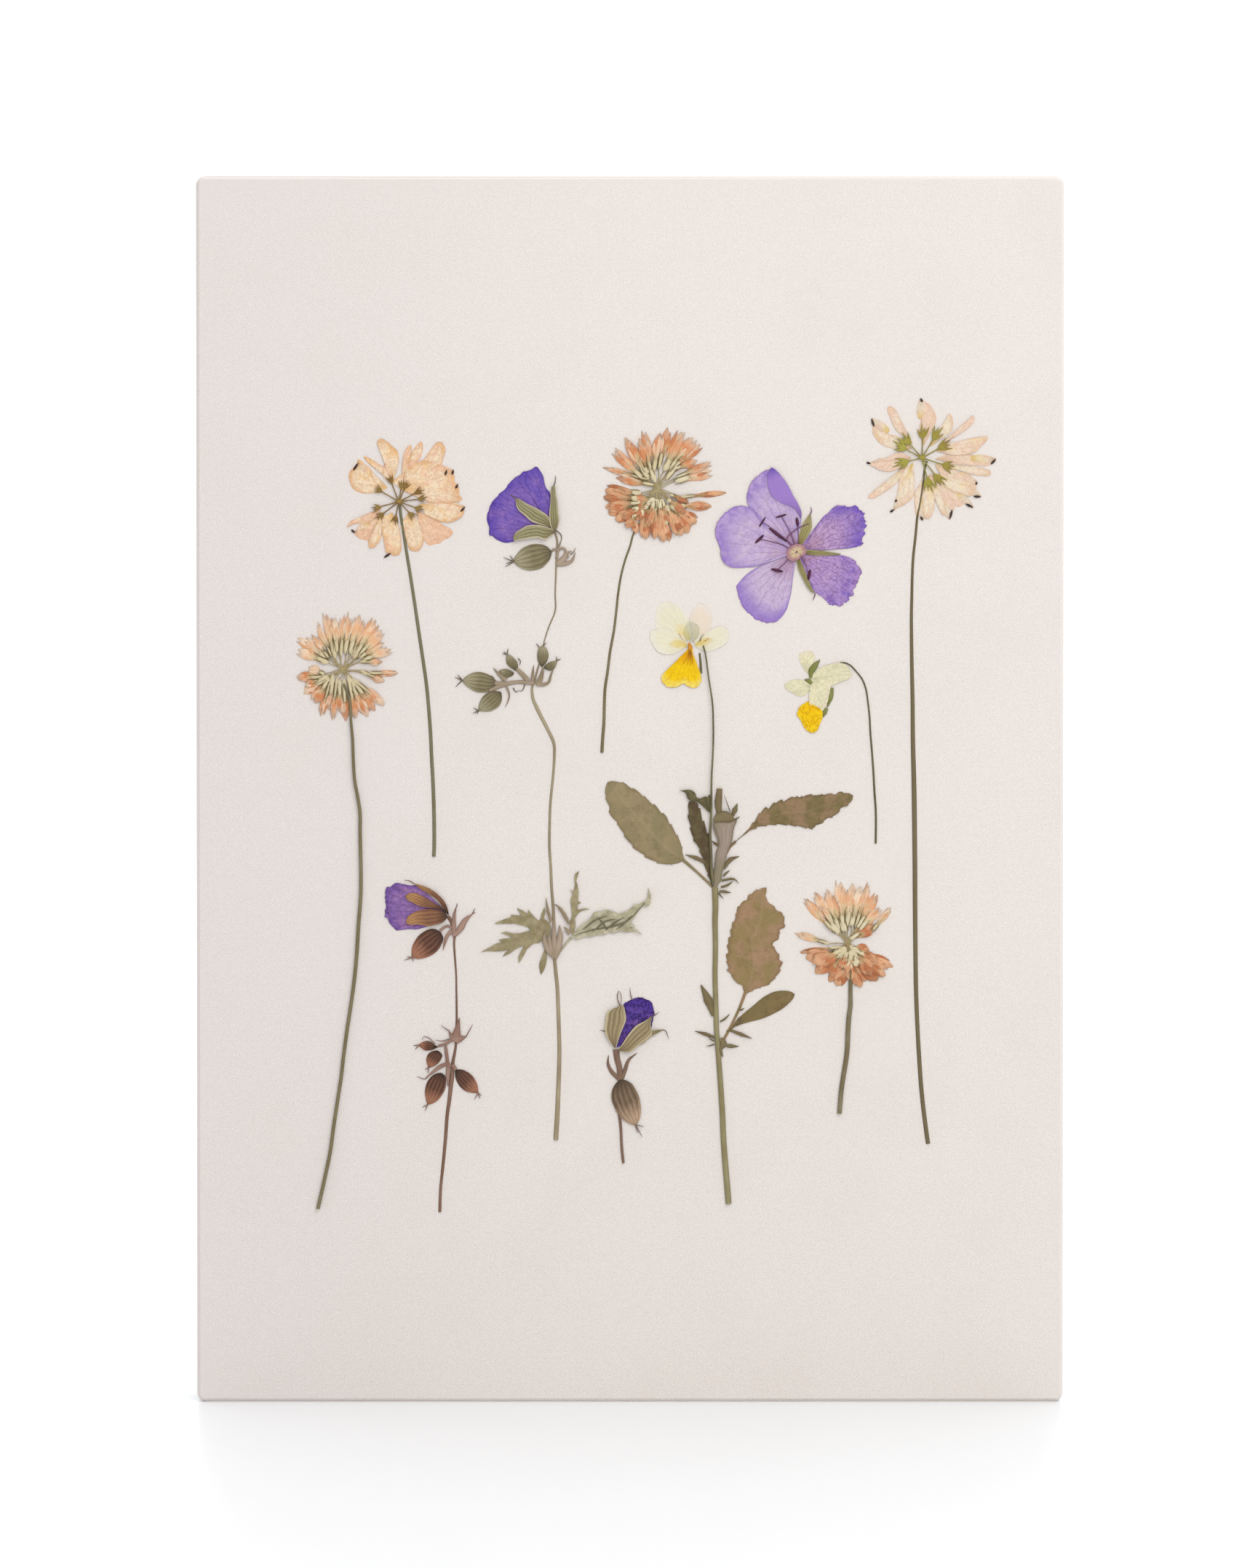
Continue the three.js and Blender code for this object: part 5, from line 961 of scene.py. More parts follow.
def florets(name, blossoms, low, material, nodes, puffed=False):
    """Each floret: a folded petal, and narrower ones that lean out of it and split its tip into points.

    Puffed florets are wider and blunter."""
    drawn = (0.3, 0.52, 0.84, 1.06, 1.02, 0.78, 0.2) if puffed else (0.24, 0.4, 0.72, 0.94, 0.9, 0.6, 0.08)
    blades = []
    for index, (foot, tip, width) in enumerate(blossoms):
        rise = low + 0.13 * (index % 3)
        body = [part * width for part in drawn]
        blades.append(ribbon(name, floret_line(foot, tip, 0, 1), body, rise, 0.2, 16, 6, 0.1))
        for side in (-1, 0.2, 1):
            reach = RANDOM.uniform(0.78, 0.98 if puffed else 1.08)
            lean = side * width * RANDOM.uniform(0.22, 0.46)
            stop = floret_line(foot, tip, 0.3, reach, lean)[2]
            middle = floret_line(foot, tip, 0.3, reach, lean * 0.85)[1]
            start = floret_line(foot, tip, RANDOM.uniform(0.1, 0.35), 1)[0]
            shape = [part * width for part in (0.12, 0.3, 0.44, 0.3, 0.03)]
            over = rise + 0.1 + 0.05 * side
            blades.append(ribbon(name, [start, middle, stop], shape, over, 0.14, 12, 4, 0.1))
    gather(name, blades, material, nodes)


def clover_middle(name, centre, blossoms, low, lower_tubes, tube, tooth, thread):
    """Round the middle: cream calyx tubes with fine green teeth, on threads that come out of the centre.

    lower_tubes says where tubes under the centre start and stop, as shares of their florets."""
    tubes = []
    teeth = []
    threads = []
    for foot, tip, width in blossoms:
        wide = min(width, 2.6) * RANDOM.uniform(0.46, 0.64)
        start, stop = (-0.12, 0.25) if tip[1] > centre[1] else lower_tubes
        start += RANDOM.uniform(-0.08, 0.08)
        stop += RANDOM.uniform(-0.07, 0.07)
        rise = low + 0.08 * RANDOM.random()
        shape = [part * wide for part in (0.4, 0.9, 1.0, 0.9, 0.5)]
        tubes.append(ribbon(name, floret_line(foot, tip, start, stop), shape, rise, 0.22, 12, 6))
        for side in (-1, 1):
            reach = stop + RANDOM.uniform(0.06, 0.22)
            shift = side * wide * RANDOM.uniform(0.3, 0.6)
            line = floret_line(foot, tip, RANDOM.uniform(-0.2, 0.05), reach, shift)
            teeth.append(ribbon(name, line, [0.1, 0.18, 0.15, 0.03], rise + 0.16, 0.08, 8, 3))
        inner = floret_line(foot, tip, start, stop)[0]
        bend = ((centre[0] + inner[0]) / 2 + RANDOM.uniform(-0.4, 0.4), (centre[1] + inner[1]) / 2)
        spread = (centre[0] + RANDOM.uniform(-0.7, 0.7), centre[1] + RANDOM.uniform(-0.7, 0.7))
        threads.append(ribbon(name, [spread, bend, inner], [0.26, 0.2, 0.26], low - 0.1, 0.16, 10, 4))
    gather(name + "_tubes", tubes, tube, ())
    gather(name + "_teeth", teeth, tooth, ())
    gather(name + "_threads", threads, thread, ())


def clover_head(name, centre, blossoms, drooping, lower_tubes, upper_finish, lower_finish, green_finishes):
    """Paler florets above the centre, browner ones below it, and the drooping ones over them."""
    upper = [blossom for blossom in blossoms if blossom[1][1] > centre[1]]
    lower = [blossom for blossom in blossoms if blossom[1][1] <= centre[1]]
    florets(name + "_upper_florets", upper, GLUE_LINE, upper_finish, [name + "_head"])
    florets(name + "_lower_florets", lower, GLUE_LINE, lower_finish, (), True)
    if drooping:
        florets(name + "_drooping", drooping, 0.3, lower_finish, (), True)
    clover_middle(name + "_middle", centre, blossoms + drooping, 0.42, lower_tubes, *green_finishes)


def add_clovers():
    pale = floret_finish("clover_pale_orange", (222, 208, 164), (236, 208, 166), (238, 190, 148),
                         (248, 226, 200), (222, 146, 98))
    rosy = floret_finish("clover_rosy_orange", (218, 198, 150), (228, 176, 128), (224, 152, 104),
                         (246, 218, 188), (184, 102, 62))
    brown = floret_finish("clover_brown_pink", (206, 172, 126), (200, 134, 94), (200, 126, 84),
                          (236, 184, 142), (144, 82, 52))
    tube = stem_finish("clover_calyx", (234, 222, 190), (188, 172, 130), (220, 202, 162))
    tooth = stem_finish("clover_tooth", (146, 134, 82), (116, 104, 60), (134, 116, 70))
    thread = stem_finish("clover_pedicel", (222, 206, 158), (172, 154, 104), (200, 174, 124))
    greens = (tube, tooth, thread)
    green = stem_finish("clover_stem", (142, 132, 102), (102, 94, 68), (128, 114, 80))
    olive = stem_finish("clover_right_stem", (150, 142, 114), (98, 90, 64), (124, 108, 78))
    clover_head("clover_top", CLOVER_TOP_CENTRE, CLOVER_TOP_FLORETS, CLOVER_TOP_DROOPING, (-0.2, 0.08), rosy,
                brown, greens)
    clover_head("clover_left", CLOVER_LEFT_CENTRE, CLOVER_LEFT_FLORETS, [], (-0.3, 0.34), pale, rosy, greens)
    clover_head("clover_right", CLOVER_RIGHT_CENTRE, CLOVER_RIGHT_FLORETS, CLOVER_RIGHT_DROOPING,
                (-0.3, 0.06), pale, brown, greens)
    stem_piece("clover_top_stalk", CLOVER_TOP_STEM, [0.45, 0.5, 0.6, 0.7, 0.8], green, ["clover_top_stem"])
    stem_piece("clover_left_stalk", CLOVER_LEFT_STEM, [0.6, 0.85, 0.9, 0.85, 0.9], green,
               ["clover_left_stem"], 0.7)
    stem_piece("clover_right_stalk", CLOVER_RIGHT_STEM, [0.8, 1.15, 1.15, 1.1], olive, ["clover_right_stem"],
               0.4)


# The open cranesbill flower. Its folded-over piece shares an edge with the top petal

OPEN_PETALS = {
    "lower_left": [
        (39.6, 204.1), (39.4, 201.5), (39.1, 198.7), (38.8, 195.6), (38.2, 192.8), (37.5, 191.4),
        (36.4, 190), (35.3, 189.1), (33.9, 188.9), (32.2, 189.1), (30.5, 189.7), (29.3, 190.8),
        (27.6, 192.2), (26.8, 193.9), (26.2, 195.6), (25.6, 197.3), (25.9, 198.1), (27.3, 199.8),
        (28.7, 201), (30.4, 202.1), (32.7, 203.2), (35, 204.4), (37.8, 204.9),
    ],
    "lower_right": [
        (41.5, 204.9), (42.1, 202.1), (43.2, 199.5), (44.3, 197), (45.2, 195.9), (46.3, 195.3),
        (47.5, 194.2), (48.3, 193.3), (49.7, 193.3), (51.2, 192.9), (52, 193.6), (53.1, 194.7),
        (54, 195.6), (54.5, 197), (55.4, 198.4), (56, 200.4), (55.8, 202.1), (54.8, 203.5), (53.4, 204.6),
        (51.7, 205.2), (49.2, 205.6), (46.3, 206), (43.5, 206),
    ],
    "upper_right": [
        (42.1, 207.2), (44.6, 206.7), (48, 206.8), (51.2, 206.8), (53.7, 207.1), (55.7, 207.6),
        (56.4, 208.6), (56.8, 210.8), (57.2, 212.8), (56.8, 214.8), (55.7, 216.5), (54.3, 217.2),
        (52.6, 217.1), (50.9, 217.4), (49.5, 217.1), (48.1, 215.7), (46.4, 214.2), (45.2, 212),
        (44, 210.3), (42.9, 208.3),
    ],
    "top": [
        (40.3, 207), (40.4, 209.4), (40.6, 212.3), (41.4, 213.9), (41.5, 215.4), (41.2, 216.5),
        (40.4, 218.2), (39.5, 219.6), (38.7, 221.3), (37.5, 223.3), (36.1, 225), (35, 226.1),
        (34.3, 226.5), (33.6, 226.1), (32.1, 225.4), (30.7, 224.3), (29.3, 222.8), (28.5, 221),
        (28.2, 219), (28.5, 217.6), (29.3, 216.2), (30.7, 214.5), (33.6, 212.3), (36.4, 209.7),
        (38.4, 207.7), (39.5, 206.9),
    ],
    "left": [
        (38.4, 206.6), (36.4, 208.6), (33.9, 210.6), (31.6, 213.1), (30.2, 215.6), (29.3, 216.5),
        (27.9, 217.1), (26.5, 217.3), (25.1, 216.9), (23.7, 216.1), (22.2, 214.8), (21.1, 213.1),
        (20.5, 211.1), (20.7, 209.4), (21.7, 207.2), (22, 205.2), (22.5, 203.8), (23.65, 202.7),
        (25.4, 202.2), (27.6, 202.3), (29.3, 202.4), (30.7, 202.65), (33, 203.8), (35.6, 204.9),
        (37.8, 205.8),
    ],
}
OPEN_CENTRE = (40.4, 206.1)
OPEN_FOLD = [
    (34.3, 226.5), (33.4, 225), (33.3, 223), (33.6, 221.3), (34.4, 219.6), (35.6, 218.5), (37.3, 217.6),
    (39, 217), (40.1, 216.3), (40.6, 215.4), (41.3, 214.2), *OPEN_PETALS["top"][4:12],
]
OPEN_HEART = [
    (37.8, 205.5), (38.7, 207.2), (40.6, 208), (42.4, 207.2), (42.6, 205.8), (41.2, 204.6), (39.8, 203.8),
    (38.4, 204.3),
]
OPEN_SEPALS = {
    "upper": ([
        (40.9, 207.8), (40.6, 209.4), (41.2, 211.4), (42.1, 213.4), (42.9, 214.5), (43.6, 215.4),
        (43.9, 213.9), (43.9, 211.7), (42.9, 209.7), (41.5, 207.7)], (41.1, 207.7), (43.6, 215.4)),
    "right": ([
        (42.4, 206.6), (44.9, 206.5), (47.8, 206.1), (51, 205.6), (50.6, 205.3), (47.8, 205.2),
        (44.9, 205.2), (42.6, 205.5)], (42.4, 206), (51, 205.5)),
    "lower": ([
        (40.65, 204.9), (41.5, 203.5), (42.9, 200.1), (44, 197.3), (44.8, 195.9), (43.5, 196.7), (42.1, 199),
        (40.9, 201.5), (40.4, 203.5)], (40.5, 204.6), (44.8, 195.9)),
}
OPEN_ANTHERS = [
    ((34.1, 201.9), (37, 201.3), 0.8), ((30.3, 208.2), (32.3, 210.1), 0.7),
    ((33.6, 211.8), (37.9, 208.6), 0.8), ((40.3, 214.4), (40.6, 212.2), 0.7),
    ((35.3, 214.4), (37.8, 215.1), 0.45), ((32.7, 214.4), (31.3, 212.2), 0.4),
    ((43.6, 201.8), (43.1, 199.3), 0.8),
]
OPEN_STYLE = [(37.9, 209), (38.3, 210), (39.5, 211), (41, 212), (43.3, 212.9)]
OPEN_SEPAL_POINTS = [
    [(43.6, 215.2), (43.9, 216), (43.7, 217)], [(44.8, 196), (44.6, 195.2), (44.2, 194.3)],
]


def add_open_flower():
    lavender = petal_finish("lavender_petal", (178, 136, 150), (194, 160, 202), (118, 90, 188),
                            (112, 72, 132), 15, 0.92, 0.85, 0.35, (184, 150, 204), 0.45, 0.58, 0.8)
    pale = petal_finish("pale_lavender_petal", (184, 144, 166), (212, 190, 220), (160, 132, 206),
                        (128, 88, 146), 15, 0.86, 0.7, 0.2, (196, 172, 216), 0.22, 0.72, 0.95)
    deep = petal_finish("folded_lavender", (154, 122, 190), (158, 126, 196), (118, 90, 182), (126, 96, 178),
                        9, 1.0, 0.4, 0.2)
    sepal = pod_finish("open_sepal", (126, 112, 66), (156, 146, 92), (168, 158, 110), (96, 78, 48), 4,
                       (176, 164, 130))
    anther = pod_finish("anther_dust", (84, 42, 62), (92, 44, 72), (74, 38, 62), (52, 28, 44), 2)
    thread = stem_finish("filament", (158, 106, 152), (118, 70, 114), (138, 92, 116))
    hub = pod_finish("flower_heart", (232, 214, 164), (212, 188, 146), (176, 130, 136), (130, 96, 78), 6)
    for index, (place, outline) in enumerate(OPEN_PETALS.items()):
        low = GLUE_LINE + 0.05 * index
        shade = lavender if "right" in place else pale
        ragged = 0.05 if "right" in place else 0.015
        part = fan(place, outline, OPEN_CENTRE, low, 90, 24, 0.12, 0.12, 9, False, ragged)
        gather("open_flower_" + place, [part], shade, ["open_flower_petal_" + place])
    fold = leaf("open_flower_fold", OPEN_FOLD, (41.4, 214.6), (34.3, 226.5), 0.46, 10, 24, 0.08, 0.08)
    gather("open_flower_fold", [fold], deep, ())
    for place, (outline, foot, tip) in OPEN_SEPALS.items():
        part = leaf("sepal", outline, foot, tip, 0.42, 8, 20, 0.15, 0.05)
        gather("open_flower_calyx_" + place, [part], sepal, ["open_flower_sepal_" + place])
    threads = []
    dust = []
    for near, far, width in OPEN_ANTHERS:
        middle = ((near[0] + far[0]) / 2, (near[1] + far[1]) / 2)
        bent = ((middle[0] + OPEN_CENTRE[0]) / 2 + 0.3, (middle[1] + OPEN_CENTRE[1]) / 2 + 0.4)
        threads.append(ribbon("filament", [OPEN_CENTRE, bent, middle], [0.36, 0.2, 0.16], 0.5, 0.1, 12, 3))
        dust.append(ribbon("anther", [near, middle, far], [0.3, width, width, 0.3], 0.55, 0.25, 10, 6))
    threads.append(ribbon("style", OPEN_STYLE, [0.3, 0.3, 0.15], 0.6, 0.12, 12, 3))
    threads += hairs(OPEN_SEPAL_POINTS, 0.3, 0.4)
    gather("open_flower_filaments", threads, thread, ["open_flower_stamens"])
    gather("open_flower_anthers", dust, anther, ())
    heart = fan("heart", OPEN_HEART, (40.2, 206), 0.5, 24, 6, 0.2, 0.1, 7, True)
    gather("open_flower_heart", [heart], hub, ())


# Tall cranesbill

TALL_FLOWER = [
    (-22.97, 226.8), (-22.45, 226.6), (-21.7, 225.6), (-21, 224.4), (-20.6, 222.4), (-20.1, 221.2),
    (-19.3, 220.3), (-19.2, 218.5), (-19, 214), (-18.6, 211.5), (-20, 210), (-24, 209.5), (-27.7, 208.7),
    (-28.9, 208.4), (-30, 208.3), (-31.2, 208.5), (-32.2, 209.1), (-33.2, 209.9), (-34.1, 210.1),
    (-34.1, 211.5), (-34.4, 213), (-34.6, 214.4), (-34.2, 216.5), (-33.3, 218.3), (-31.8, 219.9),
    (-30.9, 220.6), (-30, 221.6), (-28.9, 223), (-27.3, 224.3), (-25.65, 225.5), (-24, 226.1),
]
TALL_PETAL_RIGHT = [
    (-19.2, 213), (-22.2, 217), (-25.4, 222), (-25.2, 224.9), (-24, 226), (-22.97, 226.6), (-22.45, 226.4),
    (-21.7, 225.4), (-21, 224.2), (-20.6, 222.2), (-20.1, 221), (-19.4, 220), (-19.3, 218.5), (-19.1, 214),
]
TALL_PETAL_LEFT = [
    (-20, 211.8), (-24.5, 213.6), (-29, 216.8), (-33, 218), (-34, 216.4), (-34.4, 214.4), (-34.2, 213),
    (-33.9, 211.5), (-33.9, 210.3), (-33, 210.1), (-32.1, 209.4), (-31.2, 208.8), (-30, 208.5),
    (-27.7, 208.9), (-24, 209.7), (-20.2, 210.4),
]
TALL_SEPALS = [
    ([(-27.7, 219.1), (-26.9, 218.9), (-24.8, 217.7), (-22.4, 216.5), (-20.1, 215), (-19.3, 213.6),
      (-18.9, 212), (-19.9, 212.2), (-22.1, 212.8), (-23.8, 213.4), (-25.4, 214.8), (-26.9, 216.1),
      (-27.5, 217.3)],
     (-18.9, 212), (-27.7, 219.1), 0.62),
    ([(-18.95, 221.9), (-18.1, 222), (-17.9, 219.9), (-17.6, 218.5), (-17.3, 215.6), (-17.1, 214),
      (-17.3, 212.6), (-18, 211.1), (-18.85, 211.5), (-19.4, 213.2), (-19.5, 215.6), (-19.2, 218.5),
      (-19.2, 220.4)],
     (-18, 211.1), (-18.6, 222), 0.74),
    ([(-28.3, 209.5), (-27.7, 210.7), (-26.5, 211.5), (-24.8, 212.4), (-22.4, 212.6), (-20.5, 212.2),
      (-18.65, 211.5), (-18.2, 210.7), (-19.5, 209.7), (-20.3, 209), (-21.5, 209.2), (-22.1, 209.5),
      (-23.6, 209.4), (-25.65, 209.1), (-26.9, 208.9), (-27.9, 208.6)],
     (-18.2, 210.7), (-28.3, 209.2), 0.86),
]
TALL_POD = [
    (-28.1, 203.7), (-28, 204.6), (-27.3, 205.6), (-26.5, 206.6), (-25.2, 207.4), (-23.6, 207.9),
    (-21.7, 207.9), (-20.3, 207.5), (-19.7, 207), (-18.9, 206.2), (-19, 205.4), (-19.4, 204.2),
    (-20.3, 203.1), (-21.5, 202.1), (-23.6, 201.6), (-25.2, 201.7), (-26.5, 202.2), (-27.5, 202.9),
]
TALL_STEM = [
    (-18.3, 212), (-18.2, 211), (-17.7, 209.3), (-17.6, 207.8), (-17.8, 204), (-17.95, 200), (-18.1, 196),
    (-18.06, 192), (-19.2, 189), (-20, 186.9), (-20.8, 184.2), (-21.2, 182.1), (-21.75, 179.8),
    (-22.7, 176.4), (-23.1, 174.5), (-23.7, 173.2), (-23.6, 171.3), (-23.25, 169.9), (-21.75, 166.7),
    (-20.1, 163.5), (-18.5, 160), (-18.3, 157), (-18.6, 152), (-19.2, 146), (-19.4, 142), (-19.5, 135),
    (-19.2, 130), (-19, 125), (-18.6, 120), (-18.4, 115), (-18.6, 110), (-18.3, 107.8), (-18, 104.5),
    (-17.6, 100.8), (-17.4, 96.2), (-17.2, 90), (-17.1, 85), (-17.2, 80), (-17.4, 75), (-17.6, 70),
    (-17.9, 65), (-17.95, 63.6),
]
TALL_STEM_WIDTHS = [
    0.5, 0.5, 0.35, 0.32, 0.32, 0.5, 0.9, 0.8, 0.6, 0.6, 0.62, 0.65, 0.7, 0.8, 0.85, 0.9, 0.9, 0.95, 1.05,
    1.15, 1.2,
]
TALL_BUDS = [
    ([(-40.6, 175), (-39.8, 175.9), (-38.6, 176.6), (-37.2, 177), (-35.9, 176.95), (-34.7, 176.6),
      (-33.8, 176.15), (-33.1, 175.9), (-32.15, 174.3), (-32.8, 173.4), (-33.5, 172.5), (-34.9, 172.1),
      (-36.1, 172.05), (-37.2, 172.2), (-38.6, 172.9), (-40, 174)], (-32.15, 174.3), (-40.6, 175)),
    ([(-36.65, 167.6), (-36.65, 168.5), (-36.3, 169.9), (-35.6, 171.05), (-34.5, 172), (-33.1, 172.45),
      (-31.2, 172.2), (-31, 171.3), (-31.05, 170.1), (-31.5, 169), (-32.4, 168.2), (-33.5, 167.6),
      (-34.9, 167.4)],
     (-31.2, 172.2), (-36.65, 167.6)),
    ([(-31.7, 177.3), (-31, 177.7), (-29.85, 177.75), (-28.9, 177.4), (-28, 176.7), (-28.45, 176.1),
      (-29.4, 175.7), (-30.3, 175.6), (-31.2, 176.4)], (-28, 176.5), (-31.7, 177.3)),
    ([(-29.85, 181.3), (-28.9, 181.1), (-28, 180.3), (-27.3, 179.4), (-27.1, 178.2), (-27.5, 177.3),
      (-28.45, 177.75), (-29.6, 178.7), (-30, 179.8)], (-27.5, 177.3), (-29.85, 181.3)),
    ([(-22, 183), (-21.1, 183.4), (-20.4, 183), (-19.9, 182.1), (-19.7, 181), (-19.9, 180), (-20.4, 179.1),
      (-21.3, 178.2), (-22.2, 179.4), (-22.45, 181), (-22.3, 182.3)], (-21.3, 178.2), (-21.3, 183.4)),
    ([(-20, 179.1), (-19, 179.6), (-17.6, 179.8), (-17.7, 179.1), (-17.95, 178.3), (-18.5, 177.7),
      (-19.4, 177.35), (-20.6, 177.75), (-20.8, 178.4)], (-20.7, 178), (-17.6, 179.8)),
]
TALL_WHISKERS = [
    [(-40.6, 175), (-41.7, 176.4)], [(-40.6, 175), (-42.4, 175.8)], [(-40.6, 175), (-42.2, 173.4)],
    [(-36.65, 167.6), (-37.9, 168.4)], [(-36.65, 167.6), (-38, 167)], [(-36.65, 167.6), (-37, 166.9)],
    [(-29.85, 181.3), (-30.9, 181.5)], [(-29.85, 181.3), (-30.6, 182)], [(-29.7, 181.3), (-29.5, 182.7)],
    [(-22, 183), (-22.7, 183.9)], [(-21.1, 183.3), (-20.2, 184.1)], [(-17.6, 179.8), (-16.7, 180.2)],
    [(-17.7, 179.7), (-17.8, 180.8)], [(-28.1, 203.7), (-30.2, 202.5)], [(-28.1, 203.7), (-30, 203.3)],
    [(-28.1, 203.8), (-29.4, 204.2), (-30.6, 204.8)], [(-28.1, 203.9), (-29, 205.2)],
    [(-27.7, 219.1), (-28.9, 219.9)], [(-18.5, 221.9), (-18.1, 223), (-18, 224.5)],
    [(-17.9, 211.3), (-16.6, 210), (-16.8, 208)], [(-27.1, 180.3), (-26.5, 179.6), (-26.7, 178.7)],
    [(-28.3, 173.2), (-27.6, 172.2), (-26.8, 172.6)], [(-25.4, 174), (-26, 172.6), (-26.8, 172.4)],
    [(-14.4, 205.4), (-13.6, 206.1), (-13.2, 207)],
]
TALL_STALKS = [
    ([(-18.9, 206.3), (-18.2, 206.7), (-17.5, 206.4)], [0.6, 0.5]),
    ([(-23.7, 174.3), (-27, 174.6), (-30, 174.2), (-33, 174.3)], [0.9, 0.9, 1.1]),
    ([(-30, 174.1), (-32, 173.4), (-34, 172.6)], [1.0, 1.0]),
    ([(-24.6, 174.9), (-26, 176.4), (-27.6, 178)], [1.2, 1.1, 0.8]),
    ([(-30, 175), (-31.6, 176.4), (-33.1, 178)], [1.3, 0.8, 0.1]),
    ([(-30, 173.8), (-29.2, 171.6), (-29.5, 170), (-30.2, 168.5)], [0.6, 0.4, 0.3, 0.1]),
    ([(-22.7, 174), (-20.8, 174), (-19.6, 174.6), (-19.2, 176), (-18.6, 177.7)], [0.7, 0.9, 0.6, 0.5, 0.3]),
    ([(-23.7, 174), (-23.5, 176.6), (-23.3, 178.7)], [0.9, 0.7, 0.1]),
    ([(-22.3, 173.7), (-21.4, 175.4), (-20.9, 177.2)], [1.0, 0.8, 0.1]),
    ([(-20.9, 178.2), (-21.6, 176.2), (-22.6, 174.2)], [0.5, 0.7, 0.8]),
    ([(-17.7, 206.3), (-16, 206.9), (-14.9, 204.6)], [0.5, 0.6, 0.5]),
    ([(-17.7, 203.2), (-16, 204.4), (-15.4, 205.6), (-14, 206.3)], [1.0, 1.6, 1.0, 0.1]),
    ([(-17.7, 203), (-15.6, 203.2), (-14, 204), (-13.2, 206)], [0.9, 1.0, 0.7, 0.1]),
    ([(-17.7, 204.6), (-17.3, 207), (-16.6, 208.9)], [0.7, 0.7, 0.1]),
]
TALL_LEAF_LEFT = [
    (-32.9, 116.1), (-31, 116.9), (-28.7, 117.7), (-28.9, 118.2), (-27, 118.05), (-26.3, 118),
    (-27.4, 119.85), (-26, 119.25), (-24.7, 118.4), (-24.7, 119.5), (-23.4, 117.9), (-22, 116.7),
    (-21.5, 117.8), (-21.5, 118.4), (-20.7, 120), (-20.5, 118.7), (-20.9, 117.4), (-19.4, 116.1),
    (-19.1, 114.5), (-20, 112.8), (-22, 111.4), (-23.4, 111.3), (-25, 109.8), (-26, 107.8),
    (-26.9, 106.5), (-27, 108.1), (-26, 110.1), (-25.7, 110.8), (-27.4, 110.1), (-28.7, 109.1),
    (-30.9, 108), (-30.2, 109), (-29.2, 109.8), (-30.7, 109.5), (-32.7, 109.3), (-34.4, 109.5),
    (-36.2, 109.1), (-34, 110.3), (-32.3, 111.3), (-30.8, 111.6), (-31.9, 112.1), (-30.4, 112.4),
    (-28.7, 112.6), (-29.4, 113.1), (-30.5, 113.6), (-31.4, 113.8), (-30, 114.1), (-28.4, 113.7),
    (-26.7, 113.75), (-25, 114.2), (-24, 114.4), (-24.7, 115.2), (-26.4, 115.75), (-28, 116.1), (-30.7, 116),
]
TALL_LEAF_DOWN = [
    (-21.2, 108.4), (-21.9, 106.5), (-21.9, 105.1), (-21.5, 103.7), (-20.7, 105.1), (-20.2, 107.1),
    (-20.2, 108.8), (-20.7, 109.8),
]
TALL_LEAF_UP = [
    (-13.7, 113.1), (-13.2, 115.4), (-13.3, 117.4), (-12.7, 118.4), (-11.7, 119.2), (-9.7, 119.6),
    (-11, 119.8), (-12.7, 119.4), (-12.7, 120.7), (-11.8, 121.1), (-12.6, 121.6), (-12.4, 123.7),
    (-12.7, 125.4), (-13, 126.4), (-12.3, 128.9), (-13.3, 128.1), (-13.5, 127.1), (-13.3, 125.4),
    (-13.7, 123.7), (-14.6, 124.5), (-13.8, 123.2), (-14.4, 122), (-14.2, 120), (-14, 118.1),
    (-14.5, 116.7), (-14.6, 114.6),
]
TALL_LEAF_RIGHT = [
    (-14.3, 112.6), (-13.3, 114.1), (-12, 115.75), (-10.7, 116.4), (-9.3, 117.75), (-8.7, 118.9),
    (-7, 119.1), (-5.7, 119.4), (-4.3, 119.1), (-2.7, 118.4), (-0.7, 119.1), (1, 120.6), (2.3, 120.9),
    (4, 121.75), (4.3, 122.75), (4.4, 124.9), (5.1, 122.75), (5.05, 121.4), (4.65, 120.4), (3, 120.2),
    (2, 119.1), (1.3, 117.75), (0, 116.4), (1.35, 115.4), (-0.3, 115.1), (1.7, 114.6), (3, 113.3),
    (1.3, 114.1), (-0.3, 114), (-2.3, 114.3), (-4, 113.75), (-5, 113.9), (-6.7, 113.4), (-8.7, 113.1),
    (-11, 112.75), (-12.7, 112.3),
]
TALL_CREASES = [
    [(-11.5, 114.6), (-8.5, 116.9), (-5.5, 118)], [(-9, 114.2), (-6, 116.6), (-3.4, 117.2)],
    [(-6, 114.4), (-3.6, 116.4), (-1.4, 117.6)], [(-3.4, 114.6), (-1.6, 116), (0.6, 118.2)],
    [(-13.6, 113.2), (-9, 114.6), (-3.6, 115.6), (0, 117.2), (3.6, 121.2)],
    [(-8, 117.8), (-6.4, 116), (-5.4, 114.6)],
]
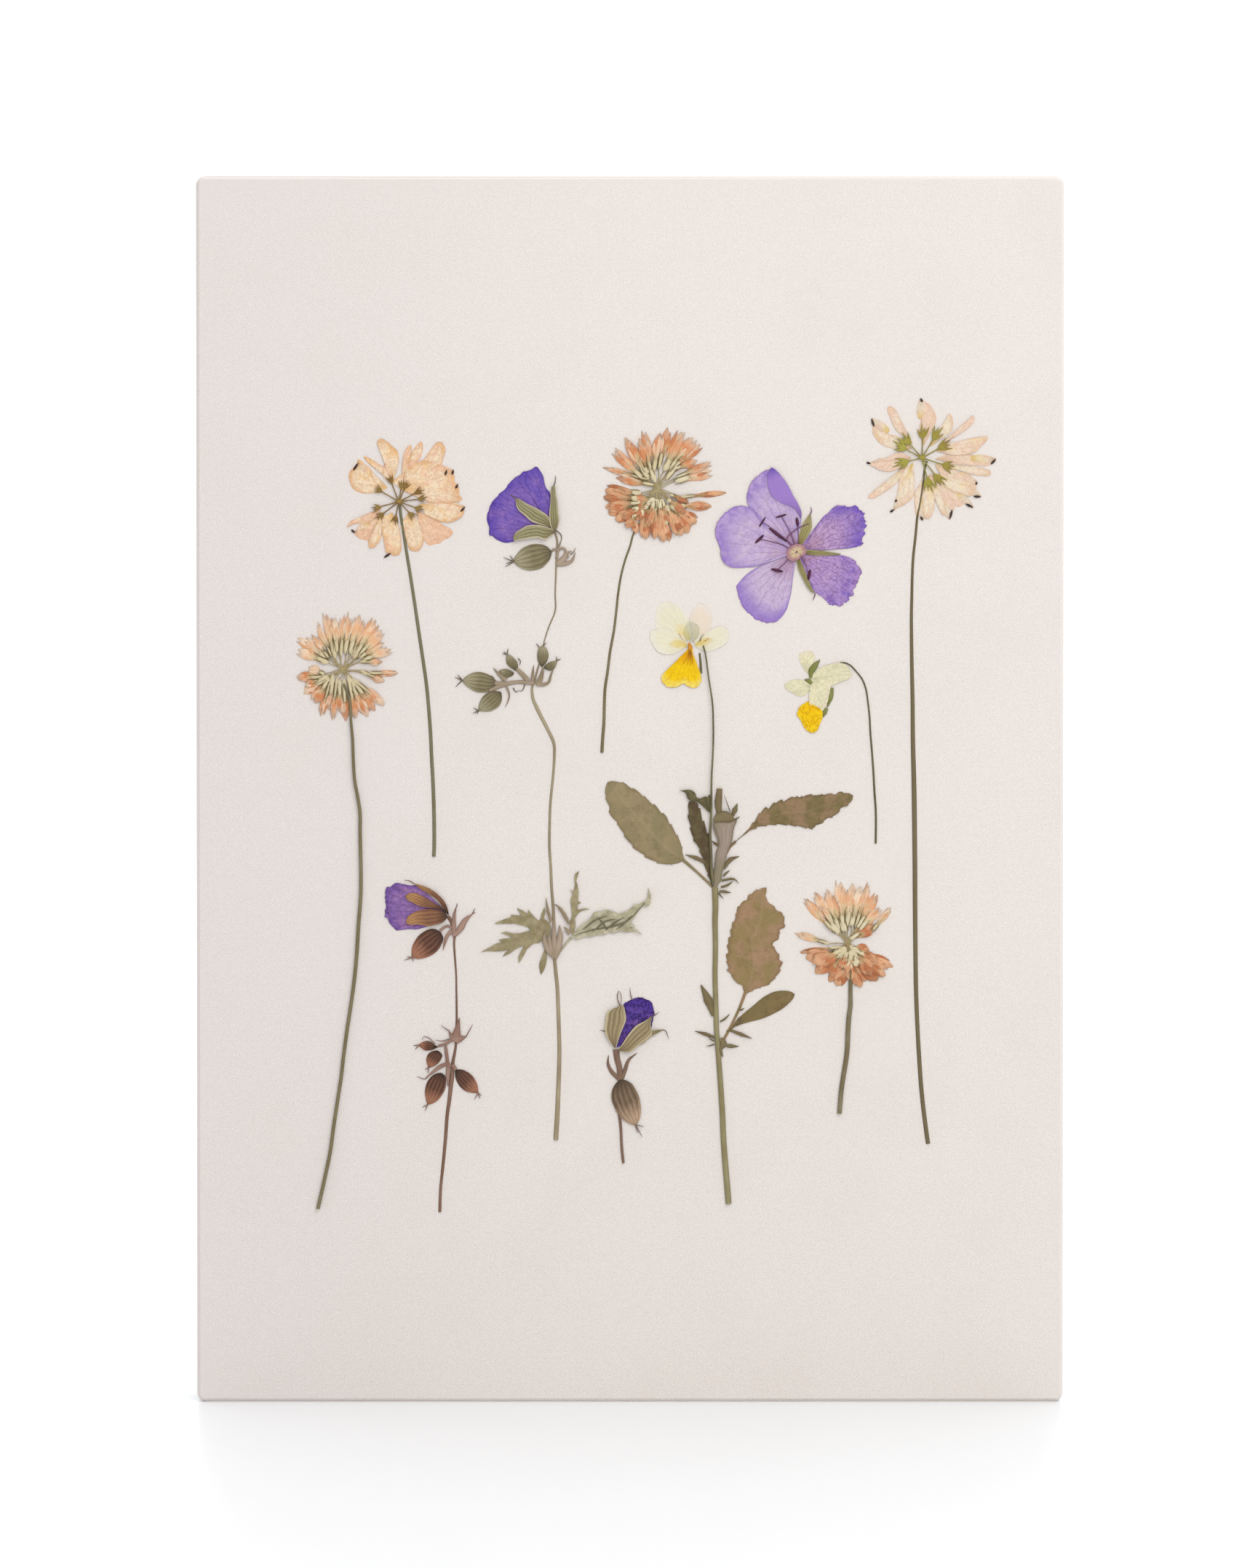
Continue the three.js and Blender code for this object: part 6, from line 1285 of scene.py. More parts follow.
TALL_SHEATH = [
    ([(-18.2, 107.6), (-19.8, 109.6), (-20.7, 112.2), (-20.6, 114.4)], [0.6, 1.3, 1.2, 0.1]),
    ([(-18.1, 107.8), (-19.2, 110.2), (-19.5, 112.4), (-19.2, 114.2)], [0.6, 1.1, 1.0, 0.1]),
    ([(-18, 107.6), (-17.4, 110.4), (-16.9, 113), (-17.1, 115.8)], [0.8, 1.7, 1.4, 0.1]),
    ([(-18, 107.6), (-18.4, 110.6), (-18.2, 113.2)], [0.7, 1.1, 0.2]),
    ([(-19, 116.5), (-19.9, 119.4), (-20.35, 122.4)], [0.8, 0.7, 0.1]),
    ([(-14.6, 113.5), (-15.3, 114.6), (-16, 115.3)], [0.8, 0.9, 0.1]),
    ([(-14.7, 116), (-16, 118.4), (-17.2, 120), (-18.4, 120.9)], [0.6, 0.9, 0.8, 0.1]),
    ([(-18.2, 107.8), (-18.4, 112.5), (-18.5, 116.4)], [0.8, 1.3, 0.4]),
]


def add_tall_cranesbill():
    violet = petal_finish("violet_petal", (170, 128, 174), (132, 102, 178), (94, 70, 168), (72, 50, 132),
                          19, 1.0, 0.75, 0.35, (110, 86, 174), 0.35)
    sepal = pod_finish("tall_sepal", (128, 112, 80), (142, 136, 96), (148, 140, 104), (92, 84, 54), 4,
                       (206, 192, 160))
    green = pod_finish("tall_pod", (98, 84, 64), (126, 116, 84), (168, 158, 128), (84, 74, 54), 5)
    stalk = stem_finish("tall_stem_skin", (184, 170, 140), (132, 118, 92), (158, 142, 116))
    knot = stem_finish("tall_bract", (184, 164, 144), (132, 110, 92), (158, 142, 112))
    hair = stem_finish("tall_hair", (148, 132, 112), (98, 82, 66), (120, 100, 82))
    olive = leaf_finish("tall_leaf_skin", (164, 152, 118), (142, 130, 96), (176, 164, 134), (118, 104, 76),
                        7, 2.2, 2.6)
    grey = leaf_finish("crumpled_leaf_skin", (196, 188, 162), (174, 166, 138), (146, 138, 108),
                       (132, 122, 94), 9, 1.2, 2.2)
    crease = stem_finish("leaf_crease_shade", (128, 122, 94), (104, 98, 72), (140, 132, 104))
    flower = [
        fan("petal", TALL_FLOWER, (-18.9, 211.8), 0.12, 90, 18, 0.14, 0.12, 13, True),
        fan("petal", TALL_PETAL_RIGHT, (-19.1, 212.4), 0.22, 50, 14, 0.12, 0.1, 9, True),
        fan("petal", TALL_PETAL_LEFT, (-19.8, 211.2), 0.22, 50, 14, 0.12, 0.1, 9, True),
    ]
    gather("tall_cranesbill_flower", flower, violet, ["tall_cranesbill_petals"])
    gather("tall_cranesbill_calyx", sepals(TALL_SEPALS), sepal, ["tall_cranesbill_sepals"])
    gather("tall_cranesbill_seed_pod", pods([(TALL_POD, (-18.9, 206.1), (-28.1, 203.7))], 0.2), green,
           ["tall_cranesbill_pod"])
    gather("tall_cranesbill_buds", pods(TALL_BUDS, 0.2, 0.6), green, ())
    line = ribbon("stem", TALL_STEM, TALL_STEM_WIDTHS, GLUE_LINE, 0.38, 260, 6)
    gather("tall_cranesbill_stalk", [line], stalk, ["tall_cranesbill_stem_and_buds"])
    gather("tall_cranesbill_bracts", strips("stalk", TALL_STALKS, 0.3), knot, ())
    gather("tall_cranesbill_hairs", hairs(TALL_WHISKERS, 0.3, 0.3), hair, ())
    left = cutout("leaf", TALL_LEAF_LEFT, (-19.1, 113.6), (-36.2, 109.1), 0.2)
    down = leaf("leaf", TALL_LEAF_DOWN, (-20.7, 109.6), (-21.5, 103.7), 0.2, 8, 14)
    gather("tall_cranesbill_left_blade", [left, down], olive, ["tall_cranesbill_leaf_left"])
    upright = cutout("leaf", TALL_LEAF_UP, (-13.9, 113.1), (-12.3, 128.9), 0.25)
    gather("tall_cranesbill_up_blade", [upright], olive, ["tall_cranesbill_leaf_up"])
    right = cutout("leaf", TALL_LEAF_RIGHT, (-14.3, 112.6), (4.4, 124.9), 0.25, 0.5)
    path = [(-17.6, 108.2), (-16, 110.6), (-14.3, 112.6)]
    petiole = ribbon("petiole", path, [0.5, 0.5, 0.8], 0.25, 0.2, 12, 5)
    gather("tall_cranesbill_right_blade", [right, petiole], grey, ["tall_cranesbill_leaf_right"])
    # Raised fold ridges of the crumpled leaf, coloured darker as painted shade along the folds.
    folds = [ribbon("crease", path, [0.1, 0.45, 0.1], 0.75, 0.12, 14, 3) for path in TALL_CREASES]
    gather("tall_cranesbill_creases", folds, crease, ())
    gather("tall_cranesbill_sheath", strips("sheath", TALL_SHEATH, 0.55), knot,
           ["tall_cranesbill_leaf_sheath"])


# Low cranesbill

LOW_FLOWER = [
    (-56.85, 125.9), (-55.2, 125.7), (-53.15, 125.3), (-51.7, 125.3), (-49.7, 123.9), (-45.9, 120.4),
    (-44.5, 118.2), (-45.5, 116.5), (-48.8, 115.5), (-51.3, 114.75), (-53.8, 114.75), (-55.2, 114.55),
    (-56.6, 114.4), (-57.3, 115.1), (-58.3, 116.3), (-58.8, 117.4), (-59.4, 117.6), (-59.4, 118.8),
    (-59.2, 120.6), (-59.3, 122.7), (-59, 124.9), (-57.9, 125),
]
LOW_PETAL_INNER = [
    (-46, 119), (-50, 121.6), (-54, 123.6), (-57.6, 124.4), (-58.6, 122.6), (-58.8, 120), (-58.4, 118.2),
    (-57, 117.2), (-53, 116.8), (-49, 117),
]
LOW_SEPALS = [
    ([(-52.6, 125.9), (-51.4, 125.6), (-50, 125.2), (-48.2, 124.4), (-46.4, 123.1), (-45.1, 121.7),
      (-44.3, 120.2), (-43.8, 118.2), (-44.5, 118.6), (-45.4, 120.2), (-46.7, 121.8), (-48.6, 123.2),
      (-50.6, 124.4)],
     (-43.8, 118.2), (-52.6, 125.9), 0.55),
    ([(-54.4, 122.7), (-53.8, 123.3), (-52.1, 123.5), (-50.1, 122.7), (-47.6, 121.2), (-45.5, 120),
      (-44.5, 118.6), (-45.9, 119.6), (-48.8, 119.9), (-51.1, 120.4), (-52.5, 121.2), (-53.8, 121.8)],
     (-44.5, 118.6), (-54.4, 122.7), 0.7),
    ([(-54.3, 116.3), (-53.8, 117.7), (-52.3, 118.8), (-50.5, 119.4), (-48, 119.6), (-45.5, 119.2),
      (-44.2, 118.1), (-44.4, 117.3), (-45.5, 116.3), (-47.2, 115.8), (-48.8, 115.5), (-51.3, 115.9),
      (-53.1, 115.8)],
     (-44.2, 118.1), (-54.3, 116.3), 0.8),
]
LOW_POD = [
    (-52.8, 107.9), (-52.9, 109.1), (-52.7, 110.6), (-51.9, 112.2), (-50.9, 113.4), (-49.4, 114.4),
    (-48, 114.8), (-46.8, 114.6), (-45.7, 113.8), (-45.2, 112.6), (-45.5, 111.4), (-46.3, 109.9),
    (-47.6, 108.7), (-49.2, 107.9), (-50.9, 107.5), (-52.1, 107.6),
]
LOW_STEM = [
    (-44.1, 117.9), (-43.3, 116.5), (-42.8, 114.6), (-42.5, 113), (-42.6, 111.4), (-42.5, 109.3),
    (-42.3, 106.5), (-42.1, 103.6), (-42.05, 99.9), (-42, 96.3), (-42, 92.4), (-42.15, 89), (-42.2, 86.5),
    (-42.5, 84.6), (-42.9, 82.4), (-43.1, 79.2), (-43.4, 76.8), (-43.8, 73.1), (-44.3, 69.5), (-44.7, 64),
    (-45.3, 57.6), (-45.9, 51.7), (-46.1, 46.1),
]
LOW_STEM_WIDTHS = [0.9, 0.5, 0.42, 0.5, 0.6, 1.1, 0.85, 0.8, 0.7, 0.75]
LOW_BUDS = [
    ([(-51.4, 86.6), (-50.7, 87.1), (-49.9, 87.5), (-49, 87.6), (-48, 87.3), (-47.3, 86.7), (-46.5, 86.2),
      (-47.3, 85.7), (-48.2, 85.4), (-49.5, 85.3), (-50.4, 85.8)], (-46.5, 86.2), (-51.4, 86.6)),
    ([(-48.8, 81.1), (-49.3, 82.6), (-49.2, 83.8), (-48.5, 84.8), (-47.2, 85.3), (-46.3, 85.2),
      (-45.5, 84.3), (-45.7, 83.3), (-46.5, 82.2), (-47.7, 81.4)], (-46.3, 85.2), (-48.8, 81.1)),
    ([(-49.1, 72.1), (-49.6, 74.3), (-49.6, 76), (-49.1, 77.7), (-48.2, 78.9), (-47, 79.7), (-45.8, 79.9),
      (-44.8, 79.2), (-44.6, 77.7), (-44.8, 76), (-45.5, 74.6), (-46.5, 73.3), (-47.7, 72.5)],
     (-45.8, 79.9), (-49.1, 72.1)),
    ([(-42.4, 80.7), (-40.9, 80.7), (-39.7, 80.3), (-38.4, 79.4), (-37.5, 78.2), (-36.9, 76.8), (-36.7, 75),
      (-37.9, 75), (-39.4, 75.3), (-40.6, 76), (-41.6, 77.2), (-42.3, 78.9)], (-42.4, 80.7), (-36.7, 75)),
]
LOW_WHISKERS = [
    [(-52.8, 107.9), (-54.1, 108)], [(-52.8, 107.8), (-54.7, 107.2)], [(-52.7, 107.7), (-52.4, 106.9)],
    [(-51.4, 86.6), (-52.5, 86.5)], [(-51.3, 86.4), (-52, 85.6)], [(-48.8, 81.1), (-49.7, 80.7)],
    [(-48.8, 81.1), (-48.9, 79.8)], [(-49.1, 72.1), (-50.3, 71.6)], [(-49.1, 72.1), (-49.6, 70.7)],
    [(-36.7, 75), (-35.9, 74.3)], [(-36.7, 75), (-36.4, 73.6)], [(-36.8, 75), (-37.7, 73.4)],
    [(-52.3, 125.8), (-53.6, 126.5), (-54.6, 126.6)], [(-38.2, 118.4), (-37.5, 119.8)],
    [(-38.2, 118.4), (-37.4, 118.8)], [(-42, 120.1), (-41.8, 121)], [(-43.6, 89.9), (-45.8, 91.4)],
    [(-39.8, 88.5), (-38.1, 91.6)], [(-43.8, 88.1), (-45.6, 87.6), (-47.2, 87.9)],
    [(-47.2, 86.9), (-48.8, 88.4), (-50, 88.6), (-50.3, 87.9)], [(-48.6, 79.4), (-49.7, 78.4), (-51.6, 79)],
]
LOW_BRACTS = [
    ([(-42.6, 113), (-42.7, 116), (-42.5, 118.4), (-42, 120.3)], [0.8, 1.2, 0.8, 0.1]),
    ([(-42.4, 113.2), (-41, 115), (-39.8, 117), (-38, 118.5)], [0.9, 1.6, 1.2, 0.1]),
    ([(-43.2, 114.4), (-44.3, 113), (-44.9, 111.2), (-45.2, 109.6)], [0.9, 0.9, 0.6, 0.1]),
    ([(-46.1, 114.2), (-45.1, 115.1), (-44.1, 115.5), (-43.2, 115.1)], [0.7, 0.6, 0.6]),
    ([(-42.3, 87.4), (-42, 89.4), (-41.6, 91.6), (-41.3, 93.3)], [1.8, 2.0, 1.0, 0.1]),
    ([(-42.2, 87.6), (-41.2, 88.2), (-39.8, 88.6)], [1.6, 1.6, 0.3]),
    ([(-42.6, 87.8), (-43.2, 88.8), (-43.8, 89.9)], [1.2, 1.0, 0.2]),
    ([(-46.5, 86.4), (-44.8, 86.9), (-43, 88)], [0.6, 0.7, 0.8]),
    ([(-44.7, 86.6), (-44.4, 84.4), (-44.1, 82.3), (-43.3, 81.4)], [0.6, 0.8, 0.8, 0.8]),
    ([(-44, 82), (-44.1, 79.6), (-44.1, 76.6)], [0.9, 1.0, 0.2]),
    ([(-43.8, 82.3), (-46, 81.4), (-48.2, 79.7), (-49.7, 78.4)], [0.8, 1.0, 0.6, 0.1]),
    ([(-43, 82), (-42.6, 81.2), (-42.2, 80.6)], [0.8, 1.0, 0.9]),
]


def add_low_cranesbill():
    violet = petal_finish("low_violet_petal", (184, 138, 170), (160, 120, 172), (116, 84, 160),
                          (84, 54, 104), 17, 1.0, 0.8, 0.5, (134, 100, 162), 0.45)
    sepal = pod_finish("low_sepal", (72, 52, 40), (130, 88, 64), (180, 132, 86), (84, 58, 42), 4)
    brown = pod_finish("low_pod", (52, 40, 32), (92, 60, 45), (172, 118, 92), (60, 44, 36))
    stalk = stem_finish("low_stem_skin", (152, 120, 102), (106, 78, 62), (128, 96, 78))
    knot = stem_finish("low_bract", (180, 148, 132), (126, 94, 80), (150, 116, 100))
    flower = [
        fan("petal", LOW_FLOWER, (-45, 118.4), 0.12, 84, 18, 0.14, 0.14, 13, True),
        fan("petal", LOW_PETAL_INNER, (-46, 118.6), 0.22, 50, 14, 0.12, 0.12, 9, True),
    ]
    gather("low_cranesbill_flower", flower, violet, ["low_cranesbill_petals"])
    gather("low_cranesbill_calyx", sepals(LOW_SEPALS), sepal, ["low_cranesbill_sepals"])
    gather("low_cranesbill_seed_pod", pods([(LOW_POD, (-46.2, 114.2), (-52.8, 107.9))], 0.2), brown,
           ["low_cranesbill_pod"])
    gather("low_cranesbill_buds", pods(LOW_BUDS, 0.2, 0.6), brown, ())
    line = ribbon("stem", LOW_STEM, LOW_STEM_WIDTHS, GLUE_LINE, 0.34, 160, 6)
    gather("low_cranesbill_stalk", [line], stalk, ["low_cranesbill_stem_and_buds"])
    gather("low_cranesbill_bracts", strips("bract", LOW_BRACTS, 0.35), knot, ())
    gather("low_cranesbill_hairs", hairs(LOW_WHISKERS, 0.28, 0.3), knot, ())


# Small cranesbill

SMALL_FLOWER = [
    (-1.6, 96.3), (0, 97.5), (1.4, 98), (2.7, 98.2), (4.4, 97.6), (5.4, 96.8), (5.7, 95.5), (6, 94.3),
    (5.7, 93.6), (5.4, 92), (4.7, 90), (1.4, 88), (-3.3, 86), (-2, 90), (-1, 93),
]
SMALL_SEPALS = [
    ([(-5.5, 94.6), (-4, 95.5), (-2.6, 96), (-1.6, 96.3), (-1.1, 94.3), (-1, 92.6), (-2.3, 89.3),
      (-3.6, 85.8), (-4.6, 87), (-5.6, 88.6), (-6.1, 90.3), (-5.9, 92.6)], (-3.6, 85.8), (-2.2, 96.2), 0.62),
    ([(5.5, 93.7), (3.4, 92.4), (1.4, 91.3), (-0.3, 89.3), (-2, 86.7), (-3.1, 85.3), (-0.3, 84.9), (1.4, 86),
      (3, 87.3), (4.7, 88.6), (5.4, 89.6), (5, 91.6)], (-3.1, 85.3), (5.5, 93.7), 0.74),
    ([(1.4, 86.2), (3.4, 87.2), (5, 88.6), (6.7, 89.5), (8, 90.4), (6.5, 90.4), (4.4, 89.9), (2.6, 88.8)],
     (1.4, 86.2), (8, 90.4), 0.55),
]
SMALL_POD = [
    (-2.3, 78.3), (-1, 78.1), (0.4, 77.3), (1.4, 75.8), (2.2, 74), (2.6, 72), (2.65, 70), (2.2, 68.3),
    (1.4, 67.2), (0, 67.5), (-1.6, 68.5), (-3, 70), (-3.8, 71.7), (-4.4, 73.3), (-4.4, 75.3),
    (-3.8, 76.8), (-3, 77.8),
]
SMALL_LINES = [
    ([(-3.4, 85.6), (-3.1, 83.3), (-2.6, 81.3), (-2.3, 78.2)], [1.5, 1.4, 1.3]),
    ([(-2.6, 70), (-2.2, 66.3), (-2, 62), (-1.6, 58)], [0.7, 0.65, 0.65]),
    ([(-2.4, 78.2), (-4.3, 80), (-5.3, 82), (-5.2, 84.2)], [1.0, 1.0, 0.7, 0.1]),
    ([(-2, 78.4), (-1.2, 80.6), (-0.3, 83), (1.7, 84.7)], [1.0, 1.0, 0.7, 0.1]),
]
SMALL_WHISKERS = [
    [(1.4, 67.3), (3.4, 66.8)], [(1.4, 67.2), (3, 64.3)], [(1.3, 67.2), (2, 65.3)],
    [(-2.4, 96), (-3.1, 98.4), (-2.6, 99.8), (-2.1, 98.4), (-2.2, 96.2)],
    [(0.5, 97.6), (0.1, 99.2), (0, 100.6)], [(5.4, 93.6), (6.2, 94), (7.1, 94.7)],
    [(-6, 89.9), (-7.3, 90.3)], [(7.8, 90.3), (8.7, 90), (9.4, 88.1)],
]


def add_small_cranesbill():
    violet = petal_finish("small_violet_petal", (158, 112, 160), (98, 70, 150), (66, 46, 126), (44, 28, 78),
                          17, 1.0, 0.55, 0.6, (76, 52, 140), 0.9)
    sepal = pod_finish("small_sepal", (136, 114, 84), (150, 132, 98), (148, 132, 98), (100, 82, 58), 4,
                       (200, 186, 150))
    brown = pod_finish("small_pod", (66, 52, 40), (112, 92, 70), (188, 158, 130), (66, 52, 40), 5)
    stalk = stem_finish("small_stem_skin", (154, 126, 108), (108, 84, 68), (130, 102, 84))
    flower = fan("petal", SMALL_FLOWER, (-2.6, 87), 0.14, 70, 16, 0.14, 0.14, 11, True)
    gather("small_cranesbill_flower", [flower], violet, ["small_cranesbill_petals"])
    gather("small_cranesbill_calyx", sepals(SMALL_SEPALS, 22), sepal, ["small_cranesbill_sepals"])
    gather("small_cranesbill_seed_pod", pods([(SMALL_POD, (-2.3, 78.3), (1.3, 67.2))], 0.35), brown,
           ["small_cranesbill_pod"])
    gather("small_cranesbill_stalk", strips("stalk", SMALL_LINES, 0.2, 0.3, 16), stalk,
           ["small_cranesbill_stem"])
    gather("small_cranesbill_hairs", hairs(SMALL_WHISKERS, 0.26, 0.4), stalk, ())


# Tall viola

VIOLA_STEM = [
    (20.6, 125), (20.7, 120), (20.6, 116.7), (20.7, 110), (20.6, 103.3), (20.8, 96.7), (21, 90),
    (21.5, 83.3), (22, 76.4), (22.4, 69.9), (22.7, 63.3), (23.2, 56.7), (23.7, 50.8), (23.9, 48.1),
]
VIOLA_STALK = [
    (17.7, 183.4), (18.2, 181.6), (18.6, 179.1), (19.0, 175.8), (19.6, 172.1), (20, 168.9), (20.15, 165),
    (20.15, 160), (19.95, 155), (19.8, 152.8), (19.7, 149), (19.7, 145.2), (19.6, 141.3), (19.4, 137.5),
    (19.6, 133.6), (19.7, 129.7), (20.1, 125.9),
]
VIOLA_PETALS = [
    ([(7.6, 193.6), (9, 194), (10.3, 193.6), (12, 192.7), (13.1, 191.1), (14.3, 189.7), (15, 187.4),
      (14.5, 184.8), (12.2, 184.8), (8.95, 186), (6.6, 187.4), (6.2, 190.1), (6.6, 192.4)],
      (14.6, 184.6), 0),
    ([(15.9, 192.9), (17.1, 193.6), (18.2, 193.1), (19.2, 192), (19.9, 190.1), (19.6, 187.8), (18.2, 185.5),
      (15.9, 184.4), (15, 186.4), (14.5, 189.2), (14.8, 191.1)], (15.4, 184.2), 1),
    ([(5.3, 186.9), (4.8, 185.5), (5.5, 183.7), (6.6, 182.1), (8.5, 181.3), (10.6, 181.4), (12.4, 182.3),
      (13.8, 183.2), (13.1, 185.5), (10.1, 186.9), (7.1, 187.4)], (14, 183.4), 2),
    ([(20.6, 187.8), (22.2, 188.1), (23.3, 187.4), (24, 186), (23.3, 184.1), (21.7, 183), (19.6, 182.1),
      (17.8, 182.1), (15.9, 183.2), (15.9, 184.8), (18.2, 186.4)], (15.7, 183.6), 2),
]
VIOLA_SHADE = [
    (14.1, 189.2), (15.5, 189), (16.6, 188.1), (16.85, 186.7), (16.2, 185), (15, 184.2), (13.6, 184.8),
    (12.9, 186.4), (13.4, 188.1),
]
VIOLA_YELLOW = [
    (14, 183), (15.1, 183.1), (15.2, 180.9), (15.5, 179.5), (16.4, 177.7), (17.1, 176.5), (17.3, 174.9),
    (16.4, 173.5), (15, 173.2), (13.6, 173.8), (12.9, 174.2), (11.3, 173.4), (9.9, 173.2), (8.5, 173.8),
    (7.6, 174.9), (7.8, 176.3), (8.95, 177.5), (10.8, 179.1), (12.4, 180.7), (13.8, 182.1),
]
VIOLA_NECTAR_LINES = [
    [(14.5, 182.6), (14, 180.8), (12.9, 179)], [(14.5, 182.6), (14.3, 180.6), (13.8, 178.6)],
    [(14.6, 182.6), (14.7, 180.4), (14.6, 178.4)], [(14.6, 182.6), (15, 180.8), (15.2, 178.9)],
    [(11.8, 186.4), (12.6, 185.2), (13.4, 184.4)], [(17.8, 184.4), (18.6, 184.8), (19.2, 185.1)],
]
VIOLA_GLOWS = [[(9, 183.4), (10.6, 183.7), (12.4, 184)], [(16.6, 184), (18.4, 184.4), (20.4, 184.8)]]
VIOLA_LEAVES = {
    "leaf_big": ([
        (-5.4, 150.3), (-4.1, 150.4), (-2.8, 150.3), (-1.3, 149.8), (-0.25, 149.1), (1, 148.4), (2.3, 147.6),
        (3.6, 146.4), (4.9, 145.3), (6.2, 144.3), (7.5, 142.9), (8.75, 141.7), (9.5, 140.3), (10.3, 139),
        (11.1, 137.7), (11.8, 136.2), (12.4, 134.9), (12.6, 133.1), (13.3, 131.5), (12.1, 131),
        (10.8, 130.8), (9.3, 130.5), (7.5, 130.9), (6.2, 131.2), (4.9, 131.8), (3.6, 132.6), (2.3, 133.6),
        (0.8, 134.9), (-0.25, 136.2), (-1.5, 138), (-2.8, 140.3), (-4.1, 141.8), (-4.9, 143.6),
        (-4.9, 144.6), (-5.5, 146.2), (-5.9, 148)], (13.3, 131.5), (-5.4, 150.3), 0.15, [(13, 131.4),
        (16.4, 128.4), (20, 125)]),
    "leaf_long": ([
        (24.7, 135.2), (26.9, 137.2), (28.4, 138.6), (30.1, 140.6), (31.2, 142.2), (32.2, 143.4),
        (33.2, 144.1), (33.6, 143.8), (34.9, 145), (36.8, 145.9), (37.1, 145.6), (38.7, 146.3),
        (40.6, 146.8), (41.1, 146.4), (42.7, 147), (44.3, 147.1), (45.9, 147), (47.8, 147.3), (50, 147.3),
        (50.5, 147.7), (52.4, 147.6), (54, 147.1), (53.5, 145.9), (52.7, 145), (51.3, 144.4),
        (50.5, 143.4), (49.2, 142.2), (47.9, 141.9), (46.9, 141), (45.7, 140.3), (44.2, 139.6),
        (44.1, 139.1), (42.5, 139.5), (40, 139.9), (37.4, 140.2), (34.9, 140.2), (32.8, 140),
        (31.2, 139.7), (29.8, 139.1), (28.5, 138.3)], (24.7, 135.2), (54, 147.1), 0.15, [(23.4, 133.4),
        (24.2, 134.6), (25.6, 136)]),
    "leaf_torn": ([
        (27.5, 100.7), (26.4, 101.5), (25.5, 102.2), (24.7, 103.7), (23.7, 104.8), (24, 105.5), (23.6, 107),
        (23.5, 108.3), (23.9, 109.3), (23.8, 110.7), (24.2, 112.7), (24.5, 113), (24.6, 114.3), (25, 116),
        (25.8, 117.7), (26, 119.3), (27.1, 121), (28.4, 121.8), (28.9, 122.8), (30.7, 124), (33, 124.8),
        (32.8, 122.7), (33.4, 121.3), (34.8, 120.3), (35.4, 119.3), (36.6, 118.8), (37.1, 117.7),
        (37.2, 115.3), (36.3, 114.7), (35.9, 113.3), (36, 112.5), (35.1, 112), (34.5, 111.3),
        (34.8, 110.2), (35.8, 108.7), (36.1, 107.3), (36.7, 106.8), (36.3, 105.3), (35.8, 104),
        (34.4, 102.3), (33.3, 101.3), (31.7, 100.7), (30.4, 100.3), (28.7, 99.5), (27.9, 98.7)],
        (27.9, 98.7), (33, 124.8), 0.15,
        [(28.3, 100.4), (27.2, 97.3), (26.4, 95.3), (25, 92.3), (24, 90.3), (22.2, 87)]),
    "leaf_low": ([
        (25, 91), (25.5, 92.3), (26.9, 93.7), (28.4, 95), (30, 96.3), (32, 98), (34.1, 99.2), (35.7, 99.7),
        (37.8, 99.8), (39.1, 99.5), (39.9, 99), (39.6, 98), (38.4, 96.7), (36.7, 95.3), (34.7, 94.2),
        (32.4, 93.2), (30, 92.5), (27.4, 91.8), (25.7, 91.2)], (25, 91), (39.9, 99), 0.15, [(23.6, 89.8),
        (24.4, 90.6), (25.6, 91.6)]),
    "leaf_dark": ([
        (14.3, 145.7), (16, 145.3), (16.6, 144.1), (17.4, 141.3), (18.1, 139.5), (18.9, 136.9),
        (19.2, 134.9), (19.3, 132.3), (19.8, 129.7), (19.9, 125.1), (19.3, 127.2), (18.5, 129.5),
        (17.7, 132.3), (16.5, 135.1), (15.4, 136.9), (14.8, 139.5), (14.3, 142.1), (14.3, 143.6)],
        (19.9, 125.1), (14.8, 145.7), 0.3, None),
    "leaf_curled": ([
        (12, 148.3), (14.4, 148.5), (15.7, 147.8), (16.2, 146.7), (17.5, 146.3), (18, 146.9), (19, 146.7),
        (19.4, 147.2), (19.7, 142.6), (18.5, 143.6), (17.2, 144.9), (16, 145.7), (14.2, 146.1),
        (13.4, 147.7)], (19.7, 142.6), (12, 148.3), 0.45, None),
}
VIOLA_SHOOT = [
    (20.3, 124.6), (21.9, 126.2), (22.4, 128.5), (23.2, 131.6), (23.9, 134.1), (24.7, 135.9), (25, 138),
    (25.2, 139.3), (26, 141.3), (24.7, 140.9), (21.4, 140.9), (20.1, 140.3), (20.6, 138), (21.4, 135.4),
    (20.8, 133.3), (20.5, 130.2), (20.1, 127.2),
]
VIOLA_CAP = [
    (20.1, 141.3), (20.8, 142.6), (22.6, 143.4), (24.4, 142.8), (25.2, 141.6), (25, 140.9), (22.4, 140.6),
    (20.4, 140.7),
]
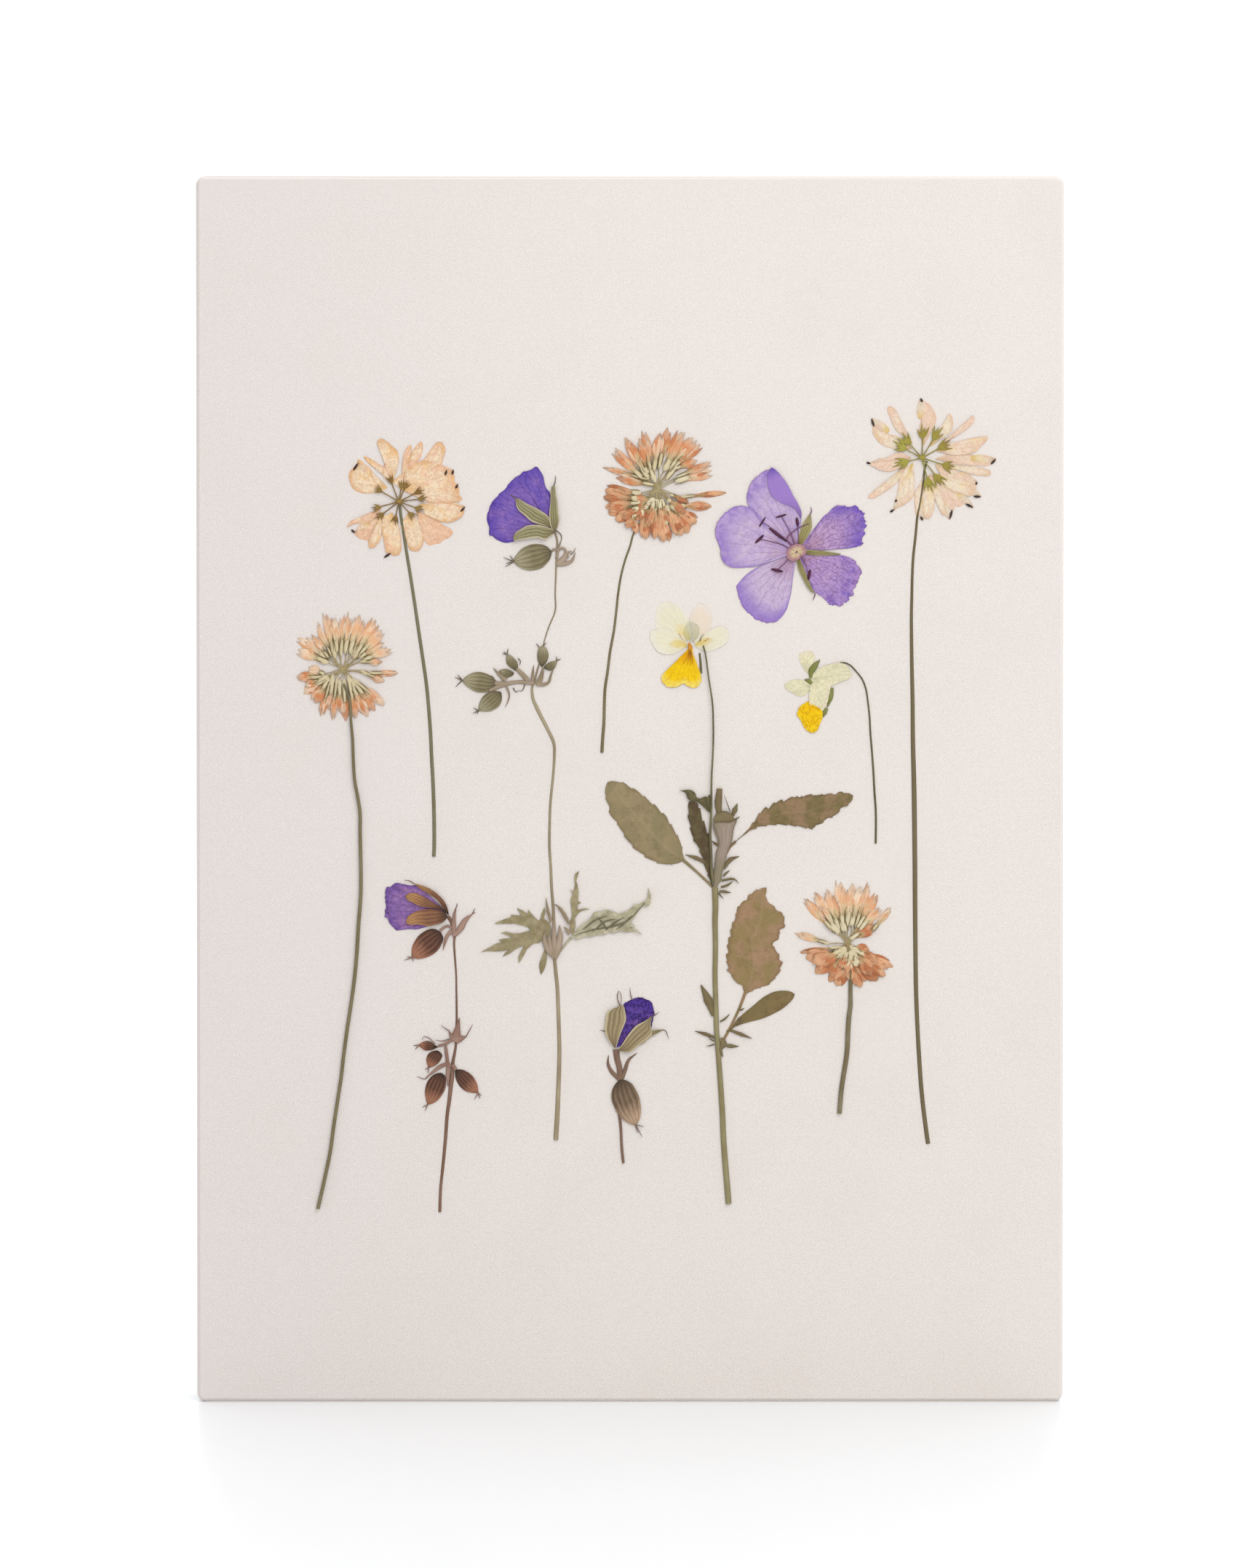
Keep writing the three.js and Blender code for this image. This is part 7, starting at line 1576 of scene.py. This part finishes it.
VIOLA_SMALL_BLADES = [
    ([(21.7, 142.4), (21.4, 145.2), (21.7, 148.8)], [1.2, 1.8, 1.3]),
    ([(24.8, 142.1), (25.4, 143.6), (26, 145.2)], [0.6, 1.3, 0.1]),
    ([(25.2, 141.1), (25.8, 141.5), (26.6, 142)], [0.5, 0.4, 0.1]),
    ([(18.2, 130.9), (16.2, 131.9), (13.3, 132.8)], [0.8, 1.0, 0.1]),
    ([(22.8, 129.4), (24.2, 131.5), (26.5, 132.4)], [0.6, 1.2, 0.1]),
    ([(22.6, 127.6), (23.4, 128.4), (24.2, 129)], [0.5, 0.5, 0.1]),
    ([(22.1, 126.5), (25, 126.9), (26.4, 125.8)], [0.5, 0.6, 0.1]),
    ([(22, 124.9), (23.6, 125.4), (25, 126.4)], [0.5, 0.6, 0.1]),
    ([(21.6, 123.9), (23, 123.8), (24.5, 123.5)], [0.5, 0.7, 0.1]),
    ([(21.4, 123.6), (22, 122.8), (22.7, 122.1)], [0.4, 0.3, 0.1]),
    ([(21.4, 135), (20.6, 135.5), (19.8, 136.1)], [0.6, 0.6, 0.1]),
    ([(20.1, 93.6), (19, 97.4), (17.2, 101.2)], [0.5, 2.2, 0.3]),
    ([(20.6, 88.4), (18.3, 89.3), (15.7, 90)], [0.6, 0.9, 0.1]),
    ([(24.4, 90.2), (27, 89.2), (29.6, 88.2)], [0.6, 0.9, 0.1]),
    ([(22.6, 86.7), (24.4, 86.4), (26.4, 86.3)], [0.6, 1.0, 0.1]),
    ([(21, 86.6), (21.9, 85.2), (22.5, 83.7)], [0.6, 1.0, 0.1]),
    ([(20.4, 86.8), (19.4, 86.5), (18.5, 86.4)], [0.4, 0.3, 0.1]),
    ([(20.4, 87.6), (19.6, 88), (19, 88.6)], [0.4, 0.3, 0.1]),
    ([(21.8, 92.3), (23, 93), (24.2, 94.2)], [0.4, 0.5, 0.1]),
    ([(21.8, 88.2), (22.6, 87), (21.8, 85.6)], [1.0, 1.8, 0.6]),
    ([(26.5, 95.2), (27.1, 95.2), (27.7, 95.6)], [0.4, 0.4, 0.1]),
    ([(26.2, 93.2), (27, 92.6), (26, 91.4)], [0.6, 0.6, 0.3]),
]
VIOLA_THREADS = [[(24.3, 143.1), (23.6, 145), (22.8, 147.2)], [(16.9, 184.4), (17.2, 185.4), (17.9, 186.2)]]


def add_tall_viola():
    cream = petal_finish("cream_petal", (250, 224, 120), (247, 240, 214), (247, 240, 224), (228, 222, 184),
                         13, 0.78, 0.3, 0.0)
    blush = petal_finish("blush_petal", (246, 236, 192), (247, 232, 212), (248, 236, 226), (232, 214, 192),
                         21, 0.8, 0.22, 0.12)
    yellow = petal_finish("yellow_petal", (236, 160, 16), (246, 204, 14), (243, 224, 110), (220, 150, 14),
                          15, 0.96, 0.6, 0.3, None, 0.3)
    glow = petal_finish("honey_spot", (250, 222, 110), (250, 226, 124), (248, 232, 170), (248, 226, 140), 3,
                        0.25, 0.1, 0.3)
    shade = petal_finish("calyx_seen_through", (214, 214, 184), (214, 215, 188), (228, 226, 204),
                         (192, 194, 164), 5, 0.22, 0.5, 0.3, None, 0.3)
    ray = stem_finish("nectar_line", (222, 146, 46), (190, 112, 34), (226, 160, 60))
    green = stem_finish("viola_stem_skin", (162, 152, 114), (116, 106, 70), (142, 130, 92))
    fine_green = stem_finish("viola_stalk_skin", (142, 134, 98), (84, 78, 54), (110, 100, 72))
    sprout = stem_finish("viola_shoot_skin", (148, 136, 112), (108, 96, 72), (166, 148, 136))
    small = stem_finish("viola_small_leaf", (134, 120, 86), (96, 84, 56), (122, 102, 72))
    skins = {
        "leaf_big": leaf_finish("big_leaf_skin", (154, 136, 102), (138, 126, 92), (170, 152, 118),
                                (120, 102, 74), 9, 1.3, 5.0),
        "leaf_long": leaf_finish("long_leaf_skin", (150, 122, 92), (120, 106, 68), (156, 136, 104),
                                 (92, 74, 50), 9, 1.3, 4.0),
        "leaf_torn": leaf_finish("torn_leaf_skin", (162, 130, 100), (144, 124, 82), (174, 146, 116),
                                 (122, 94, 66), 9, 1.3, 5.0),
        "leaf_low": leaf_finish("low_leaf_skin", (134, 112, 74), (122, 106, 68), (152, 132, 94),
                                (98, 80, 52), 8, 1.3, 4.0),
        "leaf_dark": leaf_finish("dark_leaf_skin", (88, 72, 50), (104, 94, 64), (124, 104, 78),
                                 (62, 48, 34), 7, 1.0, 2.4),
        "leaf_curled": leaf_finish("curled_leaf_skin", (92, 84, 58), (112, 104, 70), (80, 70, 48),
                                   (64, 54, 38), 6, 1.0, 1.6),
    }
    back = []
    for outline, foot, layer in VIOLA_PETALS:
        part = fan("petal", outline, foot, GLUE_LINE + 0.06 * layer, 54, 14, 0.06, 0.06, 5, True)
        if layer == 1:
            gather("tall_viola_blush_petal", [part], blush, ())
        else:
            back.append(part)
    gather("tall_viola_cream_petals", back, cream, ["tall_viola_petals"])
    seen = leaf("calyx", VIOLA_SHADE, (15, 184.2), (14.6, 189.2), 0.26, 10, 16, 0.05, 0.04)
    gather("tall_viola_calyx", [seen], shade, ["tall_viola_spur"])
    lip = fan("lip", VIOLA_YELLOW, (14.55, 182.9), 0.26, 72, 18, 0.1, 0.1, 6, True)
    gather("tall_viola_lip", [lip], yellow, ["tall_viola_petal_yellow"])
    rays = hairs(VIOLA_NECTAR_LINES, 0.15, 0.5)
    throat = [(14.2, 184), (14.55, 183.2), (14.6, 182)]
    rays.append(ribbon("throat", throat, [0.5, 1.1, 0.5], 0.5, 0.1, 10, 5))
    gather("tall_viola_nectar_lines", rays, ray, ())
    glows = [ribbon("glow", line, [0.5, 2.2, 2.4, 0.8], 0.22, 0.02, 10, 6) for line in VIOLA_GLOWS]
    gather("tall_viola_honey_spots", glows, glow, ())
    for place, (outline, foot, tip, low, petiole) in VIOLA_LEAVES.items():
        saw = {"leaf_long": 14, "leaf_torn": 16, "leaf_big": 9, "leaf_dark": 7}.get(place, 0)
        parts = [leaf("leaf", outline, foot, tip, low, 18, 120, 0.22, 0.12, 0, saw)]
        if petiole:
            parts.append(ribbon("petiole", petiole, [0.8, 0.6, 0.7], low, 0.25, 20, 5))
        gather("tall_viola_pressed_" + place, parts, skins[place], ["tall_viola_" + place])
    trunk = leaf("shoot", VIOLA_SHOOT, (20.3, 124.6), (23, 140.9), 0.5, 12, 30, 0.3, 0.08)
    gather("tall_viola_side_shoot", [trunk], sprout, ["tall_viola_shoot"])
    blades = strips("blade", VIOLA_SMALL_BLADES, 0.35)
    blades += hairs(VIOLA_THREADS, 0.25, 0.6)
    blades.append(leaf("cap", VIOLA_CAP, (20.2, 141), (25.2, 141.4), 0.75, 8, 16, 0.2, 0.05))
    gather("tall_viola_small_leaves", blades, small, ())
    stem_piece("tall_viola_main_stem", VIOLA_STEM, [1.5, 1.25, 1.2, 1.2, 1.25, 1.3, 1.35, 1.4], green,
               ["tall_viola_stem"], 0.3)
    stem_piece("tall_viola_fine_stalk", VIOLA_STALK, [0.4, 0.4, 0.42, 0.45, 0.5, 0.7, 0.7], fine_green,
               ["tall_viola_flower_stalk"], 0.75)
    stem_piece("tall_viola_loose_stalk", [(16.85, 181.6), (17.1, 179), (17.2, 176.7)], [0.45, 0.55, 0.7],
               fine_green, ["tall_viola_dropped_stalk"])


# Nodding viola

NODDING_STALK = [
    (50.9, 179.3), (52.2, 179.2), (53.5, 178.5), (54.7, 177.2), (56, 175.6), (56.8, 173.9), (57.3, 172),
    (57.6, 169.7), (58, 166.2), (58.2, 162.3), (58.6, 157.5), (58.9, 153.4), (59.2, 148), (59.5, 143.8),
    (59.55, 140), (59.5, 135.5),
]
NODDING_PETALS = [
    ([(40.9, 181.1), (41.9, 181.9), (43.5, 182.1), (44.4, 181.6), (44.8, 180.3), (44.1, 178.4),
      (43.6, 176.1), (42.8, 176.8), (41.5, 178.7)], (43.6, 175.8)),
    ([(37.4, 173.6), (38.1, 174.6), (39.3, 175), (40.9, 175.2), (42.5, 174.8), (43.8, 173.9), (43.2, 172.3),
      (42.2, 171.3), (40.6, 171.2), (39.3, 172), (38, 172.8)], (43.6, 173.4)),
    ([(43.8, 175.8), (44.4, 177.1), (47.7, 174.2), (48.6, 173.3), (48, 170.4), (47.3, 168.4), (46.5, 167.5),
      (45.1, 168.1), (44.4, 168.7), (43.5, 169.1), (43.3, 171), (43.5, 172.9)], (44, 175.6)),
    ([(45.2, 177.4), (47, 178.4), (49, 179), (50.9, 179.3), (52.2, 178.8), (53, 177.9), (53.6, 176.8),
      (53.3, 175.6), (51.5, 174.8), (49.3, 173.9), (47.7, 172.9), (46.1, 173.9), (44.8, 175.8)],
      (44.9, 175.4)),
]
NODDING_LIP = [
    (43.3, 169.9), (42.2, 169.4), (41.1, 168.6), (40.4, 166.8), (41.2, 165.5), (42, 163.9), (42.8, 162.8),
    (44.1, 162.3), (45.3, 162.8), (46.1, 164.6), (46.7, 166.5), (46.4, 167.8), (45.2, 168.4), (44.1, 168.7),
]
NODDING_SEPALS = [
    ([(43.7, 175.6), (44, 177.4), (45, 178.8), (46, 180)], [0.6, 1.6, 1.4, 0.1]),
    ([(44, 174.2), (43.2, 174.9), (42.2, 175.2)], [0.8, 1.1, 0.1]),
    ([(47.6, 168.3), (47.2, 167.3), (46.7, 166)], [0.8, 1.1, 0.1]),
    ([(48.9, 173.2), (48.6, 171), (47.8, 168.6)], [0.8, 1.2, 0.3]),
]


def add_nodding_viola():
    cream = petal_finish("nodding_cream_petal", (236, 228, 184), (247, 238, 202), (247, 232, 206),
                         (212, 202, 158), 7, 0.82, 0.45, 0.3, (232, 226, 192), 0.4)
    yellow = petal_finish("nodding_yellow_petal", (246, 190, 14), (245, 202, 10), (238, 206, 44),
                          (214, 142, 12), 9, 0.97, 0.6, 0.4, None, 0.6)
    green = stem_finish("nodding_sepal", (128, 132, 66), (92, 98, 46), (150, 150, 90))
    stalk = stem_finish("nodding_stalk_skin", (122, 118, 88), (86, 80, 56), (104, 94, 66))
    petals = [
        fan("petal", outline, foot, GLUE_LINE + 0.07 * index, 54, 14, 0.06, 0.06, 5, True)
        for index, (outline, foot) in enumerate(NODDING_PETALS)
    ]
    gather("nodding_viola_cream_petals", petals, cream, ["nodding_viola_petals"])
    lip = fan("lip", NODDING_LIP, (44, 169.2), 0.16, 66, 16, 0.1, 0.1, 6, True)
    gather("nodding_viola_lip", [lip], yellow, ["nodding_viola_petal_yellow"])
    gather("nodding_viola_sepals", strips("sepal", NODDING_SEPALS, 0.2, 0.2, 12), green, ())
    stem_piece("nodding_viola_bent_stalk", NODDING_STALK, [0.35, 0.4, 0.45, 0.5, 0.5], stalk,
               ["nodding_viola_stalk"])


add_camera()
add_studio()
add_floor()
dress_board()
add_vetches()
add_clovers()
add_open_flower()
add_tall_cranesbill()
add_low_cranesbill()
add_small_cranesbill()
add_tall_viola()
add_nodding_viola()
